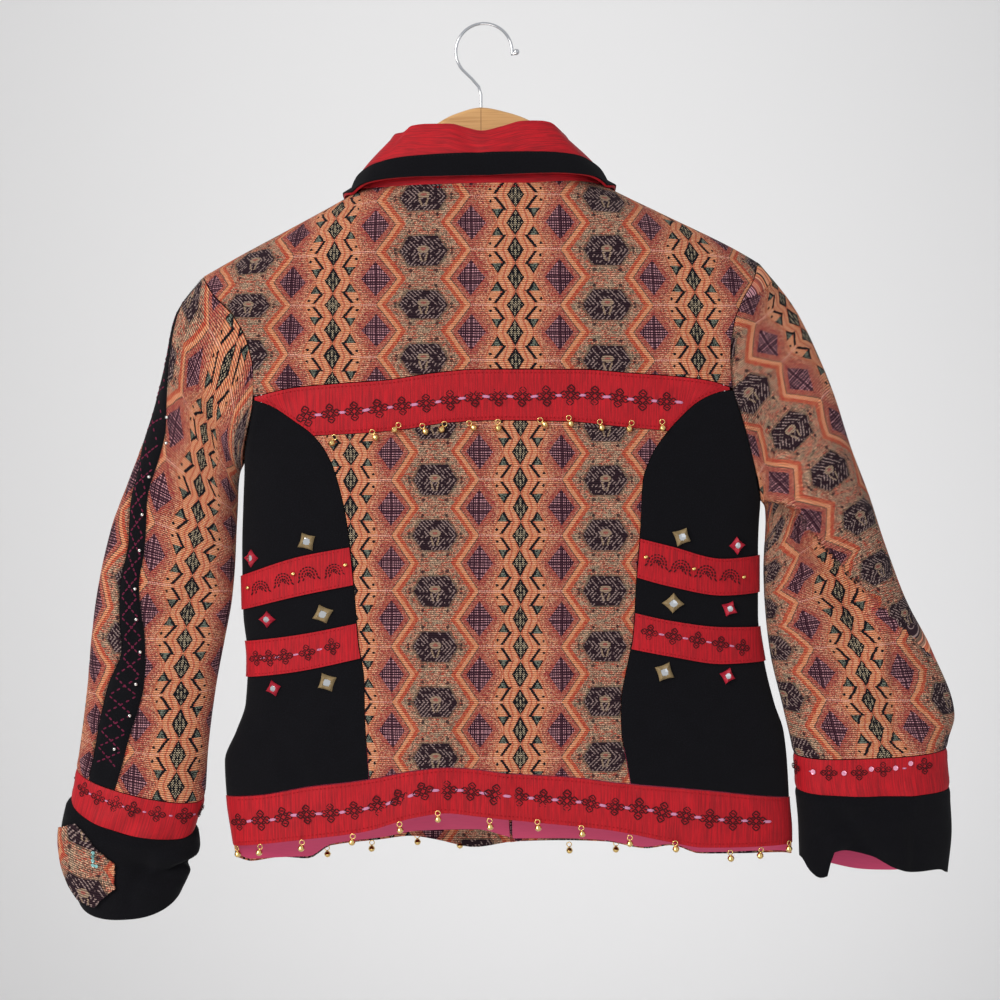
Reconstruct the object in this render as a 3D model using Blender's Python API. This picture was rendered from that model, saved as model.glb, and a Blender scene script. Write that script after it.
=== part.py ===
"""A short patchwork jacket on a wooden hanger, seen from its back along +Y.

Lengths in the tables are in millimetres: x to the wearer's right, y away from the back,
z up. The tables' zero lies just beside the hook, and DATUM moves it to the hook's crown.
Every cloth piece is a wall: a grid of points on the garment's surface, and the same grid
moved in along the surface's normals.
"""

import math

import bmesh
import bpy
import numpy as np

MM = 0.001
DATUM = np.array([3.4, 0.0, -2.4])

WOOL = 2.0
DUPION = 1.2
SILK = 1.0
SEAM = 0.3
CURVED_SEAM = 0.8
STRIP_LIFT = 0.3
NECK_X = -7.0
NECK_HALF = 103.0
SHOULDER_ROUND = 55.0
SIDE_POWER = 4.0
RING_HALF = 120

RED = "B8202C"
BLACK = "15171C"
JACQUARD = "A8684C"
MAGENTA = "A8305E"
BEECH = "D8B27A"
CHROME = "C8CACC"


def table(columns, rows):
    """Columns of numbers by name, from one row for each section."""
    return {name: np.array(values, float) for name, values in zip(columns.split(), zip(*rows))}


SIDES = table("z left right", [
    (-200, -330, 320),
    (-250, -292, 300),
    (-300, -262, 281),
    (-340, -232, 264),
    (-362, -218, 256),
    (-380, -211, 248),
    (-411, -212, 236),
    (-451, -213, 234),
    (-506, -212, 234),
    (-545, -208, 239),
    (-583, -210, 248),
    (-607, -218, 256),
    (-633, -228, 259),
    (-668, -226, 261),
    (-695, -222, 263),
    (-725, -217, 263),
])

DEPTHS = table("z back front", [
    (-90, 34, 24),
    (-200, 38, 26),
    (-330, 39, 28),
    (-450, 37, 27),
    (-600, 35, 26),
    (-725, 35, 28),
])

SHOULDERS = table("x z", [
    (-330, -262),
    (-246, -215),
    (-214, -197),
    (-162, -169),
    (-119, -145),
    (-60, -106),
    (-7, -84),
    (45, -104),
    (102, -137),
    (149, -160),
    (209, -189),
    (232, -202),
    (320, -252),
])

BACK_NECK = table("x z", [
    (-112, -141.5),
    (-95, -142),
    (-40, -141),
    (27, -140),
    (82, -136.5),
    (98, -137),
])

FRONT_NECK = table("x z", [
    (-110.5, -141.5),
    (-103, -158),
    (-82, -180),
    (-50, -197),
    (-7, -205),
    (36, -196),
    (68, -179),
    (89, -157),
    (96.5, -136.5),
])

ARMHOLE_LEFT = table("z x", [
    (-215, -245),
    (-233, -233),
    (-252, -215),
    (-275, -203),
    (-299, -198.5),
    (-322, -198.5),
    (-345, -203),
    (-362, -207.5),
    (-380, -211),
])

ARMHOLE_RIGHT = table("z x", [
    (-202, 232),
    (-220, 226),
    (-237, 216),
    (-258, 208),
    (-284, 205),
    (-312, 207),
    (-335, 214),
    (-357, 221),
    (-379, 227),
    (-399, 232),
    (-411, 236),
])

YOKE_EDGE = table("x z", [
    (-199, -321),
    (-162, -313),
    (-128, -310),
    (-86, -307),
    (-44, -301),
    (-7, -298),
    (78, -298),
    (120, -301),
    (161, -304),
    (190, -308),
    (206, -313),
])

BAND_EDGE = table("x z", [
    (-147, -354),
    (-107, -352),
    (-72, -349),
    (-32, -343),
    (10, -341),
    (66, -342),
    (108, -346),
    (152, -350),
])

BAND_ENDS = (-197.5, 204.5)
BAND_CORNERS = (-147.0, 152.0)

PRINCESS_LEFT = table("z x", [
    (-322.5, -202),
    (-329, -183),
    (-340, -166),
    (-354, -147),
    (-369, -136),
    (-388, -128),
    (-427, -119),
    (-469, -114),
    (-529, -109),
    (-560, -104.5),
    (-590, -104),
    (-620, -102),
    (-660, -99),
])

PRINCESS_RIGHT = table("z x", [
    (-314.5, 209),
    (-317.5, 194),
    (-325, 178),
    (-338, 163),
    (-350, 152),
    (-371, 138),
    (-392, 131),
    (-430, 129),
    (-469, 126),
    (-520, 123),
    (-552, 117),
    (-580, 112.5),
    (-605, 113),
    (-627, 117),
    (-660, 123),
])

HEM_TOP = table("x z", [
    (-230, -663),
    (-195, -659),
    (-147, -650),
    (-100, -644),
    (-60, -636),
    (-36, -633.5),
    (-12, -635),
    (15, -638.5),
    (72, -642),
    (122, -648),
    (179, -653),
    (226, -659),
    (264, -664),
])

HEM_EDGE = table("x z", [
    (-226, -706),
    (-167, -697),
    (-104, -688),
    (-62, -675.5),
    (-36, -672),
    (-8, -675),
    (43, -680),
    (100, -686),
    (155, -697),
    (182, -702),
    (264, -703),
])

FRONT_EDGE = table("x z", [
    (-226, -712),
    (-206, -722),
    (-182, -720),
    (-158, -722),
    (-138, -711),
    (-94, -706),
    (-68, -703),
    (-47, -706),
    (-12, -713),
    (24, -708),
    (66, -707),
    (103, -708),
    (139, -714),
    (161, -711),
    (186, -718),
    (220, -717),
    (264, -713),
])

LINING_EDGE = table("x z", [
    (-226, -710),
    (-206, -720),
    (-158, -720),
    (-138, -709.5),
    (-94, -704),
    (-60, -698),
    (-12, -697),
    (24, -705),
    (66, -705),
    (103, -706.5),
    (139, -712.5),
    (161, -709.5),
    (186, -716.5),
    (264, -711.5),
])

LINING_TOP_Z = -625.0
FRONT_CHEST_Z = -300.0
FRONT_OPENING = table("z x", [(-205, -7), (-450, 8), (-715, 26)])

STRIPS_LEFT = table("x upper_top upper_edge lower_top lower_edge", [
    (-214, -474, -503, -530, -561),
    (-159, -456, -489, -522, -553),
    (-105, -446, -478, -511, -541),
])

STRIPS_RIGHT = table("x upper_top upper_edge lower_top lower_edge", [
    (118, -438, -471, -502, -533),
    (154, -447, -481, -510, -540),
    (200, -458, -489, -516, -547),
    (246, -454, -486, -517, -546),
])

SLEEVE_LEFT = table("outer_x outer_z inner_x inner_z back front drop", [
    (-269.5, -249, -214.5, -386, 24, 20, 0),
    (-280, -297, -216, -398, 27, 22, 0),
    (-292, -343, -216.5, -413, 28, 23, 0),
    (-309, -389, -217.5, -434, 28, 23, 0),
    (-325, -432, -218.5, -462, 27, 23, 1),
    (-336, -480, -221, -493, 26, 22, 2),
    (-342, -525, -227, -527, 26, 22, 3),
    (-346, -572, -235, -570, 25, 21, 4),
    (-351, -612, -242, -626, 25, 21, 6),
    (-355, -638, -244.5, -664.5, 25, 21, 8),
    (-359.8, -663, -252.3, -690.5, 26, 22, 15),
    (-364.5, -671, -250, -696, 30, 25, 17),
    (-368.5, -695, -248.8, -707, 31, 26, 19),
    (-364.6, -721, -255.7, -724.5, 31, 26, 21),
    (-353.3, -743, -262.6, -738, 29, 24, 23),
])

SLEEVE_RIGHT = table("outer_x outer_z inner_x inner_z back front drop", [
    (261, -237, 240, -417, 24, 20, 0),
    (280, -273, 240.5, -427, 27, 22, 0),
    (298, -316, 240, -439, 29, 23, 0),
    (313, -363, 239, -453, 30, 24, 0),
    (328.5, -404, 238.5, -469, 30, 24, 0),
    (342, -446, 239, -488, 30, 24, 0),
    (358, -489, 240.5, -510, 29, 23, 0),
    (382, -535, 244, -540, 28, 23, 1),
    (402.5, -593, 256, -592, 27, 22, 3),
    (396, -620.5, 263.5, -626.5, 27, 22, 4),
    (398.3, -654, 265.5, -656, 27, 22, 5),
    (398.6, -662, 266, -663, 29, 24, 5),
    (400, -690, 268, -686, 29, 24, 4),
    (396.6, -728.5, 269, -715, 27, 23, 0),
])

BAND_RING = 10
CUFF_RING = 11
SLEEVE_JOIN = 7
CUFF_ROWS = np.array([0.003, 0.07, 0.18, 0.36, 0.54, 0.76, 1.0])

STRIPE_LEFT = table("z front_x back_x", [
    (-215, -262, -249),
    (-249, -280, -267),
    (-297, -292, -273.5),
    (-343, -303, -274),
    (-360, -298, -276),
    (-380, -297, -281),
    (-403, -303.5, -288),
    (-446, -306, -291),
    (-482, -313, -296),
    (-508, -313, -293),
    (-535, -310, -290.5),
    (-563, -323, -291),
    (-600, -331, -301),
    (-660, -343, -318),
])

STRIPE_HALF = table("v front back", [
    (0.0, 0.035, 0.012),
    (0.5, 0.035, 0.004),
    (1.0, 0.040, 0.0),
])

RIGHT_CUFF_MOUTH = table("x drop", [
    (269, 1),
    (275, -9),
    (283, -14),
    (290, -11),
    (294, 9),
    (308, 13),
    (325, 11),
    (345, 3),
    (358, 1),
    (385, 4),
    (397, 0),
])

RIGHT_CUFF_FAR = table("x drop", [
    (269, 0),
    (292, -6),
    (325, -10),
    (352, -8),
    (375, -3),
    (397, 0),
])

COLLAR = table("turn fold_x fold_y fold_z leaf_x leaf_y leaf_z", [
    (0, 0, -30, -98, 0, -42, -135.5),
    (30, 37, -30, -88, 56, -41, -135),
    (60, 62, -24, -93, 93, -34, -137),
    (90, 73, -6, -103, 111, -11, -146),
    (120, 71, 10, -122, 114, 20, -161),
    (150, 50, 23, -162, 96, 32, -204),
    (172, 20, 28, -192, 66, 36, -240),
])

FOLD_LINE = table("x z", [
    (-75, -103),
    (-67.4, -97.5),
    (-60, -90.8),
    (-49, -90),
    (-28, -90),
    (-17.5, -93),
    (-5.7, -96.2),
    (10, -92.2),
    (26, -87.6),
    (42, -87),
    (50, -88),
    (56, -91.6),
    (64, -100.9),
])

COLLAR_TURNS = (0, 11, 22, 34, 46, 58, 68, 76, 82, 88, 94, 100, 107, 116, 128, 142, 157, 172)
COLLAR_TILT = 0.03
COLLAR_LIFT = 1.2
TAPE_WIDE = 19.0

HANGER_TOP = table("x z", [
    (-133, -160.5),
    (-116, -157),
    (-104, -148),
    (-90, -133),
    (-76, -118.5),
    (-66, -106),
    (-54, -91),
    (-41, -81),
    (-28, -74.5),
    (-6, -69),
    (16, -73),
    (41, -83),
    (51, -96),
    (59, -112),
    (68, -126),
    (82, -138),
    (100, -146),
    (116, -152),
    (128, -156),
])
HANGER_ENDS = (-220.0, 207.0)
HANGER_ARM = 23.0
HANGER_MIDDLE = 46.0
HANGER_THICK = 8.0
HANGER_ROUND = 3.8
HANGER_GAP = 0.5

HOOK_WIRE = 1.3
HOOK_CENTRE = (-3.4, -20.6)
HOOK_RADIUS = 24.3
HOOK_STEM = table("x z", [
    (-6, -68.75),
    (-6, -58),
    (-8, -51),
    (-14, -44),
])
HOOK_START_TURN = 222.0
HOOK_END_TURN = -6.0
HOOK_TIP = table("x z radius", [
    (22.4, -22.6, 1.0),
    (23.4, -21.8, 1.9),
    (24.4, -21.0, 2.1),
    (25.4, -20.2, 1.9),
    (26.4, -19.4, 1.0),
])

FOLDS = table("x0 z0 x1 z1 width depth", [
    (-196, -300, -150, -215, 16, -3.0),
    (-206, -350, -175, -300, 12, 2.5),
    (206, -300, 165, -225, 16, -3.0),
    (214, -345, 180, -300, 12, 2.5),
    (-60, -250, -100, -180, 22, 1.5),
    (-150, -560, -205, -625, 14, -3.0),
    (-140, -600, -190, -650, 10, 2.0),
    (200, -575, 245, -640, 14, -3.0),
    (60, -560, 100, -640, 18, 2.0),
    (-40, -600, -60, -672, 20, 3.0),
    (-230, -380, -300, -330, 12, -3.5),
    (-230, -420, -300, -400, 14, 3.0),
    (-235, -500, -310, -450, 12, -3.0),
    (-250, -640, -330, -600, 14, 3.0),
    (-262, -722, -296, -719, 7, -4.0),
    (250, -420, 320, -380, 14, 3.0),
    (330, -520, 390, -560, 14, -3.5),
    (280, -640, 320, -560, 16, 3.0),
    (300, -675, 330, -720, 9, -4.0),
    (360, -665, 352, -715, 8, 3.5),
])

ELBOW = table("x z", [
    (241, -409),
    (261, -417),
    (270, -432),
    (283, -447),
    (297, -463),
    (310, -477),
    (324, -490),
])
ELBOW_DEPTH = 13.0
ELBOW_STEP = 7.0
ELBOW_REACH = 95.0

PATCH_LIFT = 0.9
PATCH = table("across down", [
    (0.06, 0.28),
    (0.20, 0.10),
    (0.27, 0.11),
    (0.46, 0.34),
    (0.47, 0.62),
    (0.34, 0.86),
    (0.22, 0.84),
    (0.10, 0.62),
])


def smooth(keys, values, at):
    """A curve through a table's points that doesn't overshoot them."""
    order = np.argsort(keys)
    keys, values = keys[order], values[order]
    step = np.diff(keys)
    slope = np.diff(values, axis=0) / step.reshape((-1,) + (1,) * (values.ndim - 1))
    tangent = np.zeros_like(values)
    tangent[0], tangent[-1] = slope[0], slope[-1]
    product = slope[:-1] * slope[1:]
    total = np.where(product > 0, slope[:-1] + slope[1:], 1.0)
    tangent[1:-1] = np.where(product > 0, 2.0 * product / total, 0.0)
    at = np.asarray(at, float)
    inside = np.clip(at, keys[0], keys[-1])
    index = np.clip(np.searchsorted(keys, inside) - 1, 0, len(keys) - 2)
    shape = at.shape + (1,) * (values.ndim - 1)
    width = step[index].reshape(shape)
    t = ((inside - keys[index]) / step[index]).reshape(shape)
    curve = ((2 * t**3 - 3 * t**2 + 1) * values[index]
             + (t**3 - 2 * t**2 + t) * width * tangent[index]
             + (3 * t**2 - 2 * t**3) * values[index + 1]
             + (t**3 - t**2) * width * tangent[index + 1])
    beyond = (at - inside).reshape(shape)
    end = np.where(beyond > 0, tangent[-1], tangent[0])
    return curve + beyond * end


def reader(rows, key, value):
    """The curve through two columns of a table, as a function."""
    return lambda at: smooth(rows[key], rows[value], at)


left_side = reader(SIDES, "z", "left")
right_side = reader(SIDES, "z", "right")
back_depth = reader(DEPTHS, "z", "back")
front_depth = reader(DEPTHS, "z", "front")
shoulder_z = reader(SHOULDERS, "x", "z")
opening_x = reader(FRONT_OPENING, "z", "x")


def fold_relief(x, z):
    """How far the folds lift a point of the back towards the viewer."""
    lift = np.zeros(np.broadcast(x, z).shape)
    for row in zip(*(FOLDS[name] for name in ("x0", "z0", "x1", "z1", "width", "depth"))):
        x0, z0, x1, z1, width, depth = row
        run = np.array([x1 - x0, z1 - z0])
        length = math.hypot(*run)
        along = ((x - x0) * run[0] + (z - z0) * run[1]) / length
        across = ((x - x0) * run[1] - (z - z0) * run[0]) / length
        past = np.maximum(0, np.maximum(-along, along - length))
        lift = lift + depth * np.exp(-(across / width) ** 2 - (past / (1.5 * width)) ** 2)
    return lift


def fullness(x, z):
    """How much of its full depth the body has at a place: none on its outline."""
    low, high = left_side(z), right_side(z)
    across = (x - (low + high) / 2) / ((high - low) / 2)
    side = np.clip(1 - np.abs(across) ** SIDE_POWER, 0, 1)
    cap = np.clip(1 - (shoulder_z(x) - z) / SHOULDER_ROUND, 0, 1)
    return side * (1 - cap**2)


def torso_y(x, z, back):
    """The body's surface: behind the viewer's side for the back, beyond it for the front."""
    full = np.sqrt(np.maximum(fullness(x, z), 0))
    if back:
        soft = np.clip(full * 1.6 - 0.6, 0, 1)
        return -back_depth(z) * full - fold_relief(x, z) * soft
    return front_depth(z) * full


def body_level(x, y, z, back):
    """Less than zero inside the body, more outside it, and zero on its surface."""
    low, high = left_side(z), right_side(z)
    across = (x - (low + high) / 2) / ((high - low) / 2)
    side = 1 - np.abs(across) ** SIDE_POWER
    cap = np.maximum(1 - (shoulder_z(x) - z) / SHOULDER_ROUND, 0)
    depth = back_depth(z) if back else front_depth(z)
    return (y / depth) ** 2 - side * (1 - cap**2)


def body_slope(x, y, z, back):
    """How fast body_level grows along each axis."""
    step = 0.2
    return np.stack([
        (body_level(x + step, y, z, back) - body_level(x - step, y, z, back)),
        (body_level(x, y + step, z, back) - body_level(x, y - step, z, back)),
        (body_level(x, y, z + step, back) - body_level(x, y, z - step, back)),
    ], axis=-1) / (2 * step)


def torso_normal(x, y, z, back):
    """The direction out of the body at a point of its surface."""
    slope = body_slope(x, y, z, back)
    return slope / np.maximum(np.linalg.norm(slope, axis=-1, keepdims=True), 1e-12)


def push_clear(points, gap):
    """Moves points out until they are a gap clear of the body."""
    points = points.copy()
    for _ in range(12):
        for back in (True, False):
            x, y, z = points[..., 0], points[..., 1], points[..., 2]
            slope = body_slope(x, y, z, back)
            size = np.maximum(np.linalg.norm(slope, axis=-1), 1e-6)
            reach = body_level(x, y, z, back) / size
            short = np.clip(gap - reach, 0, 4) * ((y < 0) == back)
            points = points + slope / size[..., None] * short[..., None]
    return points


def patch(left, right, guides, counts, columns, back, ease=(1.0, 1.0), top_ease=1.0):
    """A grid of body points between two side curves x(z) and a stack of guide curves z(x)."""
    across = np.linspace(0, 1, columns + 1) if isinstance(columns, int) else columns
    low_power, high_power = ease
    across = across**low_power if low_power > 1 else across
    across = 1 - (1 - across) ** high_power if high_power > 1 else across
    parts = []
    for number, count in enumerate(counts):
        run = np.arange(count) / count
        if number == 0:
            run = run**top_ease
        parts.extend(number + share for share in run)
    parts.append(len(counts))
    rows = np.array(parts)
    z = np.full((len(rows), len(across)), -400.0)
    x = np.zeros_like(z)
    index = np.minimum(rows.astype(int), len(counts) - 1)
    share = (rows - index)[:, None]
    for _ in range(60):
        levels = np.stack([guide(x) for guide in guides])
        upper = np.take_along_axis(levels, index[None, :, None].repeat(x.shape[1], 2), 0)[0]
        lower = np.take_along_axis(levels, index[None, :, None].repeat(x.shape[1], 2) + 1, 0)[0]
        z = 0.5 * z + 0.5 * (upper + (lower - upper) * share)
        x = left(z) + (right(z) - left(z)) * across
    y = torso_y(x, z, back)
    y = np.minimum(y, -0.2) if back else np.maximum(y, 0.2)
    points = np.stack([x, y, z], axis=-1)
    return points, torso_normal(x, y, z, back)


def moved(curve, distance):
    """A curve moved by a distance, for the gap at a seam."""
    return lambda at: curve(at) + distance


def material(name, colour, roughness, metallic=0.0):
    """A Principled material of an sRGB colour."""
    made = bpy.data.materials.get(name)
    if made:
        return made
    made = bpy.data.materials.new(name)
    made.use_nodes = True
    shader = made.node_tree.nodes["Principled BSDF"]
    linear = []
    for start in (0, 2, 4):
        channel = int(colour[start:start + 2], 16) / 255
        linear.append(channel / 12.92 if channel <= 0.04045 else ((channel + 0.055) / 1.055) ** 2.4)
    shader.inputs["Base Color"].default_value = (*linear, 1.0)
    shader.inputs["Roughness"].default_value = roughness
    shader.inputs["Metallic"].default_value = metallic
    return made


def add_object(name, mesh, finish, collection):
    """An object of a mesh with one material, in the jacket's collection."""
    mesh.materials.append(finish)
    made = bpy.data.objects.new(name, mesh)
    collection.objects.link(made)
    return made


def wall(name, outer, inner, finish, collection, ring=False):
    """A closed wall between two grids, whose columns close into a ring if asked."""
    rows, columns = outer.shape[:2]
    shape = bmesh.new()
    grids = []
    for grid in (outer, inner):
        grids.append([[shape.verts.new((point + DATUM) * MM) for point in row] for row in grid])
    face = shape.faces.new
    span = columns if ring else columns - 1
    for row in range(rows - 1):
        for column in range(span):
            beside = (column + 1) % columns
            for grid in grids:
                face((grid[row][column], grid[row][beside],
                      grid[row + 1][beside], grid[row + 1][column]))
    for row in (0, rows - 1):
        for column in range(span):
            beside = (column + 1) % columns
            face((grids[0][row][column], grids[0][row][beside],
                  grids[1][row][beside], grids[1][row][column]))
    if not ring:
        for column in (0, columns - 1):
            for row in range(rows - 1):
                face((grids[0][row][column], grids[0][row + 1][column],
                      grids[1][row + 1][column], grids[1][row][column]))
    bmesh.ops.recalc_face_normals(shape, faces=shape.faces)
    mesh = bpy.data.meshes.new(name)
    shape.to_mesh(mesh)
    shape.free()
    mesh.shade_smooth()
    mesh.set_sharp_from_angle(angle=math.radians(40))
    return add_object(name, mesh, finish, collection)


def cloth(name, grid, thickness, finish, collection, lift=0.0, ring=False):
    """A cloth wall that lies a lift above a grid of points with normals."""
    points, normals = grid
    return wall(name, points + normals * (lift + (thickness if lift > 0 else 0)),
                points + normals * (lift if lift > 0 else -thickness), finish, collection, ring)


def rows_of(grid, first, last):
    """Some rows of a grid of points with normals."""
    return grid[0][first:last + 1], grid[1][first:last + 1]


def band_bottom(x):
    """The band's lower edge, whose ends follow the side panels' curved tops."""
    middle = smooth(BAND_EDGE["x"], BAND_EDGE["z"], x)
    left_z = np.linspace(-322.5, BAND_EDGE["z"][0], 200)
    right_z = np.linspace(BAND_EDGE["z"][-1], -314.5, 200)
    left_x = smooth(PRINCESS_LEFT["z"], PRINCESS_LEFT["x"], left_z)
    right_x = smooth(PRINCESS_RIGHT["z"], PRINCESS_RIGHT["x"], right_z)
    middle = np.where(x < BAND_CORNERS[0], np.interp(x, left_x, left_z), middle)
    return np.where(x > BAND_CORNERS[1], np.interp(x, right_x, right_z), middle)


def build_back(finishes, collection):
    """Yoke, band, centre panel, side panels with their strips, and hem band."""
    yoke_top = lambda x: np.minimum(
        shoulder_z(x), np.where(np.abs(x - NECK_X) < NECK_HALF,
                                smooth(BACK_NECK["x"], BACK_NECK["z"], x), 0))
    yoke_edge = reader(YOKE_EDGE, "x", "z")
    band_edge = band_bottom
    armhole_left = reader(ARMHOLE_LEFT, "z", "x")
    armhole_right = reader(ARMHOLE_RIGHT, "z", "x")
    princess_left = reader(PRINCESS_LEFT, "z", "x")
    princess_right = reader(PRINCESS_RIGHT, "z", "x")
    hem_top = reader(HEM_TOP, "x", "z")
    half = SEAM / 2
    wide = CURVED_SEAM / 2

    grid = patch(armhole_left, armhole_right, [yoke_top, moved(yoke_edge, wide)],
                 [12], 22, True, top_ease=1.8)
    cloth("back_yoke", grid, WOOL, finishes["jacquard"], collection)

    tip_left, tip_right = BAND_ENDS
    corner_left, corner_right = BAND_CORNERS
    places = np.concatenate([np.linspace(tip_left, corner_left, 8)[:-1],
                             np.linspace(corner_left, corner_right, 18)[:-1],
                             np.linspace(corner_right, tip_right, 8)])
    grid = patch(lambda z: np.full(np.shape(z), tip_left), lambda z: np.full(np.shape(z), tip_right),
                 [moved(yoke_edge, -wide), moved(band_edge, wide)], [3],
                 (places - tip_left) / (tip_right - tip_left), True)
    cloth("yoke_band", grid, WOOL, finishes["red"], collection)

    grid = patch(moved(princess_left, wide), moved(princess_right, -wide),
                 [moved(band_edge, -half), moved(hem_top, wide)], [18], 12, True, top_ease=1.3)
    cloth("back_panel", grid, WOOL, finishes["jacquard"], collection)

    grid = patch(left_side, right_side, [moved(hem_top, -wide), reader(HEM_EDGE, "x", "z")],
                 [3], 34, True)
    cloth("hem_band_back", spread_to_sides(grid, True), WOOL, finishes["red"], collection)

    sides = (
        ("left", STRIPS_LEFT, armhole_left, left_side, moved(princess_left, -wide), -323.6, -380),
        ("right", STRIPS_RIGHT, armhole_right, right_side, moved(princess_right, wide), -315.6, -411),
    )
    for name, strips, armhole, side, princess, top, underarm in sides:
        outer = lambda z, a=armhole, s=side, u=underarm: np.where(z > u, a(z), s(z))
        guides = [lambda x, level=top: np.full(np.shape(x), level)]
        guides += [reader(strips, "x", key)
                   for key in ("upper_top", "upper_edge", "lower_top", "lower_edge")]
        guides.append(moved(hem_top, wide))
        edges = (outer, princess) if name == "left" else (princess, outer)
        ease = (1.7, 1.0) if name == "left" else (1.0, 1.7)
        grid = patch(*edges, guides, [10, 2, 2, 2, 6], 8, True, ease=ease, top_ease=1.8)
        cloth(f"side_back_{name}", grid, WOOL, finishes["black"], collection)
        cloth(f"strip_{name}_upper", rows_of(grid, 10, 12), DUPION, finishes["red"],
              collection, lift=STRIP_LIFT)
        cloth(f"strip_{name}_lower", rows_of(grid, 14, 16), DUPION, finishes["red"],
              collection, lift=STRIP_LIFT)


def spread_to_sides(grid, back):
    """Draws a full-width grid's columns together near both sides, where it turns."""
    points, _ = grid
    rows, columns = points.shape[:2]
    even = np.linspace(-1, 1, columns)
    drawn = np.sign(even) * (1 - (1 - np.abs(even)) ** 1.5)
    drawn = 0.35 * even + 0.65 * drawn
    out = np.empty_like(points)
    for row in range(rows):
        out[row, :, 0] = np.interp(drawn, even, points[row, :, 0])
        out[row, :, 2] = np.interp(drawn, even, points[row, :, 2])
    x, z = out[..., 0], out[..., 2]
    y = torso_y(x, z, back)
    out[..., 1] = np.minimum(y, -0.2) if back else np.maximum(y, 0.2)
    return out, torso_normal(x, out[..., 1], z, back)


def build_fronts(finishes, collection):
    """The two fronts, plain, and the lining that shows inside them at the hem."""
    front_top = lambda x: np.minimum(
        shoulder_z(x), np.where(np.abs(x - NECK_X) < NECK_HALF,
                                smooth(FRONT_NECK["x"], FRONT_NECK["z"], x), 0))
    lining_top = lambda x: np.full(np.shape(x), LINING_TOP_Z)
    for name, armhole, side, underarm in (
            ("left", reader(ARMHOLE_LEFT, "z", "x"), left_side, -380),
            ("right", reader(ARMHOLE_RIGHT, "z", "x"), right_side, -411)):
        outer = lambda z, a=armhole, s=side, u=underarm: np.where(z > u, a(z), s(z))
        inner = moved(opening_x, -SEAM if name == "left" else SEAM)
        edges = (outer, inner) if name == "left" else (inner, outer)
        ease = (1.6, 1.0) if name == "left" else (1.0, 1.6)
        guides = [front_top, lambda x: np.full(np.shape(x), FRONT_CHEST_Z),
                  lambda x, level=underarm: np.full(np.shape(x), level), lining_top,
                  reader(LINING_EDGE, "x", "z"), reader(FRONT_EDGE, "x", "z")]
        grid = patch(*edges, guides, [9, 4, 4, 3, 1], 11, False, ease=ease, top_ease=1.8)
        cloth(f"front_{name}", grid, WOOL, finishes["jacquard"], collection)
        points, normals = rows_of(grid, 17, 20)
        points, normals = points[:, 1:-1], normals[:, 1:-1]
        inside = points - normals * (WOOL + SEAM)
        wall(f"lining_front_{name}", inside, inside - normals * SILK,
             finishes["magenta"], collection)


def half_ring(outer_point, inner_point, depth, drop, count):
    """Half of a flattened ring, from its outer to its inner end, even along its length."""
    turn = np.linspace(0, math.pi, 400)
    middle = (outer_point + inner_point) / 2
    reach = (outer_point - inner_point) / 2
    swing = np.sign(np.cos(turn)) * np.abs(np.cos(turn)) ** 0.85
    bulge = np.sin(turn) ** 0.9
    points = middle + reach * swing[:, None]
    points[:, 1] += depth * bulge
    points[:, 2] -= drop * bulge * (1 if depth < 0 else -1)
    return even_steps(points, count)


def even_steps(points, count):
    """The same line with its points at even steps."""
    lengths = np.concatenate([[0], np.cumsum(np.linalg.norm(np.diff(points, axis=0), axis=1))])
    marks = np.linspace(0, lengths[-1], count + 1)
    return np.stack([np.interp(marks, lengths, points[:, axis]) for axis in range(3)], axis=1)


def armhole_ring(armhole, shoulder, underarm, out):
    """The sleeve's first ring, a seam's gap outside the armhole."""
    z = shoulder + (underarm - shoulder) * (1 - np.cos(np.linspace(0, math.pi, 300))) / 2
    x = smooth(armhole["z"], armhole["x"], z)
    halves = []
    for back in (True, False):
        y = torso_y(x, z, back)
        y[0] = y[-1] = 0.0
        slope = np.gradient(x, z)
        size = np.sqrt(1 + slope**2)
        points = np.stack([x + out * CURVED_SEAM / size, y,
                           z - out * slope * CURVED_SEAM / size], axis=1)
        halves.append(even_steps(points, RING_HALF))
    return np.concatenate([halves[0], halves[1][::-1][1:]])


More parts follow.
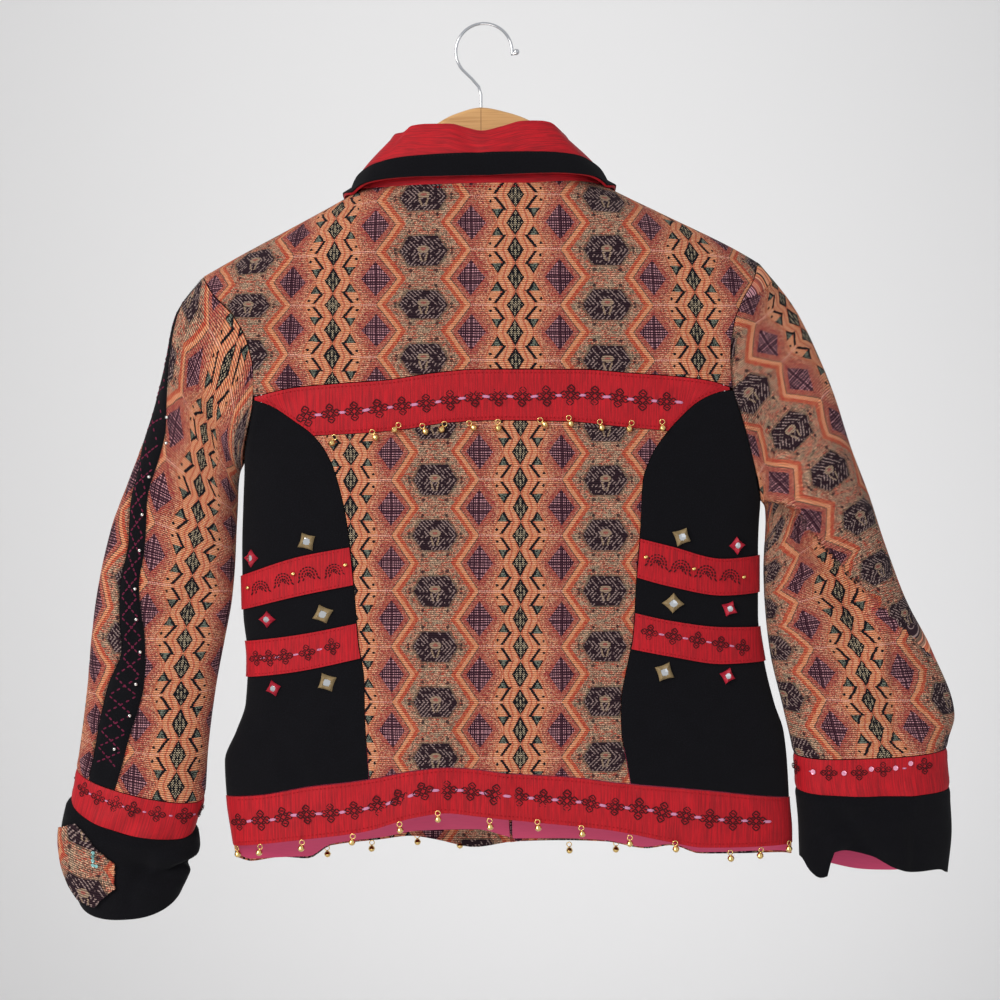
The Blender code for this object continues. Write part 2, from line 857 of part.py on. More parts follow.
class Sleeve:
    """A tube through rings, read at a share round (0 outer, 0.5 inner) and a distance down."""

    def __init__(self, rows, armhole, shoulder, underarm, out):
        rings = [armhole_ring(armhole, shoulder, underarm, out)]
        count = len(rows["back"])
        for number in range(count):
            outer = np.array([rows["outer_x"][number], 0.0, rows["outer_z"][number]])
            inner = np.array([rows["inner_x"][number], 0.0, rows["inner_z"][number]])
            drop = rows["drop"][number]
            back = half_ring(outer, inner, -rows["back"][number], drop, RING_HALF)
            front = half_ring(outer, inner, rows["front"][number], drop * 0.5, RING_HALF)
            rings.append(np.concatenate([back, front[::-1][1:]]))
        self.rings = np.stack(rings)
        steps = np.linalg.norm(np.diff(self.rings, axis=0), axis=2).mean(axis=1)
        self.marks = np.concatenate([[0], np.cumsum(steps)])
        self.out = out
        self.underarm = underarm

    def at(self, share, down):
        """Points at shares round the tube and distances down it."""
        share = np.asarray(share, float) % 1.0
        place = share * (self.rings.shape[1] - 1)
        low = np.minimum(place.astype(int), self.rings.shape[1] - 2)
        part = (place - low)[..., None]
        flat_low, flat_part = low.ravel(), part.reshape(-1, 1)
        line = self.rings[:, flat_low] * (1 - flat_part) + self.rings[:, flat_low + 1] * flat_part
        down = np.broadcast_to(down, share.shape).ravel()
        points = np.empty((share.size, 3))
        for mark in np.unique(down):
            chosen = down == mark
            points[chosen] = smooth(self.marks, line[:, chosen], np.array([mark]))[0]
        points = points.reshape(share.shape + (3,))
        return self.folded(points)

    def folded(self, points):
        """The tube's back with its folds, and the slack under the right elbow."""
        x, y, z = points[..., 0], points[..., 1], points[..., 2]
        soft = np.clip((-y - 6) / 14, 0, 1)
        lift = -fold_relief(x, z) * soft
        if self.out > 0:
            below = smooth(ELBOW["x"], ELBOW["z"], x) - z
            step = np.clip(below / ELBOW_STEP, 0, 1)
            fade = np.clip(1 - below / ELBOW_REACH, 0, 1)
            edge = np.clip((ELBOW["x"][-1] + 12 - x) / 24, 0, 1)
            lift = lift + ELBOW_DEPTH * step**2 * (3 - 2 * step) * fade * edge * soft
        points = points.copy()
        points[..., 1] += lift
        return points

    def grid(self, shares, downs):
        """A grid of points and normals: shares is one row for each distance down."""
        downs = np.asarray(downs)[:, None] * np.ones(shares.shape)
        points = self.at(shares, downs)
        turn, step = 0.004, 1.5
        round_slope = self.at(shares + turn, downs) - self.at(shares - turn, downs)
        down_slope = self.at(shares, downs + step) - self.at(shares, np.maximum(downs - step, 0))
        normals = np.cross(round_slope, down_slope)
        normals /= np.maximum(np.linalg.norm(normals, axis=-1, keepdims=True), 1e-9)
        centre = points.mean(axis=1, keepdims=True) * np.array([1.0, 0.0, 1.0])
        wrong = np.sum(normals * (points - centre)) < 0
        return points, -normals if wrong else normals

    def share_at(self, rows, column, down):
        """The share where the tube's back crosses a line drawn on it."""
        shares = np.linspace(0.0, 0.5, 160)
        points = self.at(shares, np.full(shares.shape, down))
        beyond = points[:, 0] - smooth(rows["z"], rows[column], points[:, 2])
        crossing = np.nonzero(np.diff(np.sign(beyond)))[0]
        return shares[crossing[0]] if len(crossing) else 0.0


def spaced(low, high, count):
    """Rows of shares between two edges, one row for each value of them."""
    steps = np.linspace(0, 1, count + 1)
    return low[:, None] + (high - low)[:, None] * steps


def sleeve_part(name, sleeve, shares, downs, finish, collection):
    """One cloth part of a sleeve, whose top edge leans to the body at the armhole."""
    points, normals = sleeve.grid(shares, downs)
    if downs[0] == 0:
        first = points[0]
        near = torso_normal(first[:, 0], first[:, 1], first[:, 2], True)
        far = torso_normal(first[:, 0], first[:, 1], first[:, 2], False)
        body = np.where(first[:, 1:2] < 0, near, far)
        share = np.clip((first[:, 2:3] - sleeve.underarm) / 60, 0, 1)
        mixed = body * share + normals[0] * (1 - share)
        normals[0] = mixed / np.linalg.norm(mixed, axis=1, keepdims=True)
    cloth(name, (points, normals), WOOL, finish, collection)


def build_sleeve(name, sleeve, stripe, finishes, collection):
    """A sleeve's back and front, each in an upper and a lower part, the strip between
    them, its band and its cuff."""
    end = sleeve.marks[BAND_RING]
    downs = np.linspace(0, 1, 15) ** 1.1 * (end - 2 * SEAM)
    size = 300.0
    gap = SEAM / 2 / size
    if stripe == "shown":
        front = np.array([sleeve.share_at(STRIPE_LEFT, "front_x", down) for down in downs])
        back = np.array([sleeve.share_at(STRIPE_LEFT, "back_x", down) for down in downs])
        top = smooth(STRIPE_HALF["v"], STRIPE_HALF["front"], downs / end)
        front = np.where(sleeve.at(np.zeros(len(downs)), downs)[:, 2] > -338, -top, front)
        front = np.convolve(np.pad(front, 1, mode="edge"), [0.25, 0.5, 0.25], mode="valid")
        back = np.convolve(np.pad(back, 1, mode="edge"), [0.25, 0.5, 0.25], mode="valid")
        back = np.maximum(back, front + 0.05)
    else:
        back = np.interp(downs / end, [0, 0.12, 0.2, 1], [0.012, 0.008, -0.012, -0.05])
        front = back - 0.06
    parts = (
        ("back", back + gap, np.full(back.shape, 0.5 - gap), 11, "jacquard"),
        ("stripe", front + gap, back - gap, 3, "black"),
        ("front", np.full(back.shape, 0.5 + gap), 1 + front - gap, 9, "jacquard"),
    )
    for part, low, high, columns, finish in parts:
        shares = spaced(low, high, columns)
        if part == "stripe":
            sleeve_part(f"sleeve_{name}_stripe", sleeve, shares, downs, finishes[finish],
                        collection)
            continue
        above, below = downs[:SLEEVE_JOIN + 1].copy(), downs[SLEEVE_JOIN:].copy()
        above[-1] -= SEAM / 2
        below[0] += SEAM / 2
        sleeve_part(f"sleeve_{name}_{part}_upper", sleeve, shares[:SLEEVE_JOIN + 1], above,
                    finishes[finish], collection)
        sleeve_part(f"sleeve_{name}_{part}_lower", sleeve, shares[SLEEVE_JOIN:], below,
                    finishes[finish], collection)

    ring = np.arange(28) / 28
    cuff_top = sleeve.marks[CUFF_RING]
    downs = np.linspace(end + SEAM, cuff_top - SEAM, 4)
    grid = sleeve.grid(np.tile(ring, (len(downs), 1)), downs)
    cloth(f"cuff_band_{name}", grid, WOOL, finishes["red"], collection, ring=True)
    downs = cuff_top + (sleeve.marks[-1] - cuff_top) * CUFF_ROWS
    points, normals = sleeve.grid(np.tile(ring, (len(downs), 1)), downs)
    if name == "right":
        near = np.clip(-points[-1, :, 1] / 12, 0, 1)
        shift = smooth(RIGHT_CUFF_MOUTH["x"], RIGHT_CUFF_MOUTH["drop"], points[-1, :, 0]) * near
        far = np.clip(points[-1, :, 1] / 12, 0, 1)
        shift += smooth(RIGHT_CUFF_FAR["x"], RIGHT_CUFF_FAR["drop"], points[-1, :, 0]) * far
        points[-1, :, 2] += shift
        points[-2, :, 2] += shift * 0.4
    cloth(f"cuff_{name}", (points, normals), WOOL, finishes["black"], collection, ring=True)
    return points, normals


def build_cuff_lining(cuff, finishes, collection):
    """The silk that shows inside the far side of the right cuff."""
    points, normals = cuff
    far = np.nonzero(points[-1, :, 1] > 4)[0]
    inside = points[-3:, far] - normals[-3:, far] * (WOOL + SEAM)
    wall("cuff_lining_right", inside, inside - normals[-3:, far] * SILK,
         finishes["magenta"], collection)


def build_patch(sleeve, finishes, collection):
    """The long six-sided patch laid on the left cuff, spun out from its middle."""
    rim_across = np.append(PATCH["across"], PATCH["across"][0])
    rim_down = np.append(PATCH["down"], PATCH["down"][0])
    marks = np.linspace(0, len(PATCH["across"]), 17)
    corner = np.arange(len(rim_across))
    across = np.interp(marks, corner, rim_across)[:-1]
    down = np.interp(marks, corner, rim_down)[:-1]
    middle = (across.mean(), down.mean())
    start = sleeve.marks[CUFF_RING]
    run = sleeve.marks[-1] - start
    rings = []
    for share in (0.2, 0.6, 1.0):
        shares = (middle[0] + (across - middle[0]) * share) * 0.5
        downs = start + run * (middle[1] + (down - middle[1]) * share)
        rings.append(sleeve_cells(sleeve, shares, downs))
    points = np.stack([ring[0] for ring in rings])
    normals = np.stack([ring[1] for ring in rings])
    top = points + normals * (PATCH_LIFT + WOOL)
    low = points + normals * PATCH_LIFT
    shape_wall("cuff_patch", top, low, finishes["jacquard"], collection)


def sleeve_cells(sleeve, shares, downs):
    """Points and normals of a tube at single places."""
    points = sleeve.at(shares, downs)
    turn, step = 0.004, 1.5
    round_slope = sleeve.at(shares + turn, downs) - sleeve.at(shares - turn, downs)
    down_slope = sleeve.at(shares, downs + step) - sleeve.at(shares, downs - step)
    normals = np.cross(round_slope, down_slope)
    normals /= np.linalg.norm(normals, axis=-1, keepdims=True)
    return points, np.where(normals[:, 1:2] > 0, -normals, normals)


def shape_wall(name, top, low, finish, collection):
    """A closed plate from rings round a middle, filled there."""
    shape = bmesh.new()
    made = []
    for grid in (top, low):
        rings = [[shape.verts.new((point + DATUM) * MM) for point in ring] for ring in grid]
        for inner, outer in zip(rings, rings[1:]):
            for index in range(len(outer)):
                beside = (index + 1) % len(outer)
                shape.faces.new((inner[index], inner[beside], outer[beside], outer[index]))
        shape.faces.new(rings[0])
        made.append(rings[-1])
    for index in range(len(made[0])):
        beside = (index + 1) % len(made[0])
        shape.faces.new((made[0][index], made[0][beside], made[1][beside], made[1][index]))
    bmesh.ops.triangulate(shape, faces=[f for f in shape.faces if len(f.verts) > 4])
    bmesh.ops.recalc_face_normals(shape, faces=shape.faces)
    mesh = bpy.data.meshes.new(name)
    shape.to_mesh(mesh)
    shape.free()
    return add_object(name, mesh, finish, collection)


def neck_point(turn):
    """A point of the neck seam: 0 at the middle of the back, 180 at the front opening."""
    x = NECK_X + NECK_HALF * np.sin(np.radians(turn))
    back = np.abs(turn) <= 90
    z = np.where(back, smooth(BACK_NECK["x"], BACK_NECK["z"], x),
                 smooth(FRONT_NECK["x"], FRONT_NECK["z"], x))
    z = np.minimum(z, shoulder_z(x))
    y = np.where(back, torso_y(x, z, True), torso_y(x, z, False))
    return np.stack([x, y, z], axis=-1)


def build_collar(finishes, collection):
    """The stand on the neck seam, the leaf folded over it, and the tape along the leaf."""
    half = np.array(COLLAR_TURNS)
    turns = np.concatenate([-half[::-1], half[1:]])
    size = np.abs(turns)
    sign = np.sign(turns)
    seam = neck_point(turns)
    columns = {name: smooth(COLLAR["turn"], values, size) for name, values in COLLAR.items()}
    fold_x = NECK_X + sign * columns["fold_x"]
    near_back = np.clip((70 - size) / 20, 0, 1)
    fold_z = (near_back * smooth(FOLD_LINE["x"], FOLD_LINE["z"], fold_x)
              + (1 - near_back) * columns["fold_z"])
    fold = np.stack([fold_x, columns["fold_y"], fold_z], axis=-1)
    leaf_x = NECK_X + sign * columns["leaf_x"]
    leaf = np.stack([leaf_x, columns["leaf_y"],
                     columns["leaf_z"] + COLLAR_TILT * (leaf_x - NECK_X)], axis=-1)

    away = leaf - fold
    away[:, 2] = 0
    away /= np.maximum(np.linalg.norm(away, axis=1, keepdims=True), 1e-6)
    up = np.array([0.0, 0.0, 1.0])
    foot = seam + up * np.interp(size, (70, 100, 180), (0.8, 1.5, 3.0))[:, None]
    head = fold - up * 7.0 - away * 1.2
    rows = [foot + (head - foot) * share for share in (0, 0.33, 0.67, 1)]
    stand = np.stack(rows)
    wall("collar_stand", stand, stand - away * DUPION, finishes["red"], collection)

    roll = [fold + away * (3.4 - 3.2 * math.cos(angle)) + up * (3.2 * math.sin(angle) - 3.2)
            for angle in (0, math.pi / 3, 2 * math.pi / 3)]
    start = fold + away * 6.6 - up * 3.2
    belly = np.interp(size, (70, 104), (3.0, 9.5))[:, None]
    tape_top = 1 - TAPE_WIDE / np.linalg.norm(leaf - start, axis=1, keepdims=True)
    drop = [start + (leaf - start) * share + away * belly * np.sin(math.pi * share)
            for share in (0 * tape_top, tape_top / 2, tape_top, (1 + tape_top) / 2,
                          1 + 0 * tape_top)]
    tape_row = len(roll) + 2
    surface = np.stack(roll + drop)
    surface[4:] = push_clear(surface[4:], WOOL + COLLAR_LIFT)
    along = np.gradient(surface, axis=1)
    across = np.gradient(surface, axis=0)
    normals = np.cross(along, across)
    normals /= np.linalg.norm(normals, axis=-1, keepdims=True)
    if np.sum(normals[4] * away) < 0:
        normals = -normals
    cloth("collar_leaf", (surface, normals), WOOL, finishes["red"], collection)
    cloth("collar_tape", (surface[tape_row:], normals[tape_row:]), DUPION, finishes["black"],
          collection, lift=STRIP_LIFT)


def build_hanger(finishes, collection):
    """The flat wooden hanger, from its outline, and the bent wire hook."""
    low, high = HANGER_ENDS
    xs = np.linspace(low + HANGER_ROUND, high - HANGER_ROUND, 33)
    arms = shoulder_z(xs) - (WOOL + HANGER_GAP) * np.sqrt(1 + np.gradient(shoulder_z(xs), xs)**2)
    hump = smooth(HANGER_TOP["x"], HANGER_TOP["z"], xs)
    middle = (xs > HANGER_TOP["x"][0]) & (xs < HANGER_TOP["x"][-1])
    top = np.where(middle, np.minimum(hump, 0), arms)
    centre = np.clip(1 - np.abs(xs - NECK_X) / 110, 0, 1)
    edge = top - HANGER_ARM - (HANGER_MIDDLE - HANGER_ARM) * centre**0.8
    inset = HANGER_ROUND * np.sqrt(1 + np.gradient(top, xs)**2)
    outline = list(zip(xs, top - inset)) + list(zip(xs[::-1], edge[::-1] + HANGER_ROUND))
    curve = bpy.data.curves.new("hanger_outline", "CURVE")
    curve.dimensions = "2D"
    curve.fill_mode = "BOTH"
    curve.extrude = (HANGER_THICK / 2 - HANGER_ROUND) * MM
    curve.bevel_depth = HANGER_ROUND * MM
    curve.bevel_resolution = 1
    spline = curve.splines.new("POLY")
    spline.points.add(len(outline) - 1)
    for point, (x, z) in zip(spline.points, outline):
        point.co = ((x + DATUM[0]) * MM, (z + DATUM[2]) * MM, 0, 1)
    spline.use_cyclic_u = True
    flat = bpy.data.objects.new("hanger_outline", curve)
    flat.rotation_euler = (math.radians(90), 0, 0)
    collection.objects.link(flat)
    bpy.context.view_layer.update()
    mesh = bpy.data.meshes.new_from_object(flat.evaluated_get(bpy.context.evaluated_depsgraph_get()))
    mesh.transform(flat.matrix_world)
    bpy.data.objects.remove(flat)
    shape = bmesh.new()
    shape.from_mesh(mesh)
    bmesh.ops.remove_doubles(shape, verts=shape.verts, dist=0.00001)
    bmesh.ops.recalc_face_normals(shape, faces=shape.faces)
    shape.to_mesh(mesh)
    shape.free()
    mesh.name = "hanger_wood"
    mesh.materials.clear()
    mesh.shade_smooth()
    mesh.set_sharp_from_angle(angle=math.radians(50))
    add_object("hanger_wood", mesh, finishes["beech"], collection)

    points = list(zip(HOOK_STEM["x"], HOOK_STEM["z"]))
    for turn in np.linspace(HOOK_START_TURN, HOOK_END_TURN, 22):
        angle = math.radians(turn)
        points.append((HOOK_CENTRE[0] + HOOK_RADIUS * math.cos(angle),
                       HOOK_CENTRE[1] + HOOK_RADIUS * math.sin(angle)))
    tail = len(points)
    points += list(zip(HOOK_TIP["x"], HOOK_TIP["z"]))
    radii = [1.0] * tail + list(HOOK_TIP["radius"])
    wire = bpy.data.curves.new("hanger_hook", "CURVE")
    wire.dimensions = "3D"
    wire.bevel_depth = HOOK_WIRE * MM
    wire.bevel_resolution = 2
    wire.use_fill_caps = True
    spline = wire.splines.new("POLY")
    spline.points.add(len(points) - 1)
    for point, (x, z), radius in zip(spline.points, points, radii):
        point.co = ((x + DATUM[0]) * MM, 0, (z + DATUM[2]) * MM, 1)
        point.radius = radius
    wire.materials.append(finishes["chrome"])
    hook = bpy.data.objects.new("hanger_hook", wire)
    collection.objects.link(hook)


def main():
    """Builds every piece of the jacket and its hanger."""
    for old in list(bpy.data.objects):
        bpy.data.objects.remove(old)
    collection = bpy.data.collections.new("jacket")
    bpy.context.scene.collection.children.link(collection)
    finishes = {
        "jacquard": material("jacquard_wool", JACQUARD, 0.9),
        "red": material("red_dupion", RED, 0.7),
        "black": material("black_wool", BLACK, 0.9),
        "magenta": material("magenta_silk", MAGENTA, 0.5),
        "beech": material("lotus_wood", BEECH, 0.45),
        "chrome": material("chromed_wire", CHROME, 0.15, 1.0),
    }
    build_back(finishes, collection)
    build_fronts(finishes, collection)
    left = Sleeve(SLEEVE_LEFT, ARMHOLE_LEFT, -215, -380, -1)
    right = Sleeve(SLEEVE_RIGHT, ARMHOLE_RIGHT, -202, -411, 1)
    build_sleeve("left", left, "shown", finishes, collection)
    cuff = build_sleeve("right", right, "edge", finishes, collection)
    build_cuff_lining(cuff, finishes, collection)
    build_patch(left, finishes, collection)
    build_collar(finishes, collection)
    build_hanger(finishes, collection)


main()
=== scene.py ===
"""Looks of a short patchwork jacket that hangs on a wooden hanger, seen from its back.

Lengths in the tables are in millimetres, in the frame of the tables: x to the wearer's
right, y away from the back, z up. DATUM moves them to the hook's crown.
"""

import logging
import math
from dataclasses import dataclass, field
from enum import Enum
from itertools import pairwise
from typing import Any, Callable, Iterable, Sequence

import bmesh
import bpy
import mathutils
import numpy as np
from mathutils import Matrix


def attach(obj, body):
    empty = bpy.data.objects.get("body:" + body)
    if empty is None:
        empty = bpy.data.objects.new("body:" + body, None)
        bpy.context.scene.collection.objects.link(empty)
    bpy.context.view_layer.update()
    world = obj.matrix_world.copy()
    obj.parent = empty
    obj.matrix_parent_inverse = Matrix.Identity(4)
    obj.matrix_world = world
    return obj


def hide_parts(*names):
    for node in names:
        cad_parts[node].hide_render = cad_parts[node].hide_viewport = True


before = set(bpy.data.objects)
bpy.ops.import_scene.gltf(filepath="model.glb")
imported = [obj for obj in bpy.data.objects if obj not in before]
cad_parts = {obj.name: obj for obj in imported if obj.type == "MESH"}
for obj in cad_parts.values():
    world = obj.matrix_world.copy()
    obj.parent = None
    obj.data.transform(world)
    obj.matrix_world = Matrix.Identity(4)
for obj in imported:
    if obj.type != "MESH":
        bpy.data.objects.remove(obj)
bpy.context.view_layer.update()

LOG = logging.getLogger("jacket")

Curve = Callable[[Any], Any]
Grid = tuple[np.ndarray, np.ndarray]
Table = dict[str, np.ndarray]
Form = tuple[list, list]

MM = 0.001
DATUM = np.array([3.4, 0.0, -2.4])

WOOL = 2.0
DUPION = 1.2
SILK = 1.0
SEAM = 0.3
CURVED_SEAM = 0.8
STRIP_LIFT = 0.3
NECK_X = -7.0
NECK_HALF = 103.0
SHOULDER_ROUND = 55.0
SIDE_POWER = 4.0
RING_HALF = 120
RIM_GAP = 0.2
UNDERARM = {"left": -380, "right": -411}


def table(columns: str, rows: Iterable[Sequence[float]]) -> Table:
    """Columns of numbers by name, from one row for each section."""
    return {name: np.array(values, float) for name, values in zip(columns.split(), zip(*rows))}


SIDES = table("z left right", [
    (-200, -330, 320), (-250, -292, 300), (-300, -262, 281), (-340, -232, 264), (-362, -218, 256),
    (-380, -211, 248), (-411, -212, 236), (-451, -213, 234), (-506, -212, 234), (-545, -208, 239),
    (-583, -210, 248), (-607, -218, 256), (-633, -228, 259), (-668, -226, 261), (-695, -222, 263),
    (-725, -217, 263),
])

DEPTHS = table("z back front", [
    (-90, 34, 24), (-200, 38, 26), (-330, 39, 28), (-450, 37, 27), (-600, 35, 26), (-725, 35, 28),
])

SHOULDERS = table("x z", [
    (-330, -262), (-246, -215), (-214, -197), (-162, -169), (-119, -145), (-60, -106), (-7, -84),
    (45, -104), (102, -137), (149, -160), (209, -189), (232, -202), (320, -252),
])

BACK_NECK = table("x z", [
    (-112, -141.5), (-95, -142), (-40, -141), (27, -140), (82, -136.5), (98, -137),
])

FRONT_NECK = table("x z", [
    (-110.5, -141.5), (-103, -158), (-82, -180), (-50, -197), (-7, -205), (36, -196), (68, -179),
    (89, -157), (96.5, -136.5),
])

ARMHOLE_LEFT = table("z x", [
    (-215, -245), (-233, -233), (-252, -215), (-275, -203), (-299, -198.5), (-322, -198.5),
    (-345, -203), (-362, -207.5), (-380, -211),
])

ARMHOLE_RIGHT = table("z x", [
    (-202, 232), (-220, 226), (-237, 216), (-258, 208), (-284, 205), (-312, 207), (-335, 214),
    (-357, 221), (-379, 227), (-399, 232), (-411, 236),
])

YOKE_EDGE = table("x z", [
    (-199, -321), (-162, -313), (-128, -310), (-86, -307), (-44, -301), (-7, -298), (78, -298),
    (120, -301), (161, -304), (190, -308), (206, -313),
])

BAND_EDGE = table("x z", [
    (-147, -354), (-107, -352), (-72, -349), (-32, -343), (10, -341), (66, -342), (108, -346),
    (152, -350),
])

BAND_ENDS = (-197.5, 204.5)
BAND_CORNERS = (-147.0, 152.0)

PRINCESS_LEFT = table("z x", [
    (-322.5, -202), (-329, -183), (-340, -166), (-354, -147), (-369, -136), (-388, -128),
    (-427, -119), (-469, -114), (-529, -109), (-560, -104.5), (-590, -104), (-620, -102),
    (-660, -99),
])

PRINCESS_RIGHT = table("z x", [
    (-314.5, 209), (-317.5, 194), (-325, 178), (-338, 163), (-350, 152), (-371, 138), (-392, 131),
    (-430, 129), (-469, 126), (-520, 123), (-552, 117), (-580, 112.5), (-605, 113), (-627, 117),
    (-660, 123),
])

HEM_TOP = table("x z", [
    (-230, -663), (-195, -659), (-147, -650), (-100, -644), (-60, -636), (-36, -633.5),
    (-12, -635), (15, -638.5), (72, -642), (122, -648), (179, -653), (226, -659), (264, -664),
])

HEM_EDGE = table("x z", [
    (-226, -706), (-167, -697), (-104, -688), (-62, -675.5), (-36, -672), (-8, -675), (43, -680),
    (100, -686), (155, -697), (182, -702), (264, -703),
])

FRONT_EDGE = table("x z", [
    (-226, -712), (-206, -722), (-182, -720), (-158, -722), (-138, -711), (-94, -706), (-68, -703),
    (-47, -706), (-12, -713), (24, -708), (66, -707), (103, -708), (139, -714), (161, -711),
    (186, -718), (220, -717), (264, -713),
])

LINING_EDGE = table("x z", [
    (-226, -710), (-206, -720), (-158, -720), (-138, -709.5), (-94, -704), (-60, -698),
    (-12, -697), (24, -705), (66, -705), (103, -706.5), (139, -712.5), (161, -709.5),
    (186, -716.5), (264, -711.5),
])

LINING_TOP_Z = -625.0
FRONT_CHEST_Z = -300.0
FRONT_OPENING = table("z x", [(-205, -7), (-450, 8), (-715, 26)])

STRIPS_LEFT = table("x upper_top upper_edge lower_top lower_edge", [
    (-214, -474, -503, -530, -561),
    (-159, -456, -489, -522, -553),
    (-105, -446, -478, -511, -541),
])

STRIPS_RIGHT = table("x upper_top upper_edge lower_top lower_edge", [
    (118, -438, -471, -502, -533),
    (154, -447, -481, -510, -540),
    (200, -458, -489, -516, -547),
    (246, -454, -486, -517, -546),
])

SLEEVE_LEFT = table("outer_x outer_z inner_x inner_z back front drop", [
    (-269.5, -249, -214.5, -386, 24, 20, 0),
    (-280, -297, -216, -398, 27, 22, 0),
    (-292, -343, -216.5, -413, 28, 23, 0),
    (-309, -389, -217.5, -434, 28, 23, 0),
    (-325, -432, -218.5, -462, 27, 23, 1),
    (-336, -480, -221, -493, 26, 22, 2),
    (-342, -525, -227, -527, 26, 22, 3),
    (-346, -572, -235, -570, 25, 21, 4),
    (-351, -612, -242, -626, 25, 21, 6),
    (-355, -638, -244.5, -664.5, 25, 21, 8),
    (-359.8, -663, -252.3, -690.5, 26, 22, 15),
    (-364.5, -671, -250, -696, 30, 25, 17),
    (-368.5, -695, -248.8, -707, 31, 26, 19),
    (-364.6, -721, -255.7, -724.5, 31, 26, 21),
    (-353.3, -743, -262.6, -738, 29, 24, 23),
])

SLEEVE_RIGHT = table("outer_x outer_z inner_x inner_z back front drop", [
    (261, -237, 240, -417, 24, 20, 0),
    (280, -273, 240.5, -427, 27, 22, 0),
    (298, -316, 240, -439, 29, 23, 0),
    (313, -363, 239, -453, 30, 24, 0),
    (328.5, -404, 238.5, -469, 30, 24, 0),
    (342, -446, 239, -488, 30, 24, 0),
    (358, -489, 240.5, -510, 29, 23, 0),
    (382, -535, 244, -540, 28, 23, 1),
    (402.5, -593, 256, -592, 27, 22, 3),
    (396, -620.5, 263.5, -626.5, 27, 22, 4),
    (398.3, -654, 265.5, -656, 27, 22, 5),
    (398.6, -662, 266, -663, 29, 24, 5),
    (400, -690, 268, -686, 29, 24, 4),
    (396.6, -728.5, 269, -715, 27, 23, 0),
])

BAND_RING = 10
CUFF_RING = 11

STRIPE_LEFT = table("z front_x back_x", [
    (-215, -262, -249), (-249, -280, -267), (-297, -292, -273.5), (-343, -303, -274),
    (-360, -298, -276), (-380, -297, -281), (-403, -303.5, -288), (-446, -306, -291),
    (-482, -313, -296), (-508, -313, -293), (-535, -310, -290.5), (-563, -323, -291),
    (-600, -331, -301), (-660, -343, -318),
])

STRIPE_HALF = table("v front back", [
    (0.0, 0.035, 0.012), (0.5, 0.035, 0.004), (1.0, 0.040, 0.0),
])

RIGHT_CUFF_MOUTH = table("x drop", [
    (269, 1), (275, -9), (283, -14), (290, -11), (294, 9), (308, 13), (325, 11), (345, 3),
    (358, 1), (385, 4), (397, 0),
])

RIGHT_CUFF_FAR = table("x drop", [
    (269, 0), (292, -6), (325, -10), (352, -8), (375, -3), (397, 0),
])

COLLAR = table("turn fold_x fold_y fold_z leaf_x leaf_y leaf_z", [
    (0, 0, -30, -98, 0, -42, -135.5),
    (30, 37, -30, -88, 56, -41, -135),
    (60, 62, -24, -93, 93, -34, -137),
    (90, 73, -6, -103, 111, -11, -146),
    (120, 71, 10, -122, 114, 20, -161),
    (150, 50, 23, -162, 96, 32, -204),
    (172, 20, 28, -192, 66, 36, -240),
])

FOLD_LINE = table("x z", [
    (-75, -103), (-67.4, -97.5), (-60, -90.8), (-49, -90), (-28, -90), (-17.5, -93), (-5.7, -96.2),
    (10, -92.2), (26, -87.6), (42, -87), (50, -88), (56, -91.6), (64, -100.9),
])

COLLAR_END = 172
COLLAR_TILT = 0.03
COLLAR_LIFT = 1.2
TAPE_WIDE = 19.0

HANGER_TOP = table("x z", [
    (-133, -160.5), (-116, -157), (-104, -148), (-90, -133), (-76, -118.5), (-66, -106),
    (-54, -91), (-41, -81), (-28, -74.5), (-6, -69), (16, -73), (41, -83), (51, -96), (59, -112),
    (68, -126), (82, -138), (100, -146), (116, -152), (128, -156),
])
HANGER_ENDS = (-220.0, 207.0)
HANGER_ARM = 23.0
HANGER_MIDDLE = 46.0
HANGER_THICK = 8.0
HANGER_ROUND = 3.8
HANGER_GAP = 0.5

HOOK_WIRE = 1.3
HOOK_CENTRE = (-3.4, -20.6)
HOOK_RADIUS = 24.3
HOOK_STEM = table("x z", [
    (-6, -68.75), (-6, -58), (-8, -51), (-14, -44),
])
HOOK_START_TURN = 222.0
HOOK_END_TURN = -6.0
HOOK_TIP = table("x z radius", [
    (22.4, -22.6, 1.0), (23.4, -21.8, 1.9), (24.4, -21.0, 2.1), (25.4, -20.2, 1.9),
    (26.4, -19.4, 1.0),
])

FOLDS = table("x0 z0 x1 z1 width depth", [
    (-196, -300, -150, -215, 16, -3.0),
    (-206, -350, -175, -300, 12, 2.5),
    (206, -300, 165, -225, 16, -3.0),
    (214, -345, 180, -300, 12, 2.5),
    (-60, -250, -100, -180, 22, 1.5),
    (-150, -560, -205, -625, 14, -3.0),
    (-140, -600, -190, -650, 10, 2.0),
    (200, -575, 245, -640, 14, -3.0),
    (60, -560, 100, -640, 18, 2.0),
    (-40, -600, -60, -672, 20, 3.0),
    (-230, -380, -300, -330, 12, -3.5),
    (-230, -420, -300, -400, 14, 3.0),
    (-235, -500, -310, -450, 12, -3.0),
    (-250, -640, -330, -600, 14, 3.0),
    (-262, -722, -296, -719, 7, -4.0),
    (250, -420, 320, -380, 14, 3.0),
    (330, -520, 390, -560, 14, -3.5),
    (280, -640, 320, -560, 16, 3.0),
    (300, -675, 330, -720, 9, -4.0),
    (360, -665, 352, -715, 8, 3.5),
])

ELBOW = table("x z", [
    (241, -409), (261, -417), (270, -432), (283, -447), (297, -463), (310, -477), (324, -490),
])
ELBOW_DEPTH = 13.0
ELBOW_STEP = 7.0
ELBOW_REACH = 95.0

ARMHOLE_BLEND = 60.0
LIP_HIGH = 4.6
LIP_HIGH_REACH = 20.0
LIP_LOW = 4.2
LIP_LOW_REACH = 14.0

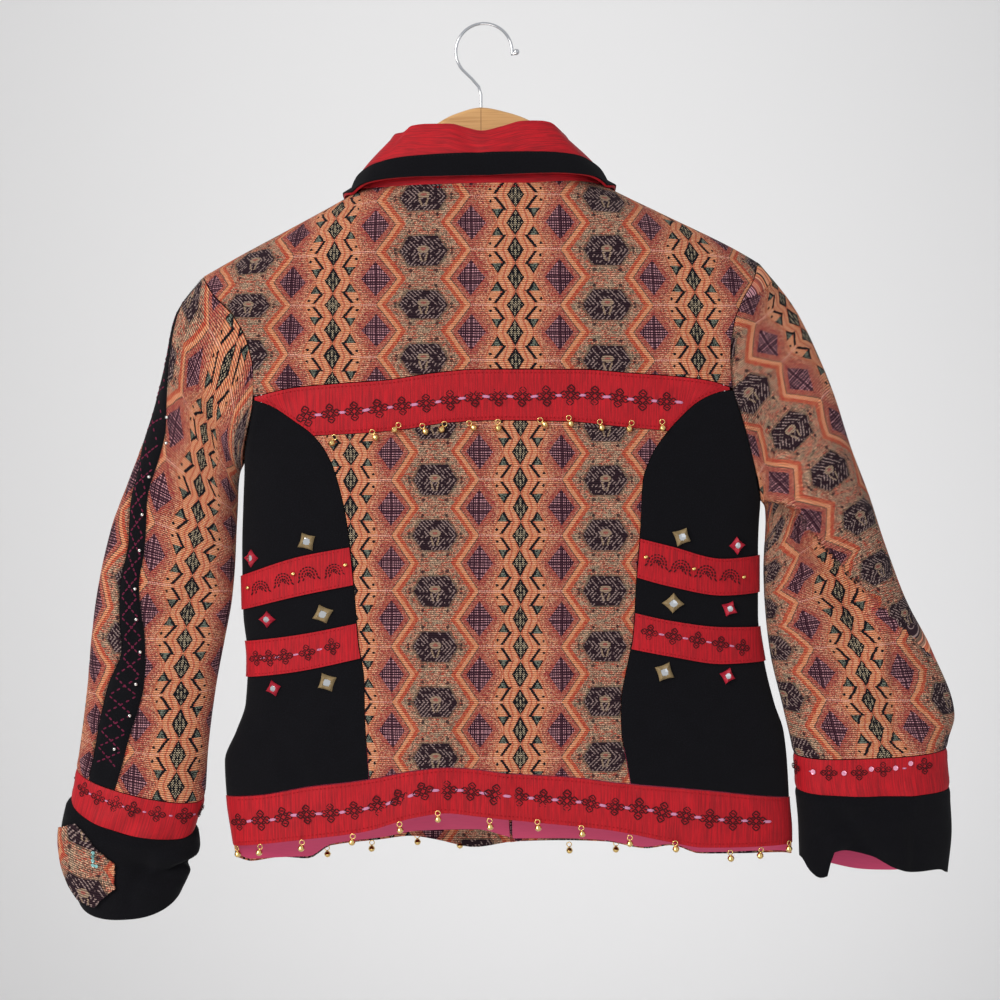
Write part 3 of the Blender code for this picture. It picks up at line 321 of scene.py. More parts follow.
PATCH_LIFT = 0.9
PATCH_GIRTH = 250.0
PATCH_SHIFT = (39.5, -11.0)
PATCH = table("across down", [
    (0.06, 0.28), (0.20, 0.10), (0.27, 0.11), (0.46, 0.34), (0.47, 0.62), (0.34, 0.86),
    (0.22, 0.84), (0.10, 0.62),
])

BODY_SWELL = 1.2
SLEEVE_SWELL = 1.6
LINING_SWELL = 1.0
SWELL = 0.3
DIP = 0.7
COLLAR_CREASE = 1.4
TAPE_FIRST = 12
MOTIF_PITCH = 20.3
UNDERLAP = 6.0
UNDERLAP_DEPTH = 2.4
UNDERLAP_RISE = 2.0
LINING_IN = {"left": 3.0, "right": 7.5}
NOTCH_X = -262.0
NOTCH_Z = -722.0
NOTCH_SLOPE = 0.25
NOTCH_HALF = 3.6
NOTCH_IN = 7.0
NOTCH_DEPTH = 2.0
RING_COLUMNS = 96
CUFF_LINING_ROWS = 14
CUFF_GIRTH = 240.0
CUFF_FOLD = 12.0
STITCH_PITCH = 3.4
STITCH_RISE = 0.15
FRAY_PITCH = 3.4
LATTICE_PITCH = 16.0
STRIP_SLOPE = 0.2
CUFF_MOTIF_SIZE = 0.86

FINE_FOLDS = table("x0 z0 x1 z1 width depth", [
    (-180, -330, -120, -300, 7, -1.2),
    (180, -330, 130, -290, 7, -1.2),
    (-30, -150, 20, -175, 9, -1.0),
    (-120, -640, -150, -670, 8, 1.4),
    (90, -590, 120, -650, 8, -1.4),
    (20, -620, 10, -680, 9, 1.5),
    (160, -600, 175, -660, 8, 1.3),
    (-250, -300, -225, -270, 6, -1.6),
    (-262, -350, -232, -330, 6, -1.8),
    (-300, -520, -262, -500, 7, -1.8),
    (-320, -570, -280, -560, 7, 1.6),
    (-330, -700, -290, -690, 6, 1.8),
    (250, -300, 290, -290, 7, -1.6),
    (262, -360, 310, -350, 7, 1.8),
    (280, -480, 340, -520, 7, -2.0),
    (320, -460, 360, -500, 7, 1.8),
    (300, -540, 350, -590, 8, -2.0),
    (370, -560, 390, -600, 6, 1.6),
    (285, -696, 332, -668, 8, -3.0),
    (332, -718, 348, -682, 7, 2.6),
    (300, -722, 322, -694, 6, -2.6),
    (362, -716, 356, -670, 5, -2.4),
    (-332, -728, -272, -700, 8, -3.0),
    (-348, -692, -300, -672, 8, 2.4),
    (-302, -744, -290, -716, 6, -2.8),
    (-262, -732, -292, -722, 5, -3.4),
    (-205, -590, -160, -640, 8, -2.4),
    (-212, -560, -180, -620, 7, 2.0),
    (140, -600, 190, -640, 9, -2.0),
    (344, -524, 346, -618, 4, -2.6),
    (-20, -420, -30, -560, 18, 1.2),
    (70, -380, 60, -520, 18, -1.2),
])

BAND_LINE = table("x z", [
    (-157.6, -338.3), (-149.2, -337), (-106.4, -332.8), (-43.4, -325.7), (-3.9, -321),
    (33.9, -321), (72.6, -319.8), (135.6, -324.4), (161.6, -325.7),
])

HEM_LINE = table("x z", [
    (-218.1, -684.4), (-198.8, -681), (-182.8, -679.3), (-166, -675.1), (-148.4, -673.4),
    (-125.7, -671.8), (-105.5, -668.8), (-85.4, -664.2), (-68.6, -658.3), (-49.2, -652.4),
    (-29.1, -652.4), (2, -655.8), (35.6, -659.2), (69.2, -661.7), (101.1, -665.9), (133, -669.2),
    (154, -672.6), (177.6, -676), (196, -678.5), (211.2, -679.7), (230.5, -681), (248.1, -683.5),
])

YOKE_BELLS = table("x z", [
    (-129, -355.9), (-96.3, -351.7), (-75.3, -345.8), (-54.3, -346.7), (-36.6, -345),
    (-14.8, -344.2), (8.7, -343.3), (44.8, -341.6), (68.4, -340), (94.4, -343.3), (120.4, -344.2),
    (146.5, -343.3),
])

HEM_BELLS = table("x z", [
    (-212.2, -708.7), (-192.9, -705.4), (-156.8, -700.3), (-113.9, -694.4), (-73.6, -683.5),
    (-41.7, -674.3), (2, -681), (42.3, -681.8), (79.3, -686.9), (119.6, -695.3), (158.2, -700.3),
    (204.9, -709.2), (230.5, -707.9), (255.7, -704.5),
])

FRONT_BELLS = table("x z", [
    (-141.7, -716.5), (-102.1, -712.1), (-62.6, -706.4), (-24.8, -709.5), (71.1, -713.9),
    (112.4, -713),
])

KHAKI = table("x z", [
    (-152.6, -442.9), (-139.1, -504.6), (-135.8, -562.6), (164.1, -439.1), (156.6, -495.4),
    (149, -553.3),
])

CRIMSON = table("x z", [
    (-202.1, -457.6), (-187.8, -509.6), (-182, -568.4), (212, -446.6), (205.3, -500.4),
    (203.6, -557.5),
])

ARCHES = table("x z", [
    (-193.5, -481.1), (-173.6, -474.6), (-152.1, -469.2), (-129.9, -466.2), (143.1, -458.4),
    (163.3, -463.4), (185.1, -468.1), (206.1, -471.4),
])

ARCH_BEADS = table("x z", [
    (-203.8, -483), (-164.1, -470.4), (-119.8, -462.6), (133, -455.9), (173.8, -466),
    (217, -473.5),
])

FLOWERS = table("x z", [
    (-197.1, -543.2), (-185.3, -542.4), (-171.9, -540.7), (-152.6, -537), (-131.1, -531.5),
    (136.4, -519.7), (156.6, -523.1), (176.7, -526.4), (196.9, -530.2), (216.2, -533.6),
])

STRIPE_BEADS = table("x z", [
    (-271.8, -336.6), (-273.5, -360.1), (-286.1, -388.7), (-292.8, -421.4), (-294.5, -450),
    (-298.7, -483.2), (-297.9, -509.6), (-295.4, -535.7), (-298.7, -564.2), (-304.2, -592),
    (-316.4, -620.5),
])

SEQUINS = table("x z", [
    (278.4, -639.8), (302.7, -639.8), (325, -637.3), (346.4, -634.4), (359.8, -632.3),
])

CHAIN_LEFT = table("x z", [
    (-203.4, -251.0), (-208.5, -265.5), (-217.8, -286.7), (-227.2, -306.2), (-235.6, -327.4),
    (-239.9, -346.1), (-242.9, -371.0), (-244.1, -393.5), (-245.3, -417.7), (-247.8, -440.7),
    (-250.1, -464.8), (-253.2, -489.2), (-256.3, -513.5), (-259.4, -543.7), (-261.1, -577.7),
    (-262.8, -609.1), (-264.5, -641.3),
])

CHAIN_RIGHT = table("x z", [
    (239.5, -238.3), (256.4, -297.7), (271.7, -357.1), (283.6, -408.0), (292.1, -450.4),
    (300.0, -488.0), (307.3, -511.0), (312.8, -531.6), (318.3, -554.7), (323.1, -576.5),
    (328.6, -599.5), (336.2, -624.3),
])

ELBOW_CLOTH = table("x z", [
    (171.6, -263.8), (198.7, -293.5), (222.5, -318.9), (260.7, -352.9), (290.4, -384.2),
    (317.5, -422.4), (341.3, -467.4), (362.5, -514.0),
])

PINCH_PLACES = {"left": (-247.8, -440.7), "right": (312.8, -531.6)}
ELBOW_MEDALLION = (222.5, -318.9)

LEFT_BAND_MOTIFS = table("x z", [
    (-344.5, -649.1), (-329.8, -656.2), (-316.4, -661.7), (-300, -664.2), (-281.1, -671.3),
    (-258.4, -674.3), (-243.3, -673.4),
])

RIGHT_BAND_MOTIFS = table("x z", [
    (264.5, -638.6), (289.7, -639.8), (314.1, -639), (336.3, -635.6), (372.4, -634.4),
])

PATCH_BAR = table("x z", [
    (-333.2, -704.5), (-331.5, -717.1),
])


LIGHTS = (
    ("key", (-1.7, -1.9, 0.7), (66, 0, -42), 1.4, 54, "FFF8F0"),
    ("fill", (1.6, -2.2, 0.2), (78, 0, 36), 1.8, 3, "F2F6FF"),
    ("wall_light", (0.0, 1.4, 1.5), (70, 0, 0), 2.6, 21, "FFFFFF"),
    ("wall_glow", (0.3, 1.4, -1.6), (116, 0, 0), 2.4, 40, "FDFDFF"),
    ("bounce", (-0.3, -1.3, -1.75), (127, 0, -8), 1.2, 12, "FFF6F0"),
)


def smooth(keys: np.ndarray, values: np.ndarray, at: Any) -> np.ndarray:
    """A curve through a table's points that doesn't overshoot them.

    Args:
        keys: Where the points lie.
        values: The points' values, one row for each key.
        at: Where the curve is read.

    Returns:
        The curve's values there.
    """
    order = np.argsort(keys)
    keys, values = keys[order], values[order]
    step = np.diff(keys)
    slope = np.diff(values, axis=0) / step.reshape((-1,) + (1,) * (values.ndim - 1))
    tangent = np.zeros_like(values)
    tangent[0], tangent[-1] = slope[0], slope[-1]
    product = slope[:-1] * slope[1:]
    total = np.where(product > 0, slope[:-1] + slope[1:], 1.0)
    tangent[1:-1] = np.where(product > 0, 2.0 * product / total, 0.0)
    at = np.asarray(at, float)
    inside = np.clip(at, keys[0], keys[-1])
    index = np.clip(np.searchsorted(keys, inside) - 1, 0, len(keys) - 2)
    shape = at.shape + (1,) * (values.ndim - 1)
    width = step[index].reshape(shape)
    t = ((inside - keys[index]) / step[index]).reshape(shape)
    curve = ((2 * t**3 - 3 * t**2 + 1) * values[index]
             + (t**3 - 2 * t**2 + t) * width * tangent[index]
             + (3 * t**2 - 2 * t**3) * values[index + 1]
             + (t**3 - t**2) * width * tangent[index + 1])
    beyond = (at - inside).reshape(shape)
    end = np.where(beyond > 0, tangent[-1], tangent[0])
    return curve + beyond * end


def places(rows: Table) -> list[tuple[float, float]]:
    """The x and z of each of a table's places."""
    return list(zip(rows["x"], rows["z"]))


def reader(rows: Table, key: str, value: str) -> Curve:
    """The curve through two columns of a table, as a function."""
    return lambda at: smooth(rows[key], rows[value], at)


def moved(curve: Curve, distance: float) -> Curve:
    """A curve moved by a distance, for the gap at a seam."""
    return lambda at: curve(at) + distance


def level_line(height: float) -> Curve:
    """A guide at one height."""
    return lambda at: np.full(np.shape(at), height)


def outer_edge(armhole: Curve, side: Curve, underarm: float) -> Curve:
    """A panel's outer edge: the armhole down to the underarm and the side below it."""
    return lambda z: np.where(z > underarm, armhole(z), side(z))


def neck_top(neck: Table) -> Curve:
    """A panel's top edge: the neck's curve between the shoulders' lines."""
    return lambda x: np.minimum(
        shoulder_z(x), np.where(np.abs(x - NECK_X) < NECK_HALF, smooth(neck["x"], neck["z"], x), 0))


def length_along(points: np.ndarray) -> np.ndarray:
    """The length from a line's start to each of its points."""
    return np.concatenate([[0], np.cumsum(np.linalg.norm(np.diff(points, axis=0), axis=1))])


def length_flat(x: np.ndarray, z: np.ndarray) -> np.ndarray:
    """The same for a line in the plane of the back."""
    return np.concatenate([[0], np.cumsum(np.hypot(np.diff(x), np.diff(z)))])


def soft_noise(x: np.ndarray, z: np.ndarray, size: float, seed: int) -> np.ndarray:
    """Smooth random swells of about one size, between -1 and 1.

    Args:
        x: First coordinates, in millimetres.
        z: Second coordinates.
        size: The swells' spacing.
        seed: Which swells.

    Returns:
        The swells' height at each point.
    """
    lattice = np.random.default_rng(seed).uniform(-1, 1, (64, 64))
    px, pz = x / size + 20.0, z / size + 40.0
    ix, iz = np.floor(px).astype(int), np.floor(pz).astype(int)
    fx, fz = px - ix, pz - iz
    fx, fz = fx * fx * (3 - 2 * fx), fz * fz * (3 - 2 * fz)
    at = lambda dx, dz: lattice[(ix + dx) % 64, (iz + dz) % 64]
    low = at(0, 0) * (1 - fx) + at(1, 0) * fx
    high = at(0, 1) * (1 - fx) + at(1, 1) * fx
    return low * (1 - fz) + high * fz


def seam_roll(distance: np.ndarray) -> np.ndarray:
    """How a cloth dips at a seam and swells beside it, by the distance from the seam."""
    return SWELL * np.exp(-(((distance - 5.5) / 3.0) ** 2)) - DIP * np.exp(-((distance / 2.0) ** 2))


left_side = reader(SIDES, "z", "left")
right_side = reader(SIDES, "z", "right")
back_depth = reader(DEPTHS, "z", "back")
front_depth = reader(DEPTHS, "z", "front")
shoulder_z = reader(SHOULDERS, "x", "z")
opening_x = reader(FRONT_OPENING, "z", "x")
armhole_left = reader(ARMHOLE_LEFT, "z", "x")
armhole_right = reader(ARMHOLE_RIGHT, "z", "x")
princess_left = reader(PRINCESS_LEFT, "z", "x")
princess_right = reader(PRINCESS_RIGHT, "z", "x")
hem_top = reader(HEM_TOP, "x", "z")
hem_edge = reader(HEM_EDGE, "x", "z")
yoke_edge = reader(YOKE_EDGE, "x", "z")


def band_edge(x: np.ndarray) -> np.ndarray:
    """The band's lower edge, whose ends follow the side panels' curved tops."""
    middle = smooth(BAND_EDGE["x"], BAND_EDGE["z"], x)
    left_z = np.linspace(-322.5, BAND_EDGE["z"][0], 200)
    right_z = np.linspace(BAND_EDGE["z"][-1], -314.5, 200)
    middle = np.where(x < BAND_CORNERS[0], np.interp(x, princess_left(left_z), left_z), middle)
    return np.where(x > BAND_CORNERS[1], np.interp(x, princess_right(right_z), right_z), middle)


def fold_relief(x: np.ndarray, z: np.ndarray) -> np.ndarray:
    """How far the folds lift a point of the back towards the viewer.

    Args:
        x: The points' x.
        z: The points' z.

    Returns:
        The lift at each point.
    """
    lift = np.zeros(np.broadcast(x, z).shape)
    for rows in (FOLDS, FINE_FOLDS):
        for row in zip(*(rows[name] for name in ("x0", "z0", "x1", "z1", "width", "depth"))):
            x0, z0, x1, z1, width, depth = row
            run = np.array([x1 - x0, z1 - z0])
            length = math.hypot(*run)
            along = ((x - x0) * run[0] + (z - z0) * run[1]) / length
            across = ((x - x0) * run[1] - (z - z0) * run[0]) / length
            past = np.maximum(0, np.maximum(-along, along - length))
            lift = lift + depth * np.exp(-((across / width) ** 2) - (past / (1.5 * width)) ** 2)
    return lift


def fullness(x: np.ndarray, z: np.ndarray) -> np.ndarray:
    """How much of its full depth the body has at a place: none on its outline."""
    low, high = left_side(z), right_side(z)
    across = (x - (low + high) / 2) / ((high - low) / 2)
    side = np.clip(1 - np.abs(across) ** SIDE_POWER, 0, 1)
    cap = np.clip(1 - (shoulder_z(x) - z) / SHOULDER_ROUND, 0, 1)
    return side * (1 - cap**2)


def torso_y(x: np.ndarray, z: np.ndarray, back: bool) -> np.ndarray:
    """The body's surface: behind the viewer's side for the back, beyond it for the front."""
    full = np.sqrt(np.maximum(fullness(x, z), 0))
    if back:
        soft = np.clip(full * 1.6 - 0.6, 0, 1)
        swell = BODY_SWELL * soft_noise(x * 0.8 + z * 0.2, z, 34.0, 11)
        return -back_depth(z) * full - (fold_relief(x, z) + swell) * soft
    return front_depth(z) * full


def rimmed_y(x: np.ndarray, z: np.ndarray, back: bool) -> np.ndarray:
    """The body's surface, kept a little off the plane in which the back meets the fronts."""
    y = torso_y(x, z, back)
    return np.minimum(y, -RIM_GAP) if back else np.maximum(y, RIM_GAP)


def body_level(x: np.ndarray, y: np.ndarray, z: np.ndarray, back: bool) -> np.ndarray:
    """Less than zero inside the body, more outside it, and zero on its surface."""
    low, high = left_side(z), right_side(z)
    across = (x - (low + high) / 2) / ((high - low) / 2)
    side = 1 - np.abs(across) ** SIDE_POWER
    cap = np.maximum(1 - (shoulder_z(x) - z) / SHOULDER_ROUND, 0)
    depth = back_depth(z) if back else front_depth(z)
    return (y / depth) ** 2 - side * (1 - cap**2)


def body_slope(x: np.ndarray, y: np.ndarray, z: np.ndarray, back: bool) -> np.ndarray:
    """How fast body_level grows along each axis."""
    step = 0.2
    return np.stack([
        (body_level(x + step, y, z, back) - body_level(x - step, y, z, back)),
        (body_level(x, y + step, z, back) - body_level(x, y - step, z, back)),
        (body_level(x, y, z + step, back) - body_level(x, y, z - step, back)),
    ], axis=-1) / (2 * step)


def torso_normal(x: np.ndarray, y: np.ndarray, z: np.ndarray, back: bool) -> np.ndarray:
    """The direction out of the body at a point of its surface."""
    slope = body_slope(x, y, z, back)
    return slope / np.maximum(np.linalg.norm(slope, axis=-1, keepdims=True), 1e-12)


def push_clear(points: np.ndarray, gap: float) -> np.ndarray:
    """Moves points out until they are a gap clear of the body.

    Args:
        points: The points.
        gap: The least distance from the body's surface.

    Returns:
        The moved points.
    """
    points = points.copy()
    for _ in range(12):
        for back in (True, False):
            x, y, z = points[..., 0], points[..., 1], points[..., 2]
            slope = body_slope(x, y, z, back)
            size = np.maximum(np.linalg.norm(slope, axis=-1), 1e-6)
            reach = body_level(x, y, z, back) / size
            short = np.clip(gap - reach, 0, 4) * ((y < 0) == back)
            points = points + slope / size[..., None] * short[..., None]
    return points


def even_steps(points: np.ndarray, count: int) -> np.ndarray:
    """The same line with its points at even steps."""
    lengths = length_along(points)
    marks = np.linspace(0, lengths[-1], count + 1)
    return np.stack([np.interp(marks, lengths, points[:, axis]) for axis in range(3)], axis=1)


def grid_normals(points: np.ndarray) -> np.ndarray:
    """Normals of a grid of points, by its rows and columns."""
    normals = np.cross(np.gradient(points, axis=1), np.gradient(points, axis=0))
    return normals / np.maximum(np.linalg.norm(normals, axis=-1, keepdims=True), 1e-9)


def patch(left: Curve, right: Curve, guides: Sequence[Curve], counts: Sequence[int],
          columns: int | np.ndarray, back: bool, ease: tuple[float, float] = (1.0, 1.0),
          top_ease: float = 1.0) -> tuple[np.ndarray, np.ndarray, np.ndarray]:
    """A fine grid of body points between two side curves and a stack of guide curves.

    Args:
        left: x of the left side, by z.
        right: x of the right side, by z.
        guides: z of each guide from the top, by x.
        counts: Rows between one guide and the next.
        columns: How many columns, or their shares across.
        back: Whether the grid lies on the back.
        ease: How far the columns draw together at each side.
        top_ease: How far the rows draw together under the first guide.

    Returns:
        The points, their normals, and each point's distance from the grid's edge.
    """
    across = np.linspace(0, 1, columns + 1) if isinstance(columns, int) else columns
    low_power, high_power = ease
    across = across**low_power if low_power > 1 else across
    across = 1 - (1 - across) ** high_power if high_power > 1 else across
    parts: list[float] = []
    for number, count in enumerate(counts):
        run = np.arange(count) / count
        run = run**top_ease if number == 0 else run
        parts.extend(number + share for share in run)
    parts.append(len(counts))
    rows = np.array(parts)
    z = np.full((len(rows), len(across)), -400.0)
    x = np.zeros_like(z)
    index = np.minimum(rows.astype(int), len(counts) - 1)
    share = (rows - index)[:, None]
    for _ in range(60):
        levels = np.stack([guide(x) for guide in guides])
        at = index[None, :, None].repeat(x.shape[1], 2)
        upper = np.take_along_axis(levels, at, 0)[0]
        lower = np.take_along_axis(levels, at + 1, 0)[0]
        z = 0.5 * z + 0.5 * (upper + (lower - upper) * share)
        x = left(z) + (right(z) - left(z)) * across
    y = rimmed_y(x, z, back)
    points = np.stack([x, y, z], axis=-1)
    edge = np.minimum.reduce([x - left(z), right(z) - x, guides[0](x) - z, z - guides[-1](x)])
    return points, torso_normal(x, y, z, back), np.abs(edge)


def body_uv(points: np.ndarray, centre: float, datum: float) -> np.ndarray:
    """Cloth coordinates in millimetres: along each row from a centre line, and down.

    Args:
        points: The grid.
        centre: x of the column where u is zero.
        datum: The height at which v equals z.

    Returns:
        One u and v for each point.
    """
    across = np.linalg.norm(np.diff(points, axis=1), axis=2)
    u = np.concatenate([np.zeros((len(points), 1)), np.cumsum(across, axis=1)], axis=1)
    middle = np.abs(points[..., 0] - centre).argmin(axis=1)
    rows = np.arange(len(points))
    u = u - (u[rows, middle] + centre - points[rows, middle, 0])[:, None]
    down = np.linalg.norm(np.diff(points, axis=0), axis=2)
    v = -np.concatenate([np.zeros((1, points.shape[1])), np.cumsum(down, axis=0)], axis=0)
    near = np.abs(points[..., 2] - datum).argmin(axis=0)
    columns = np.arange(points.shape[1])
    shift = points[near, columns, 2] - v[near, columns]
    return np.stack([u, v + shift[None, :]], axis=-1)


class Weave(Enum):
    """Which way a cloth's ribs and slubs run in its u and v."""

    ALONG_U = "along_u"
    ALONG_V = "along_v"


def linear(colour: str) -> tuple[float, float, float, float]:
    """A linear colour from an sRGB hex."""
    channels = [int(colour[start:start + 2], 16) / 255 for start in (0, 2, 4)]
    return (*[c / 12.92 if c <= 0.04045 else ((c + 0.055) / 1.055) ** 2.4 for c in channels], 1.0)


def add_node(tree: bpy.types.NodeTree, kind: str, settings: dict[str, Any] | None = None,
             links: dict[Any, Any] | None = None) -> bpy.types.Node:
    """Adds a node.

    Args:
        tree: Where it goes.
        kind: Its type name.
        settings: Its properties.
        links: What each input takes, a value or another node's output.

    Returns:
        The node.
    """
    node = tree.nodes.new(kind)
    for name, value in (settings or {}).items():
        setattr(node, name, value)
    for name, value in (links or {}).items():
        if isinstance(value, Field):
            value = value.socket
        if isinstance(value, bpy.types.NodeSocket):
            tree.links.new(value, node.inputs[name])
        elif value is not None:
            node.inputs[name].default_value = value
    return node


@dataclass
class Field:
    """A number that varies over a surface, as a chain of math nodes."""

    tree: bpy.types.NodeTree
    socket: bpy.types.NodeSocket

    def math(self, operation: str, *others: Any) -> "Field":
        """The result of one math node on this number and others."""
        links = {0: self}
        links.update({number + 1: other for number, other in enumerate(others)})
        node = add_node(self.tree, "ShaderNodeMath", {"operation": operation}, links)
        return Field(self.tree, node.outputs[0])

    def __add__(self, other: Any) -> "Field":
        """The sum."""
        return self.math("ADD", other)

    def __sub__(self, other: Any) -> "Field":
        """The difference."""
        return self.math("SUBTRACT", other)

    def __mul__(self, other: Any) -> "Field":
        """The product."""
        return self.math("MULTIPLY", other)

    def __truediv__(self, other: Any) -> "Field":
        """The quotient."""
        return self.math("DIVIDE", other)

    def __lt__(self, other: Any) -> "Field":
        """1 where this is less, 0 elsewhere."""
        return self.math("LESS_THAN", other)

    def __gt__(self, other: Any) -> "Field":
        """1 where this is greater, 0 elsewhere."""
        return self.math("GREATER_THAN", other)

    def __abs__(self) -> "Field":
        """The number without its sign."""
        return self.math("ABSOLUTE")

    def most(self, other: Any) -> "Field":
        """The larger of two numbers."""
        return self.math("MAXIMUM", other)

    def fold(self, half: float) -> "Field":
        """The distance from the nearest multiple of twice a length."""
        return self.math("PINGPONG", half)

    def snap(self, step: float) -> "Field":
        """The number's place in steps, as woven threads give it."""
        return self.math("SNAP", step)

    def ramp(self, low: float, high: float) -> "Field":
        """Rises softly from 0 at one value to 1 at another."""
        node = add_node(self.tree, "ShaderNodeMapRange", {"interpolation_type": "SMOOTHSTEP"},
                        {0: self, 1: low, 2: high, 3: 0.0, 4: 1.0})
        return Field(self.tree, node.outputs[0])


@dataclass
class Painter:
    """A material in the making: its nodes, its cloth coordinates and its colour so far."""

    name: str
    material: bpy.types.Material = field(init=False)

    def __post_init__(self) -> None:
        """Starts an empty Principled material."""
        self.material = bpy.data.materials.new(self.name)
        self.material.use_nodes = True
        self.tree = self.material.node_tree
        self.shader = self.tree.nodes["Principled BSDF"]

    def uv(self) -> tuple[Field, Field]:
        """The cloth's u and v, in millimetres."""
        uv = add_node(self.tree, "ShaderNodeUVMap", {"uv_map": "cloth"})
        parts = add_node(self.tree, "ShaderNodeSeparateXYZ", {}, {0: uv.outputs[0]})
        return Field(self.tree, parts.outputs[0]), Field(self.tree, parts.outputs[1])

    def noise(self, u: Field, v: Field, u_size: float, v_size: float, detail: float = 2.0,
              shift: float = 0.0) -> Field:
        """Noise between 0 and 1.

        Args:
            u: The cloth's u.
            v: The cloth's v.
            u_size: How long its swells are along u.
            v_size: How long along v.
            detail: How many finer layers it has.
            shift: Which noise.

        Returns:
            The noise.
        """
        place = add_node(self.tree, "ShaderNodeCombineXYZ", {},
                         {0: u / u_size, 1: v / v_size, 2: shift})
        node = add_node(self.tree, "ShaderNodeTexNoise", {},
                        {"Vector": place.outputs[0], "Scale": 1.0, "Detail": detail})
        return Field(self.tree, node.outputs[0])

    def cells(self, u: Field, v: Field, shift: float = 0.0) -> Field:
        """Random numbers, one for each thread.

        Args:
            u: The cloth's u in steps.
            v: The cloth's v in steps.
            shift: Which draws.

        Returns:
            Numbers between 0 and 1.
        """
        place = add_node(self.tree, "ShaderNodeCombineXYZ", {}, {0: u, 1: v, 2: shift})
        node = add_node(self.tree, "ShaderNodeTexWhiteNoise", {"noise_dimensions": "3D"},
                        {"Vector": place.outputs[0]})
        return Field(self.tree, node.outputs[0])

    def mix(self, share: Any, first: Any, second: Any, blend: str = "MIX") -> Any:
        """One colour over another.

        Args:
            share: How much of the second shows.
            first: The colour below, an sRGB hex or a node's output.
            second: The colour above.
            blend: How the second is laid on.

        Returns:
            The mixed colour's socket.
        """
        first = linear(first) if isinstance(first, str) else first
        second = linear(second) if isinstance(second, str) else second
        node = add_node(self.tree, "ShaderNodeMix", {"data_type": "RGBA", "blend_type": blend},
                        {0: share, 6: first, 7: second})
        return node.outputs[2]

    def shade(self, colour: Any, share: Field, low: float, high: float) -> Any:
        """A colour made darker or lighter.

        Args:
            colour: The colour.
            share: Where between the two factors it lies.
            low: The factor at 0.
            high: The factor at 1.

        Returns:
            The shaded colour's socket.
        """
        factor = share * (high - low) + low
        grey = add_node(self.tree, "ShaderNodeCombineXYZ", {}, {0: factor, 1: factor, 2: factor})
        return self.mix(1.0, colour, grey.outputs[0], "MULTIPLY")

    def bump(self, height: Field, depth: float, strength: float = 1.0) -> None:
        """Adds relief.

        Args:
            height: Its height, between 0 and 1.
            depth: Its depth, in millimetres.
            strength: How much of it shows.
        """
        node = add_node(self.tree, "ShaderNodeBump", {},
                        {"Height": height, "Distance": depth * MM, "Strength": strength})
        self.tree.links.new(node.outputs[0], self.shader.inputs["Normal"])

    def finish(self, colour: Any, **inputs: float) -> bpy.types.Material:
        """Links the colour and sets the constant inputs.

        Args:
            colour: The base colour: an sRGB hex, a linear colour or a node's output.
            inputs: The shader's other inputs, by name.

        Returns:
            The material.
        """
        if isinstance(colour, str):
            colour = linear(colour)
        if isinstance(colour, bpy.types.NodeSocket):
            self.tree.links.new(colour, self.shader.inputs["Base Color"])
        else:
            self.shader.inputs["Base Color"].default_value = colour
        for name, value in inputs.items():
            label = name.replace("_", " ").title().replace("Ior", "IOR")
            self.shader.inputs[label].default_value = value
        return self.material


@dataclass
class Threads:
    """The jacquard's stepped threads: their places in one repeat and their random draws."""

    paint: Painter
    repeat: float
    drop: float
    thread: tuple[float, float]
    sway: float = 3.2
    zigzag: tuple[float, float] = (38.0, 17.0)

    def __post_init__(self) -> None:
        """Sways, steps and folds the cloth's coordinates."""
        paint = self.paint
        self.u, self.v = paint.uv()
        wander = (paint.noise(self.u, self.v, 38, 38, 1.0) - 0.5) * self.sway
        wave = (paint.noise(self.u, self.v, 46, 46, 1.0, 7.0) - 0.5) * self.sway
        self.us = (self.u + wander).snap(self.thread[0])
        self.vs = (self.v + wave).snap(self.thread[1])
        self.half, self.level = self.repeat / 2, self.drop / 2
        self.x, self.w = self.us.fold(self.half), self.vs.fold(self.level)
        self.signed = self.vs.math("WRAP", self.level, -self.level)
        self.link = self.vs.fold(self.level / 2)
        self.grain = paint.cells(self.us, self.vs)
        self.streak = paint.noise(self.u, self.v, 5.0, 1.1, 2.0, 3.0)
        inner, swing = self.zigzag
        self.away = self.x - (self.w * (swing / self.level) + inner)


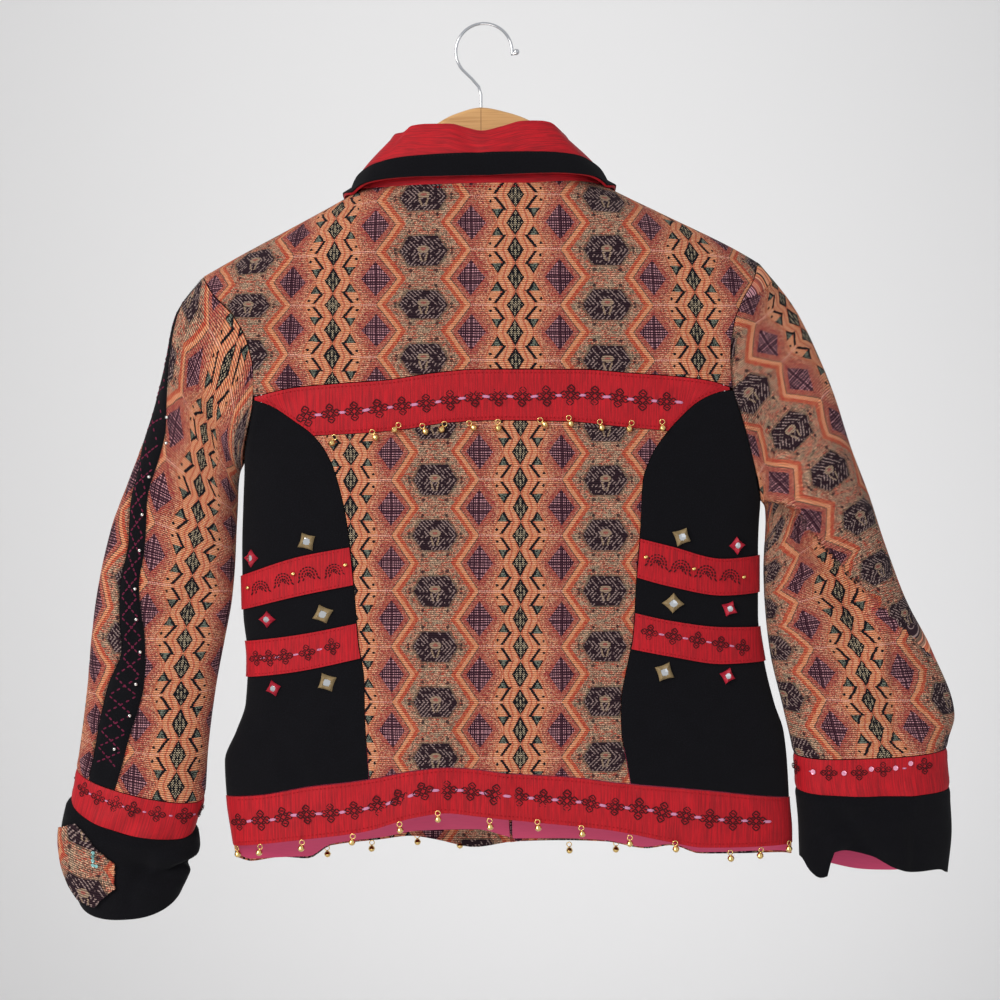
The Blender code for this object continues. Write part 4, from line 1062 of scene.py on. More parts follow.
@dataclass(frozen=True)
class JacquardWool:
    """Kilim-patterned wool, woven in stepped threads: a chain of lozenges between columns
    of checked lozenges, with hexagons between the chains."""

    name: str = "jacquard_wool"
    repeat: float = 150.0
    drop: float = 47.0
    thread: tuple[float, float] = (0.75, 0.62)
    hexagon: tuple[float, float] = (19.6, 12.6)
    lozenge: tuple[float, float, float] = (36.0, 11.8, 15.2)
    link: tuple[float, float] = (7.2, 11.4)
    chain: str = "12121A"
    cream: str = "B9AA8E"
    orange: str = "D0845C"
    peach: str = "DDAA8C"
    ember: str = "B04636"
    rose: str = "983C3C"
    plum: str = "2A1A22"
    lilac: str = "A08A86"
    slate: str = "6E7468"
    beige: str = "A28A74"
    olive: str = "564C42"
    pink: str = "B98790"
    wine: str = "351826"
    pale: str = "E3A99C"

    def build(self) -> bpy.types.Material:
        """The material, on cloth coordinates in millimetres."""
        paint = Painter(self.name)
        at = Threads(paint, self.repeat, self.drop, self.thread)
        colour = self.ground(paint, at)
        for layer in (self.hexagons, self.zigzags, self.lozenges, self.flames, self.hooks,
                      self.chains):
            colour = layer(paint, at, colour)
        return self.woven(paint, at, colour)

    def ground(self, paint: Painter, at: Threads) -> Any:
        """The mottled ground.

        Args:
            paint: The material in the making.
            at: The weave's threads.

        Returns:
            Its colour.
        """
        u, v, grain, streak = at.u, at.v, at.grain, at.streak
        blotch = paint.noise(u, v, 9.0, 5.0, 3.0, 5.0)
        colour = paint.mix(streak.ramp(0.35, 0.62), self.beige, self.ember)
        colour = paint.mix(blotch.ramp(0.48, 0.62), colour, self.beige)
        colour = paint.mix((grain > 0.68) * 0.85, colour, self.olive)
        colour = paint.mix((grain < 0.2) * 0.8, colour, self.peach)
        return colour

    def hexagons(self, paint: Painter, at: Threads, colour: Any) -> Any:
        """The dark hexagons between the chains, and the dots beside them.

        Args:
            paint: The material in the making.
            at: The weave's threads.
            colour: The colour so far.

        Returns:
            The colour with them on it.
        """
        x, w, us, vs, half, signed = at.x, at.w, at.us, at.vs, at.half, at.signed
        hexa = (w / self.hexagon[1]).most((abs(x - half) + w * 0.62) / self.hexagon[0])
        rim = (hexa < 1.1) * 0.65
        colour = paint.mix(rim, colour, self.olive)
        fleck = (us + w * 0.9).fold(1.7) < 0.62
        fleck = fleck * (paint.cells(us.snap(3.0), vs.snap(2.4), 2.0) > 0.35)
        inside = paint.mix(fleck * 0.8, self.plum, self.lilac)
        middle = ((abs(x - half) / 5.0).math("POWER", 2.0)
                  + (abs(signed - 1.6) / 3.1).math("POWER", 2.0)) < 1.0
        legs = (abs(abs(x - half) - 2.2 + (signed + 6.0) * -0.32) < 0.75) * (signed < -1.6)
        legs = legs * (signed > -8.6)
        inside = paint.mix((middle.most(legs)) * 0.85, inside, self.beige)
        eye = ((abs(x - half) / 2.4).math("POWER", 2.0)
               + (abs(signed - 1.8) / 1.2).math("POWER", 2.0)) < 1.0
        inside = paint.mix(eye * 0.7, inside, self.rose)
        colour = paint.mix(hexa < 1.0, colour, inside)
        dots = ((abs(abs(x - half) - 10.8) + abs(w - 16.6)) < 1.9)
        dots = dots.most((abs(x - (half - 23.0)) + abs(w - 1.6)) < 1.7)
        colour = paint.mix(dots * 0.85, colour, self.plum)
        return colour

    def zigzags(self, paint: Painter, at: Threads, colour: Any) -> Any:
        """The zigzag lines and the ground inside them.

        Args:
            paint: The material in the making.
            at: The weave's threads.
            colour: The colour so far.

        Returns:
            The colour with them on it.
        """
        away, grain, streak = at.away, at.grain, at.streak
        ground = paint.mix((grain > 0.5) * 0.5, self.rose, self.ember)
        ground = paint.mix((grain > 0.68) * 0.8, ground, self.peach)
        ground = paint.mix((grain < 0.2) * 0.7, ground, self.olive)
        ground = paint.mix(streak.ramp(0.42, 0.7) * 0.6, ground, self.orange)
        colour = paint.mix(away < 6.2, colour, self.ember)
        colour = paint.mix((away < 6.2) * (grain > 0.62) * 0.6, colour, self.orange)
        colour = paint.mix((away < 2.4), colour, self.orange)
        colour = paint.mix((away < 2.4) * (grain > 0.6) * 0.55, colour, self.peach)
        colour = paint.mix((away < -1.6), colour, self.olive)
        colour = paint.mix((away < -2.5), colour, ground)
        return colour

    def lozenges(self, paint: Painter, at: Threads, colour: Any) -> Any:
        """The checked lozenges between the zigzags.

        Args:
            paint: The material in the making.
            at: The weave's threads.
            colour: The colour so far.

        Returns:
            The colour with them on it.
        """
        x, w, us, vs = at.x, at.w, at.us, at.vs
        middle, width, height = self.lozenge
        check = abs(x - middle) / width + (w * -1.0 + at.level) / height
        glow = (check * -1.0 + 1.9).ramp(0.0, 0.9) * (at.away < -2.5)
        colour = paint.mix(glow * 0.55, colour, self.rose)
        bars = (us.fold(0.95) < 0.5) * (vs.fold(1.1) < 0.55)
        spine = abs(x - middle) < 0.9
        weave = paint.mix(bars * (spine * -0.8 + 1.0), self.wine, self.pink)
        colour = paint.mix((check < 1.0), colour, weave)
        return colour

    def flames(self, paint: Painter, at: Threads, colour: Any) -> Any:
        """The warm ground along the chain and its pale lines.

        Args:
            paint: The material in the making.
            at: The weave's threads.
            colour: The colour so far.

        Returns:
            The colour with them on it.
        """
        x, w, us = at.x, at.w, at.us
        lace = w * (9.0 / at.level)
        inner = x - (lace * -1.0 + 26.5)
        warm = paint.mix((at.grain > 0.55) * 0.6, self.orange, self.peach)
        warmth = (inner * -1.0 + (at.grain - 0.5) * 9.0).ramp(-3.0, 2.0)
        colour = paint.mix(warmth, colour, warm)
        colour = paint.mix(((inner + 1.2).math("ABSOLUTE") < 0.7) * 0.6, colour, self.ember)
        pinch = (w < 0.75) * (x > 17.0) * (at.away < -1.0) * (us.fold(0.75) < 0.5)
        colour = paint.mix(pinch * 0.75, colour, self.pale)
        edge = at.link * (4.0 / (at.level / 2))
        lines = (x + edge).fold(2.6)
        colour = paint.mix((lines < 0.7) * (x < 15.5) * 0.7, colour, self.ember)
        return colour

    def hooks(self, paint: Painter, at: Threads, colour: Any) -> Any:
        """The dark triangles and hooks beside the chain.

        Args:
            paint: The material in the making.
            at: The weave's threads.
            colour: The colour so far.

        Returns:
            The colour with them on it.
        """
        x, w = at.x, at.w
        hook = (abs(x - 14.6) < ((w * -1.0 + 20.4) * 0.66)) * (w > 12.0)
        stroke = abs((x - 16.9) * 0.8 + (w - 1.6) * 0.6) < 1.1
        stroke = stroke * (w > 1.4) * (w < 12.8)
        crumb = (abs(x - 20.6) + abs(w - 5.2)) < 1.5
        tint = paint.mix((abs(x - 15.2) < ((w * -1.0 + 18.6) * 0.5)) * (at.grain > 0.3), self.chain,
                         self.slate)
        colour = paint.mix(hook, colour, tint)
        colour = paint.mix(stroke.most(crumb), colour, self.chain)
        return colour

    def chains(self, paint: Painter, at: Threads, colour: Any) -> Any:
        """The chain of latticed lozenges.

        Args:
            paint: The material in the making.
            at: The weave's threads.
            colour: The colour so far.

        Returns:
            The colour with them on it.
        """
        x, vs = at.x, at.vs
        link_shape = x / self.link[0] + at.link / self.link[1]
        lattice = ((x + vs).fold(1.0) < 0.5).math("ADD", (x - vs).fold(1.0) < 0.5) > 0.5
        fill = paint.mix(lattice, self.cream, self.chain)
        colour = paint.mix(link_shape < 1.0, colour, self.chain)
        colour = paint.mix(link_shape < 0.8, colour, fill)
        return colour

    def woven(self, paint: Painter, at: Threads, colour: Any) -> bpy.types.Material:
        """The weave's ribs and yarns over the whole drawing: painted shade in their grooves and
        painted light on their crowns, following the same relief that the bump gives.

        Args:
            paint: The material in the making.
            at: The weave's threads.
            colour: The colour so far.

        Returns:
            The material.
        """
        u, v, vs = at.u, at.v, at.vs
        rib = v.fold(0.8) / 0.8
        yarn = (u + (vs.snap(1.24) * 0.8)).fold(0.6) / 0.6
        relief = rib * 0.6 + yarn * 0.4
        # Painted shade in the grooves between the ribs and yarns, and painted light on their
        # crowns; the noise after them is random yarn tone.
        colour = paint.shade(colour, rib, 1.4, 0.2)
        colour = paint.shade(colour, yarn, 1.22, 0.7)
        colour = paint.shade(colour, paint.noise(u, v, 2.2, 0.9, 2.0, 11.0), 0.72, 1.2)
        paint.bump(relief, 0.28, 0.9)
        return paint.finish(colour, roughness=0.92, sheen_weight=0.04, sheen_roughness=0.5,
                            specular_ior_level=0.12)


@dataclass(frozen=True)
class Dupion:
    """Slubby silk dupion, whose slubs run one way."""

    name: str = "red_dupion"
    colour: str = "B5121F"
    deep: str = "8A121C"
    light: str = "C8242F"
    slubs: Weave = Weave.ALONG_V

    def build(self) -> bpy.types.Material:
        """The material, on cloth coordinates in millimetres."""
        paint = Painter(self.name)
        u, v = paint.uv()
        if self.slubs is Weave.ALONG_U:
            u, v = v, u
        slub = paint.noise(u, v, 1.1, 26.0, 3.0)
        thread = paint.noise(u, v, 0.55, 9.0, 2.0, 4.0)
        cloud = paint.noise(u, v, 30.0, 30.0, 2.0, 9.0)
        colour = paint.mix(slub.ramp(0.3, 0.7), self.deep, self.colour)
        colour = paint.mix(thread.ramp(0.55, 0.8) * 0.55, colour, self.light)
        colour = paint.shade(colour, cloud, 0.88, 1.12)
        paint.bump(slub * 0.7 + thread * 0.3, 0.3, 0.8)
        return paint.finish(colour, roughness=0.66, sheen_weight=0.06, sheen_roughness=0.4,
                            specular_ior_level=0.2)


@dataclass(frozen=True)
class FeltedWool:
    """Close black wool with a soft nap."""

    name: str = "black_wool"
    colour: str = "08080C"
    nap: str = "14151B"

    def build(self) -> bpy.types.Material:
        """The material, on cloth coordinates in millimetres."""
        paint = Painter(self.name)
        u, v = paint.uv()
        fibre = paint.noise(u, v, 0.9, 0.9, 3.0)
        cloud = paint.noise(u, v, 16.0, 16.0, 2.0, 4.0)
        colour = paint.mix(fibre.ramp(0.4, 0.75) * 0.6, self.colour, self.nap)
        colour = paint.shade(colour, cloud, 0.85, 1.15)
        paint.bump(fibre, 0.22, 0.7)
        return paint.finish(colour, roughness=0.95, sheen_weight=0.03, sheen_roughness=0.6,
                            specular_ior_level=0.08)


@dataclass(frozen=True)
class LiningSilk:
    """Plain smooth lining silk."""

    name: str = "magenta_silk"
    colour: str = "D0436F"

    def build(self) -> bpy.types.Material:
        """The material, on cloth coordinates in millimetres."""
        paint = Painter(self.name)
        u, v = paint.uv()
        weft = paint.noise(u, v, 12.0, 0.6, 2.0)
        colour = paint.shade(linear(self.colour), weft, 0.9, 1.1)
        paint.bump(weft, 0.06, 0.5)
        return paint.finish(colour, roughness=0.5, sheen_weight=0.2, specular_ior_level=0.35)


@dataclass(frozen=True)
class LotusWood:
    """Light varnished lotus wood, with its grain along the arms."""

    name: str = "lotus_wood"
    colour: str = "CFA066"
    grain: str = "A9783F"
    joint: str = "6E4A26"

    def build(self) -> bpy.types.Material:
        """The material, on object coordinates."""
        paint = Painter(self.name)
        place = add_node(paint.tree, "ShaderNodeTexCoord")
        parts = add_node(paint.tree, "ShaderNodeSeparateXYZ", {}, {0: place.outputs["Object"]})
        x, z = Field(paint.tree, parts.outputs[0]) / MM, Field(paint.tree, parts.outputs[2]) / MM
        lines = paint.noise(x, z, 60.0, 1.6, 4.0)
        colour = paint.mix(lines.ramp(0.45, 0.7) * 0.7, self.colour, self.grain)
        seam = abs(x + 2.6) < 0.35
        colour = paint.mix(seam * 0.7, colour, self.joint)
        paint.bump(lines, 0.05, 0.4)
        return paint.finish(colour, roughness=0.35, coat_weight=0.35, coat_roughness=0.25)


@dataclass(frozen=True)
class Plain:
    """A finish of one colour, such as a metal, a thread or a bead."""

    name: str
    colour: str
    roughness: float = 0.5
    metallic: float = 0.0
    specular: float = 0.5
    grain: float = 0.0

    def build(self) -> bpy.types.Material:
        """The material."""
        paint = Painter(self.name)
        if self.grain > 0:
            place = add_node(paint.tree, "ShaderNodeTexCoord")
            speck = add_node(paint.tree, "ShaderNodeTexNoise", {},
                             {"Vector": place.outputs["Object"], "Scale": 900.0, "Detail": 2.0})
            paint.bump(Field(paint.tree, speck.outputs[0]), self.grain, 0.6)
        return paint.finish(self.colour, roughness=self.roughness, metallic=self.metallic,
                            specular_ior_level=self.specular)


@dataclass
class Piece:
    """One sewn piece: a grid on the garment's surface with a wall's thickness."""

    name: str
    points: np.ndarray
    normals: np.ndarray
    uv: np.ndarray
    material: bpy.types.Material
    slot: str
    nodes: tuple[str, ...]
    rests_on: tuple[str, ...]
    thickness: float = WOOL
    lift: float = 0.0
    ring: bool = False
    roll: np.ndarray | None = None
    turned: np.ndarray | None = None
    is_turned: np.ndarray | None = None

    def walls(self) -> tuple[np.ndarray, np.ndarray]:
        """The piece's outer and inner grids."""
        roll = 0.0 if self.roll is None else self.roll[..., None]
        raised = self.lift + self.thickness if self.lift > 0 else 0.0
        outer = self.points + self.normals * (raised + roll)
        return outer, outer - self.normals * self.thickness

    def faces(self, rows: int, columns: int) -> np.ndarray:
        """Corner numbers of the walls' and the rims' faces.

        Args:
            rows: How many rows the grid has.
            columns: How many columns.

        Returns:
            One row of four corners for each face.
        """
        span = columns if self.ring else columns - 1
        row, column = np.meshgrid(np.arange(rows - 1), np.arange(span), indexing="ij")
        beside = (column + 1) % columns
        first = row * columns
        quads = np.stack([first + column, first + beside, first + columns + beside,
                          first + columns + column], axis=-1).reshape(-1, 4)
        total = rows * columns
        sides = [quads, quads[:, ::-1] + total]
        across = np.arange(span)
        after = (across + 1) % columns
        for start in (0, (rows - 1) * columns):
            sides.append(np.stack([start + across, start + after, start + after + total,
                                   start + across + total], axis=-1))
        if not self.ring:
            down = np.arange(rows - 1) * columns
            for start in (0, columns - 1):
                sides.append(np.stack([start + down, start + down + columns,
                                       start + down + columns + total, start + down + total],
                                      axis=-1))
        return np.concatenate(sides)

    def build(self) -> bpy.types.Object:
        """The piece's object."""
        outer, inner = self.walls()
        rows, columns = outer.shape[:2]
        corners = np.concatenate([outer.reshape(-1, 3), inner.reshape(-1, 3)])
        faces = self.faces(rows, columns)
        mesh = bpy.data.meshes.new(self.name)
        mesh.from_pydata(((corners + DATUM) * MM).tolist(), [], faces.tolist())
        flat = self.uv[:, :columns].reshape(-1, 2)
        spread = np.concatenate([flat, flat])[faces.reshape(-1)].reshape(-1, 4, 2)
        if self.turned is not None:
            other, mask = self.turned.reshape(-1, 2), self.is_turned.reshape(-1)
            other = np.concatenate([other, other])[faces.reshape(-1)].reshape(-1, 4, 2)
            mask = np.concatenate([mask, mask])[faces.reshape(-1)].reshape(-1, 4).sum(axis=1) > 2
            spread = np.where(mask[:, None, None], other, spread)
        if self.ring:
            wrap = self.uv[:, -1, 0].max() - self.uv[:, 0, 0].min()
            jump = spread[..., 0].max(axis=1, keepdims=True) - spread[..., 0] > wrap / 2
            spread[..., 0] += np.where(jump, wrap, 0.0)
        layer = mesh.uv_layers.new(name="cloth")
        layer.data.foreach_set("uv", spread.reshape(-1).astype(np.float32))
        tidy_mesh(mesh)
        made = add_piece(self.name, mesh, self.material, self.nodes)
        across = np.linalg.norm(np.diff(outer, axis=1), axis=2)
        down = np.linalg.norm(np.diff(outer, axis=0), axis=2)
        area = float((across[:-1] * 0.5 * (down[:, :-1] + down[:, 1:])).sum())
        width, length = float(across.sum(axis=1).max()), float(down.sum(axis=0).max())
        area = min(area, width * length)
        LOG.info("%s: %.0f x %.0f mm, %.0f cm2, %d triangles", self.name, width, length,
                 area / 100, 2 * len(faces))
        return made


def tidy_mesh(mesh: bpy.types.Mesh, angle: float = 50.0) -> None:
    """Turns a closed mesh's faces outward and smooths all but its sharp edges.

    Args:
        mesh: The mesh.
        angle: The angle above which an edge stays sharp, in degrees.
    """
    shape = bmesh.new()
    shape.from_mesh(mesh)
    bmesh.ops.recalc_face_normals(shape, faces=shape.faces)
    shape.to_mesh(mesh)
    shape.free()
    mesh.shade_smooth()
    mesh.set_sharp_from_angle(angle=math.radians(angle))


def add_piece(name: str, mesh: bpy.types.Mesh, material: bpy.types.Material,
              nodes: Sequence[str] = ()) -> bpy.types.Object:
    """Adds an object that rides with the jacket.

    Args:
        name: The piece's name.
        mesh: Its mesh, already in the row's frame.
        material: Its finish.
        nodes: The solids that it stands for.

    Returns:
        The object.
    """
    if not mesh.materials:
        mesh.materials.append(material)
    made = bpy.data.objects.new(name, mesh)
    bpy.context.scene.collection.objects.link(made)
    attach(made, "root")
    if nodes:
        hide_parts(*nodes)
    return made


@dataclass
class Finishes:
    """Every finish of the jacket, built once."""

    jacquard: bpy.types.Material = field(init=False)

    def __post_init__(self) -> None:
        """Builds the materials."""
        self.jacquard = JacquardWool().build()
        self.red = Dupion().build()
        self.collar_red = Dupion("collar_dupion", slubs=Weave.ALONG_U).build()
        self.black = FeltedWool().build()
        self.magenta = LiningSilk().build()
        self.wood = LotusWood().build()
        self.chrome = Plain("chromed_wire", "D5D7DA", 0.12, 1.0).build()
        self.brass = Plain("gilt_brass", "EBC982", 0.18, 1.0, grain=0.06).build()
        self.thread = Plain("dark_thread", "3A0D14", 0.8, specular=0.2).build()
        self.burgundy = Plain("burgundy_thread", "6A1A3A", 0.75, specular=0.2).build()
        self.mauve = Plain("mauve_floss", "C585A8", 0.55, specular=0.3).build()
        self.red_thread = Plain("red_thread", "A5141F", 0.75, specular=0.2).build()
        self.black_thread = Plain("black_thread", "0D0E12", 0.8, specular=0.2).build()
        self.silver = Plain("silver_bead", "DCDAD6", 0.22, 1.0).build()
        self.mirror = Plain("mirror_glass", "E3E6E8", 0.06, 1.0).build()
        self.khaki = Plain("khaki_silk", "857250", 0.55, specular=0.35, grain=0.3).build()
        self.crimson = Plain("crimson_silk", "A5182E", 0.55, specular=0.35, grain=0.3).build()
        self.sequin = Plain("pink_sequin", "E7A3BF", 0.25, 0.3).build()
        self.turquoise = Plain("turquoise_sequin", "7FB5B5", 0.25, 0.4).build()


@dataclass
class Body:
    """The jacket's back and fronts, panel by panel."""

    finishes: Finishes
    cell: float = 4.0
    yoke_chain: float = 23.0
    yoke_repeat: float = 155.0
    yoke_level: float = -244.2
    panel_chain: float = 27.2
    panel_repeat: float = 144.0
    panel_level: float = -438.1
    repeat: float = JacquardWool.repeat

    def steps(self, length: float) -> int:
        """How many cells a length takes."""
        return max(2, round(length / self.cell))

    def patterned(self, points: np.ndarray, chain: float, repeat: float,
                  level: float) -> np.ndarray:
        """Cloth coordinates whose pattern's chain and level lie at given places."""
        uv = body_uv(points, chain, level)
        uv[..., 0] *= self.repeat / repeat
        uv[..., 1] = uv[..., 1] - level
        return uv

    def build(self) -> None:
        """Builds every panel of the body."""
        self.build_yoke()
        self.build_back_panel()
        self.build_sides()
        self.build_fronts()

    def build_yoke(self) -> None:
        """The yoke and the band under it."""
        wide = CURVED_SEAM / 2
        points, normals, edge = patch(
            armhole_left, armhole_right, [neck_top(BACK_NECK), moved(yoke_edge, wide)],
            [self.steps(200)], self.steps(470), True, top_ease=1.5)
        uv = self.patterned(points, self.yoke_chain, self.yoke_repeat, self.yoke_level)
        Piece("sewn_back_yoke", points, normals, uv, self.finishes.jacquard, "jacquard_wool",
              ("back_yoke",), ("hanger_wood",), roll=seam_roll(edge)).build()
        low, high = BAND_ENDS
        corner_left, corner_right = BAND_CORNERS
        stations = np.concatenate([
            np.linspace(low, corner_left, self.steps(50))[:-1],
            np.linspace(corner_left, corner_right, self.steps(300))[:-1],
            np.linspace(corner_right, high, self.steps(52))])
        points, normals, edge = patch(
            level_line(low), level_line(high), [moved(yoke_edge, -wide), moved(band_edge, wide)],
            [10], (stations - low) / (high - low), True)
        uv = body_uv(points, 0.0, -330.0)
        Piece("sewn_yoke_band", points, normals, uv, self.finishes.red, "red_dupion",
              ("yoke_band",), ("sewn_back_yoke",), roll=seam_roll(edge)).build()

    def build_back_panel(self) -> None:
        """The centre back panel and the hem band."""
        half, wide = SEAM / 2, CURVED_SEAM / 2
        points, normals, edge = patch(
            moved(princess_left, wide), moved(princess_right, -wide),
            [moved(band_edge, -half), moved(hem_top, wide)], [self.steps(300)],
            self.steps(270), True, top_ease=1.2)
        uv = self.patterned(points, self.panel_chain, self.panel_repeat, self.panel_level)
        Piece("sewn_back_panel", points, normals, uv, self.finishes.jacquard, "jacquard_wool",
              ("back_panel",), ("sewn_yoke_band",), roll=seam_roll(edge)).build()
        points, _, edge = patch(left_side, right_side, [moved(hem_top, -wide), hem_edge],
                                [12], self.steps(500), True)
        points, normals = spread_to_sides(points, True)
        uv = body_uv(points, 0.0, -680.0)
        Piece("sewn_hem_band", points, normals, uv, self.finishes.red, "red_dupion",
              ("hem_band_back",), ("sewn_back_panel",)).build()

    def build_sides(self) -> None:
        """The black side panels and the strips across them."""
        wide = CURVED_SEAM / 2
        sides = (
            ("left", STRIPS_LEFT, armhole_left, left_side, moved(princess_left, -wide), -323.6),
            ("right", STRIPS_RIGHT, armhole_right, right_side, moved(princess_right, wide),
             -315.6),
        )
        for name, strips, armhole, side, princess, top in sides:
            outer = outer_edge(armhole, side, UNDERARM[name])
            guides = [level_line(top)]
            guides += [reader(strips, "x", key)
                       for key in ("upper_top", "upper_edge", "lower_top", "lower_edge")]
            guides.append(moved(hem_top, wide))
            edges = (outer, princess) if name == "left" else (princess, outer)
            ease = (1.7, 1.0) if name == "left" else (1.0, 1.7)
            counts = [44, 8, 8, 8, 26]
            points, normals, edge = patch(*edges, guides, counts, 26, True, ease=ease,
                                          top_ease=1.4)
            uv = body_uv(points, -150.0 if name == "left" else 190.0, -500.0)
            Piece(f"sewn_side_{name}", points, normals, uv, self.finishes.black, "black_wool",
                  (f"side_back_{name}",), ("sewn_yoke_band",), roll=seam_roll(edge)).build()
            start = counts[0]
            for place, first in (("upper", start), ("lower", start + 16)):
                rows = slice(first, first + 9)
                Piece(f"sewn_strip_{name}_{place}", points[rows], normals[rows], uv[rows],
                      self.finishes.red, "red_dupion", (f"strip_{name}_{place}",),
                      (f"sewn_side_{name}",), thickness=DUPION, lift=STRIP_LIFT,
                      roll=seam_roll(edge)[rows]).build()

    def build_fronts(self) -> None:
        """The two fronts and the lining that shows inside them at the hem."""
        for name, armhole, side in (("left", armhole_left, left_side),
                                    ("right", armhole_right, right_side)):
            outer = outer_edge(armhole, side, UNDERARM[name])
            inner = moved(opening_x, -SEAM if name == "left" else -UNDERLAP)
            edges = (outer, inner) if name == "left" else (inner, outer)
            ease = (1.6, 1.0) if name == "left" else (1.0, 1.6)
            guides = [neck_top(FRONT_NECK), level_line(FRONT_CHEST_Z), level_line(UNDERARM[name]),
                      level_line(LINING_TOP_Z), reader(LINING_EDGE, "x", "z"),
                      reader(FRONT_EDGE, "x", "z")]
            counts = [36, 20, 48, 18, 3]
            points, normals, edge = patch(*edges, guides, counts, 46, False, ease=ease,
                                          top_ease=1.6)
            if name == "right":
                under = opening_x(points[..., 2]) + UNDERLAP_RISE - points[..., 0]
                points[..., 1] -= UNDERLAP_DEPTH * np.clip(under / UNDERLAP_RISE, 0, 1)
            chain = self.panel_chain - (self.repeat if name == "left" else -self.repeat) * 0.75
            uv = self.patterned(points, chain, self.repeat, self.panel_level)
            Piece(f"sewn_front_{name}", points, normals, uv, self.finishes.jacquard,
                  "jacquard_wool", (f"front_{name}",), ("hanger_wood",),
                  roll=seam_roll(edge)).build()
            rows = slice(sum(counts[:3]), sum(counts[:4]) + 1)
            inside = points[rows, 1:-1] - normals[rows, 1:-1] * (WOOL + SEAM)
            dip = LINING_SWELL * soft_noise(inside[..., 0], inside[..., 2], 26.0, 5)
            inside = inside - normals[rows, 1:-1] * np.abs(dip)[..., None]
            share = np.linspace(0, 1, inside.shape[1])
            if name == "left":
                inside[..., 0] += LINING_IN[name] * share ** 6
            else:
                inside[..., 0] -= LINING_IN[name] * (1 - share) ** 6
            Piece(f"sewn_lining_{name}", inside, normals[rows, 1:-1], uv[rows, 1:-1],
                  self.finishes.magenta, "magenta_silk", (f"lining_front_{name}",),
                  (f"sewn_front_{name}",), thickness=SILK).build()


def spread_to_sides(points: np.ndarray, back: bool) -> Grid:
    """Draws a full-width grid's columns together near both sides, where it turns.

    Args:
        points: The grid.
        back: Whether it lies on the back.

    Returns:
        The new points and their normals.
    """
    rows, columns = points.shape[:2]
    even = np.linspace(-1, 1, columns)
    drawn = np.sign(even) * (1 - (1 - np.abs(even)) ** 1.5)
    drawn = 0.35 * even + 0.65 * drawn
    out = np.empty_like(points)
    for row in range(rows):
        out[row, :, 0] = np.interp(drawn, even, points[row, :, 0])
        out[row, :, 2] = np.interp(drawn, even, points[row, :, 2])
    x, z = out[..., 0], out[..., 2]
    out[..., 1] = rimmed_y(x, z, back)
    return out, torso_normal(x, out[..., 1], z, back)


def half_ring(outer: np.ndarray, inner: np.ndarray, depth: float, drop: float,
              count: int) -> np.ndarray:
    """Half of a flattened ring, from its outer to its inner end, even along its length.

    Args:
        outer: Its outer end.
        inner: Its inner end.
        depth: How far it bulges: less than zero towards the viewer.
        drop: How much lower its middle hangs.
        count: How many steps it has.

    Returns:
        Its points.
    """
    turn = np.linspace(0, math.pi, 400)
    middle, reach = (outer + inner) / 2, (outer - inner) / 2
    swing = np.sign(np.cos(turn)) * np.abs(np.cos(turn)) ** 0.85
    bulge = np.sin(turn) ** 0.9
    points = middle + reach * swing[:, None]
    points[:, 1] += depth * bulge
    points[:, 2] -= drop * bulge * (1 if depth < 0 else -1)
    return even_steps(points, count)


def armhole_ring(armhole: Curve, shoulder: float, underarm: float, out: int) -> np.ndarray:
    """The sleeve's first ring, a seam's gap outside the armhole.

    Args:
        armhole: x of the armhole, by z.
        shoulder: z of its top.
        underarm: z of its foot.
        out: 1 or -1, the way in x that leads away from the body.

    Returns:
        Its points, from the top down the back and up the front.
    """
    z = shoulder + (underarm - shoulder) * (1 - np.cos(np.linspace(0, math.pi, 300))) / 2
    x = armhole(z)
    halves = []
    for back in (True, False):
        y = torso_y(x, z, back)
        y[0] = y[-1] = 0.0
        slope = np.gradient(x, z)
        size = np.sqrt(1 + slope**2)
        points = np.stack([x + out * CURVED_SEAM / size, y,
                           z - out * slope * CURVED_SEAM / size], axis=1)
        halves.append(even_steps(points, RING_HALF))
    return np.concatenate([halves[0], halves[1][::-1][1:]])


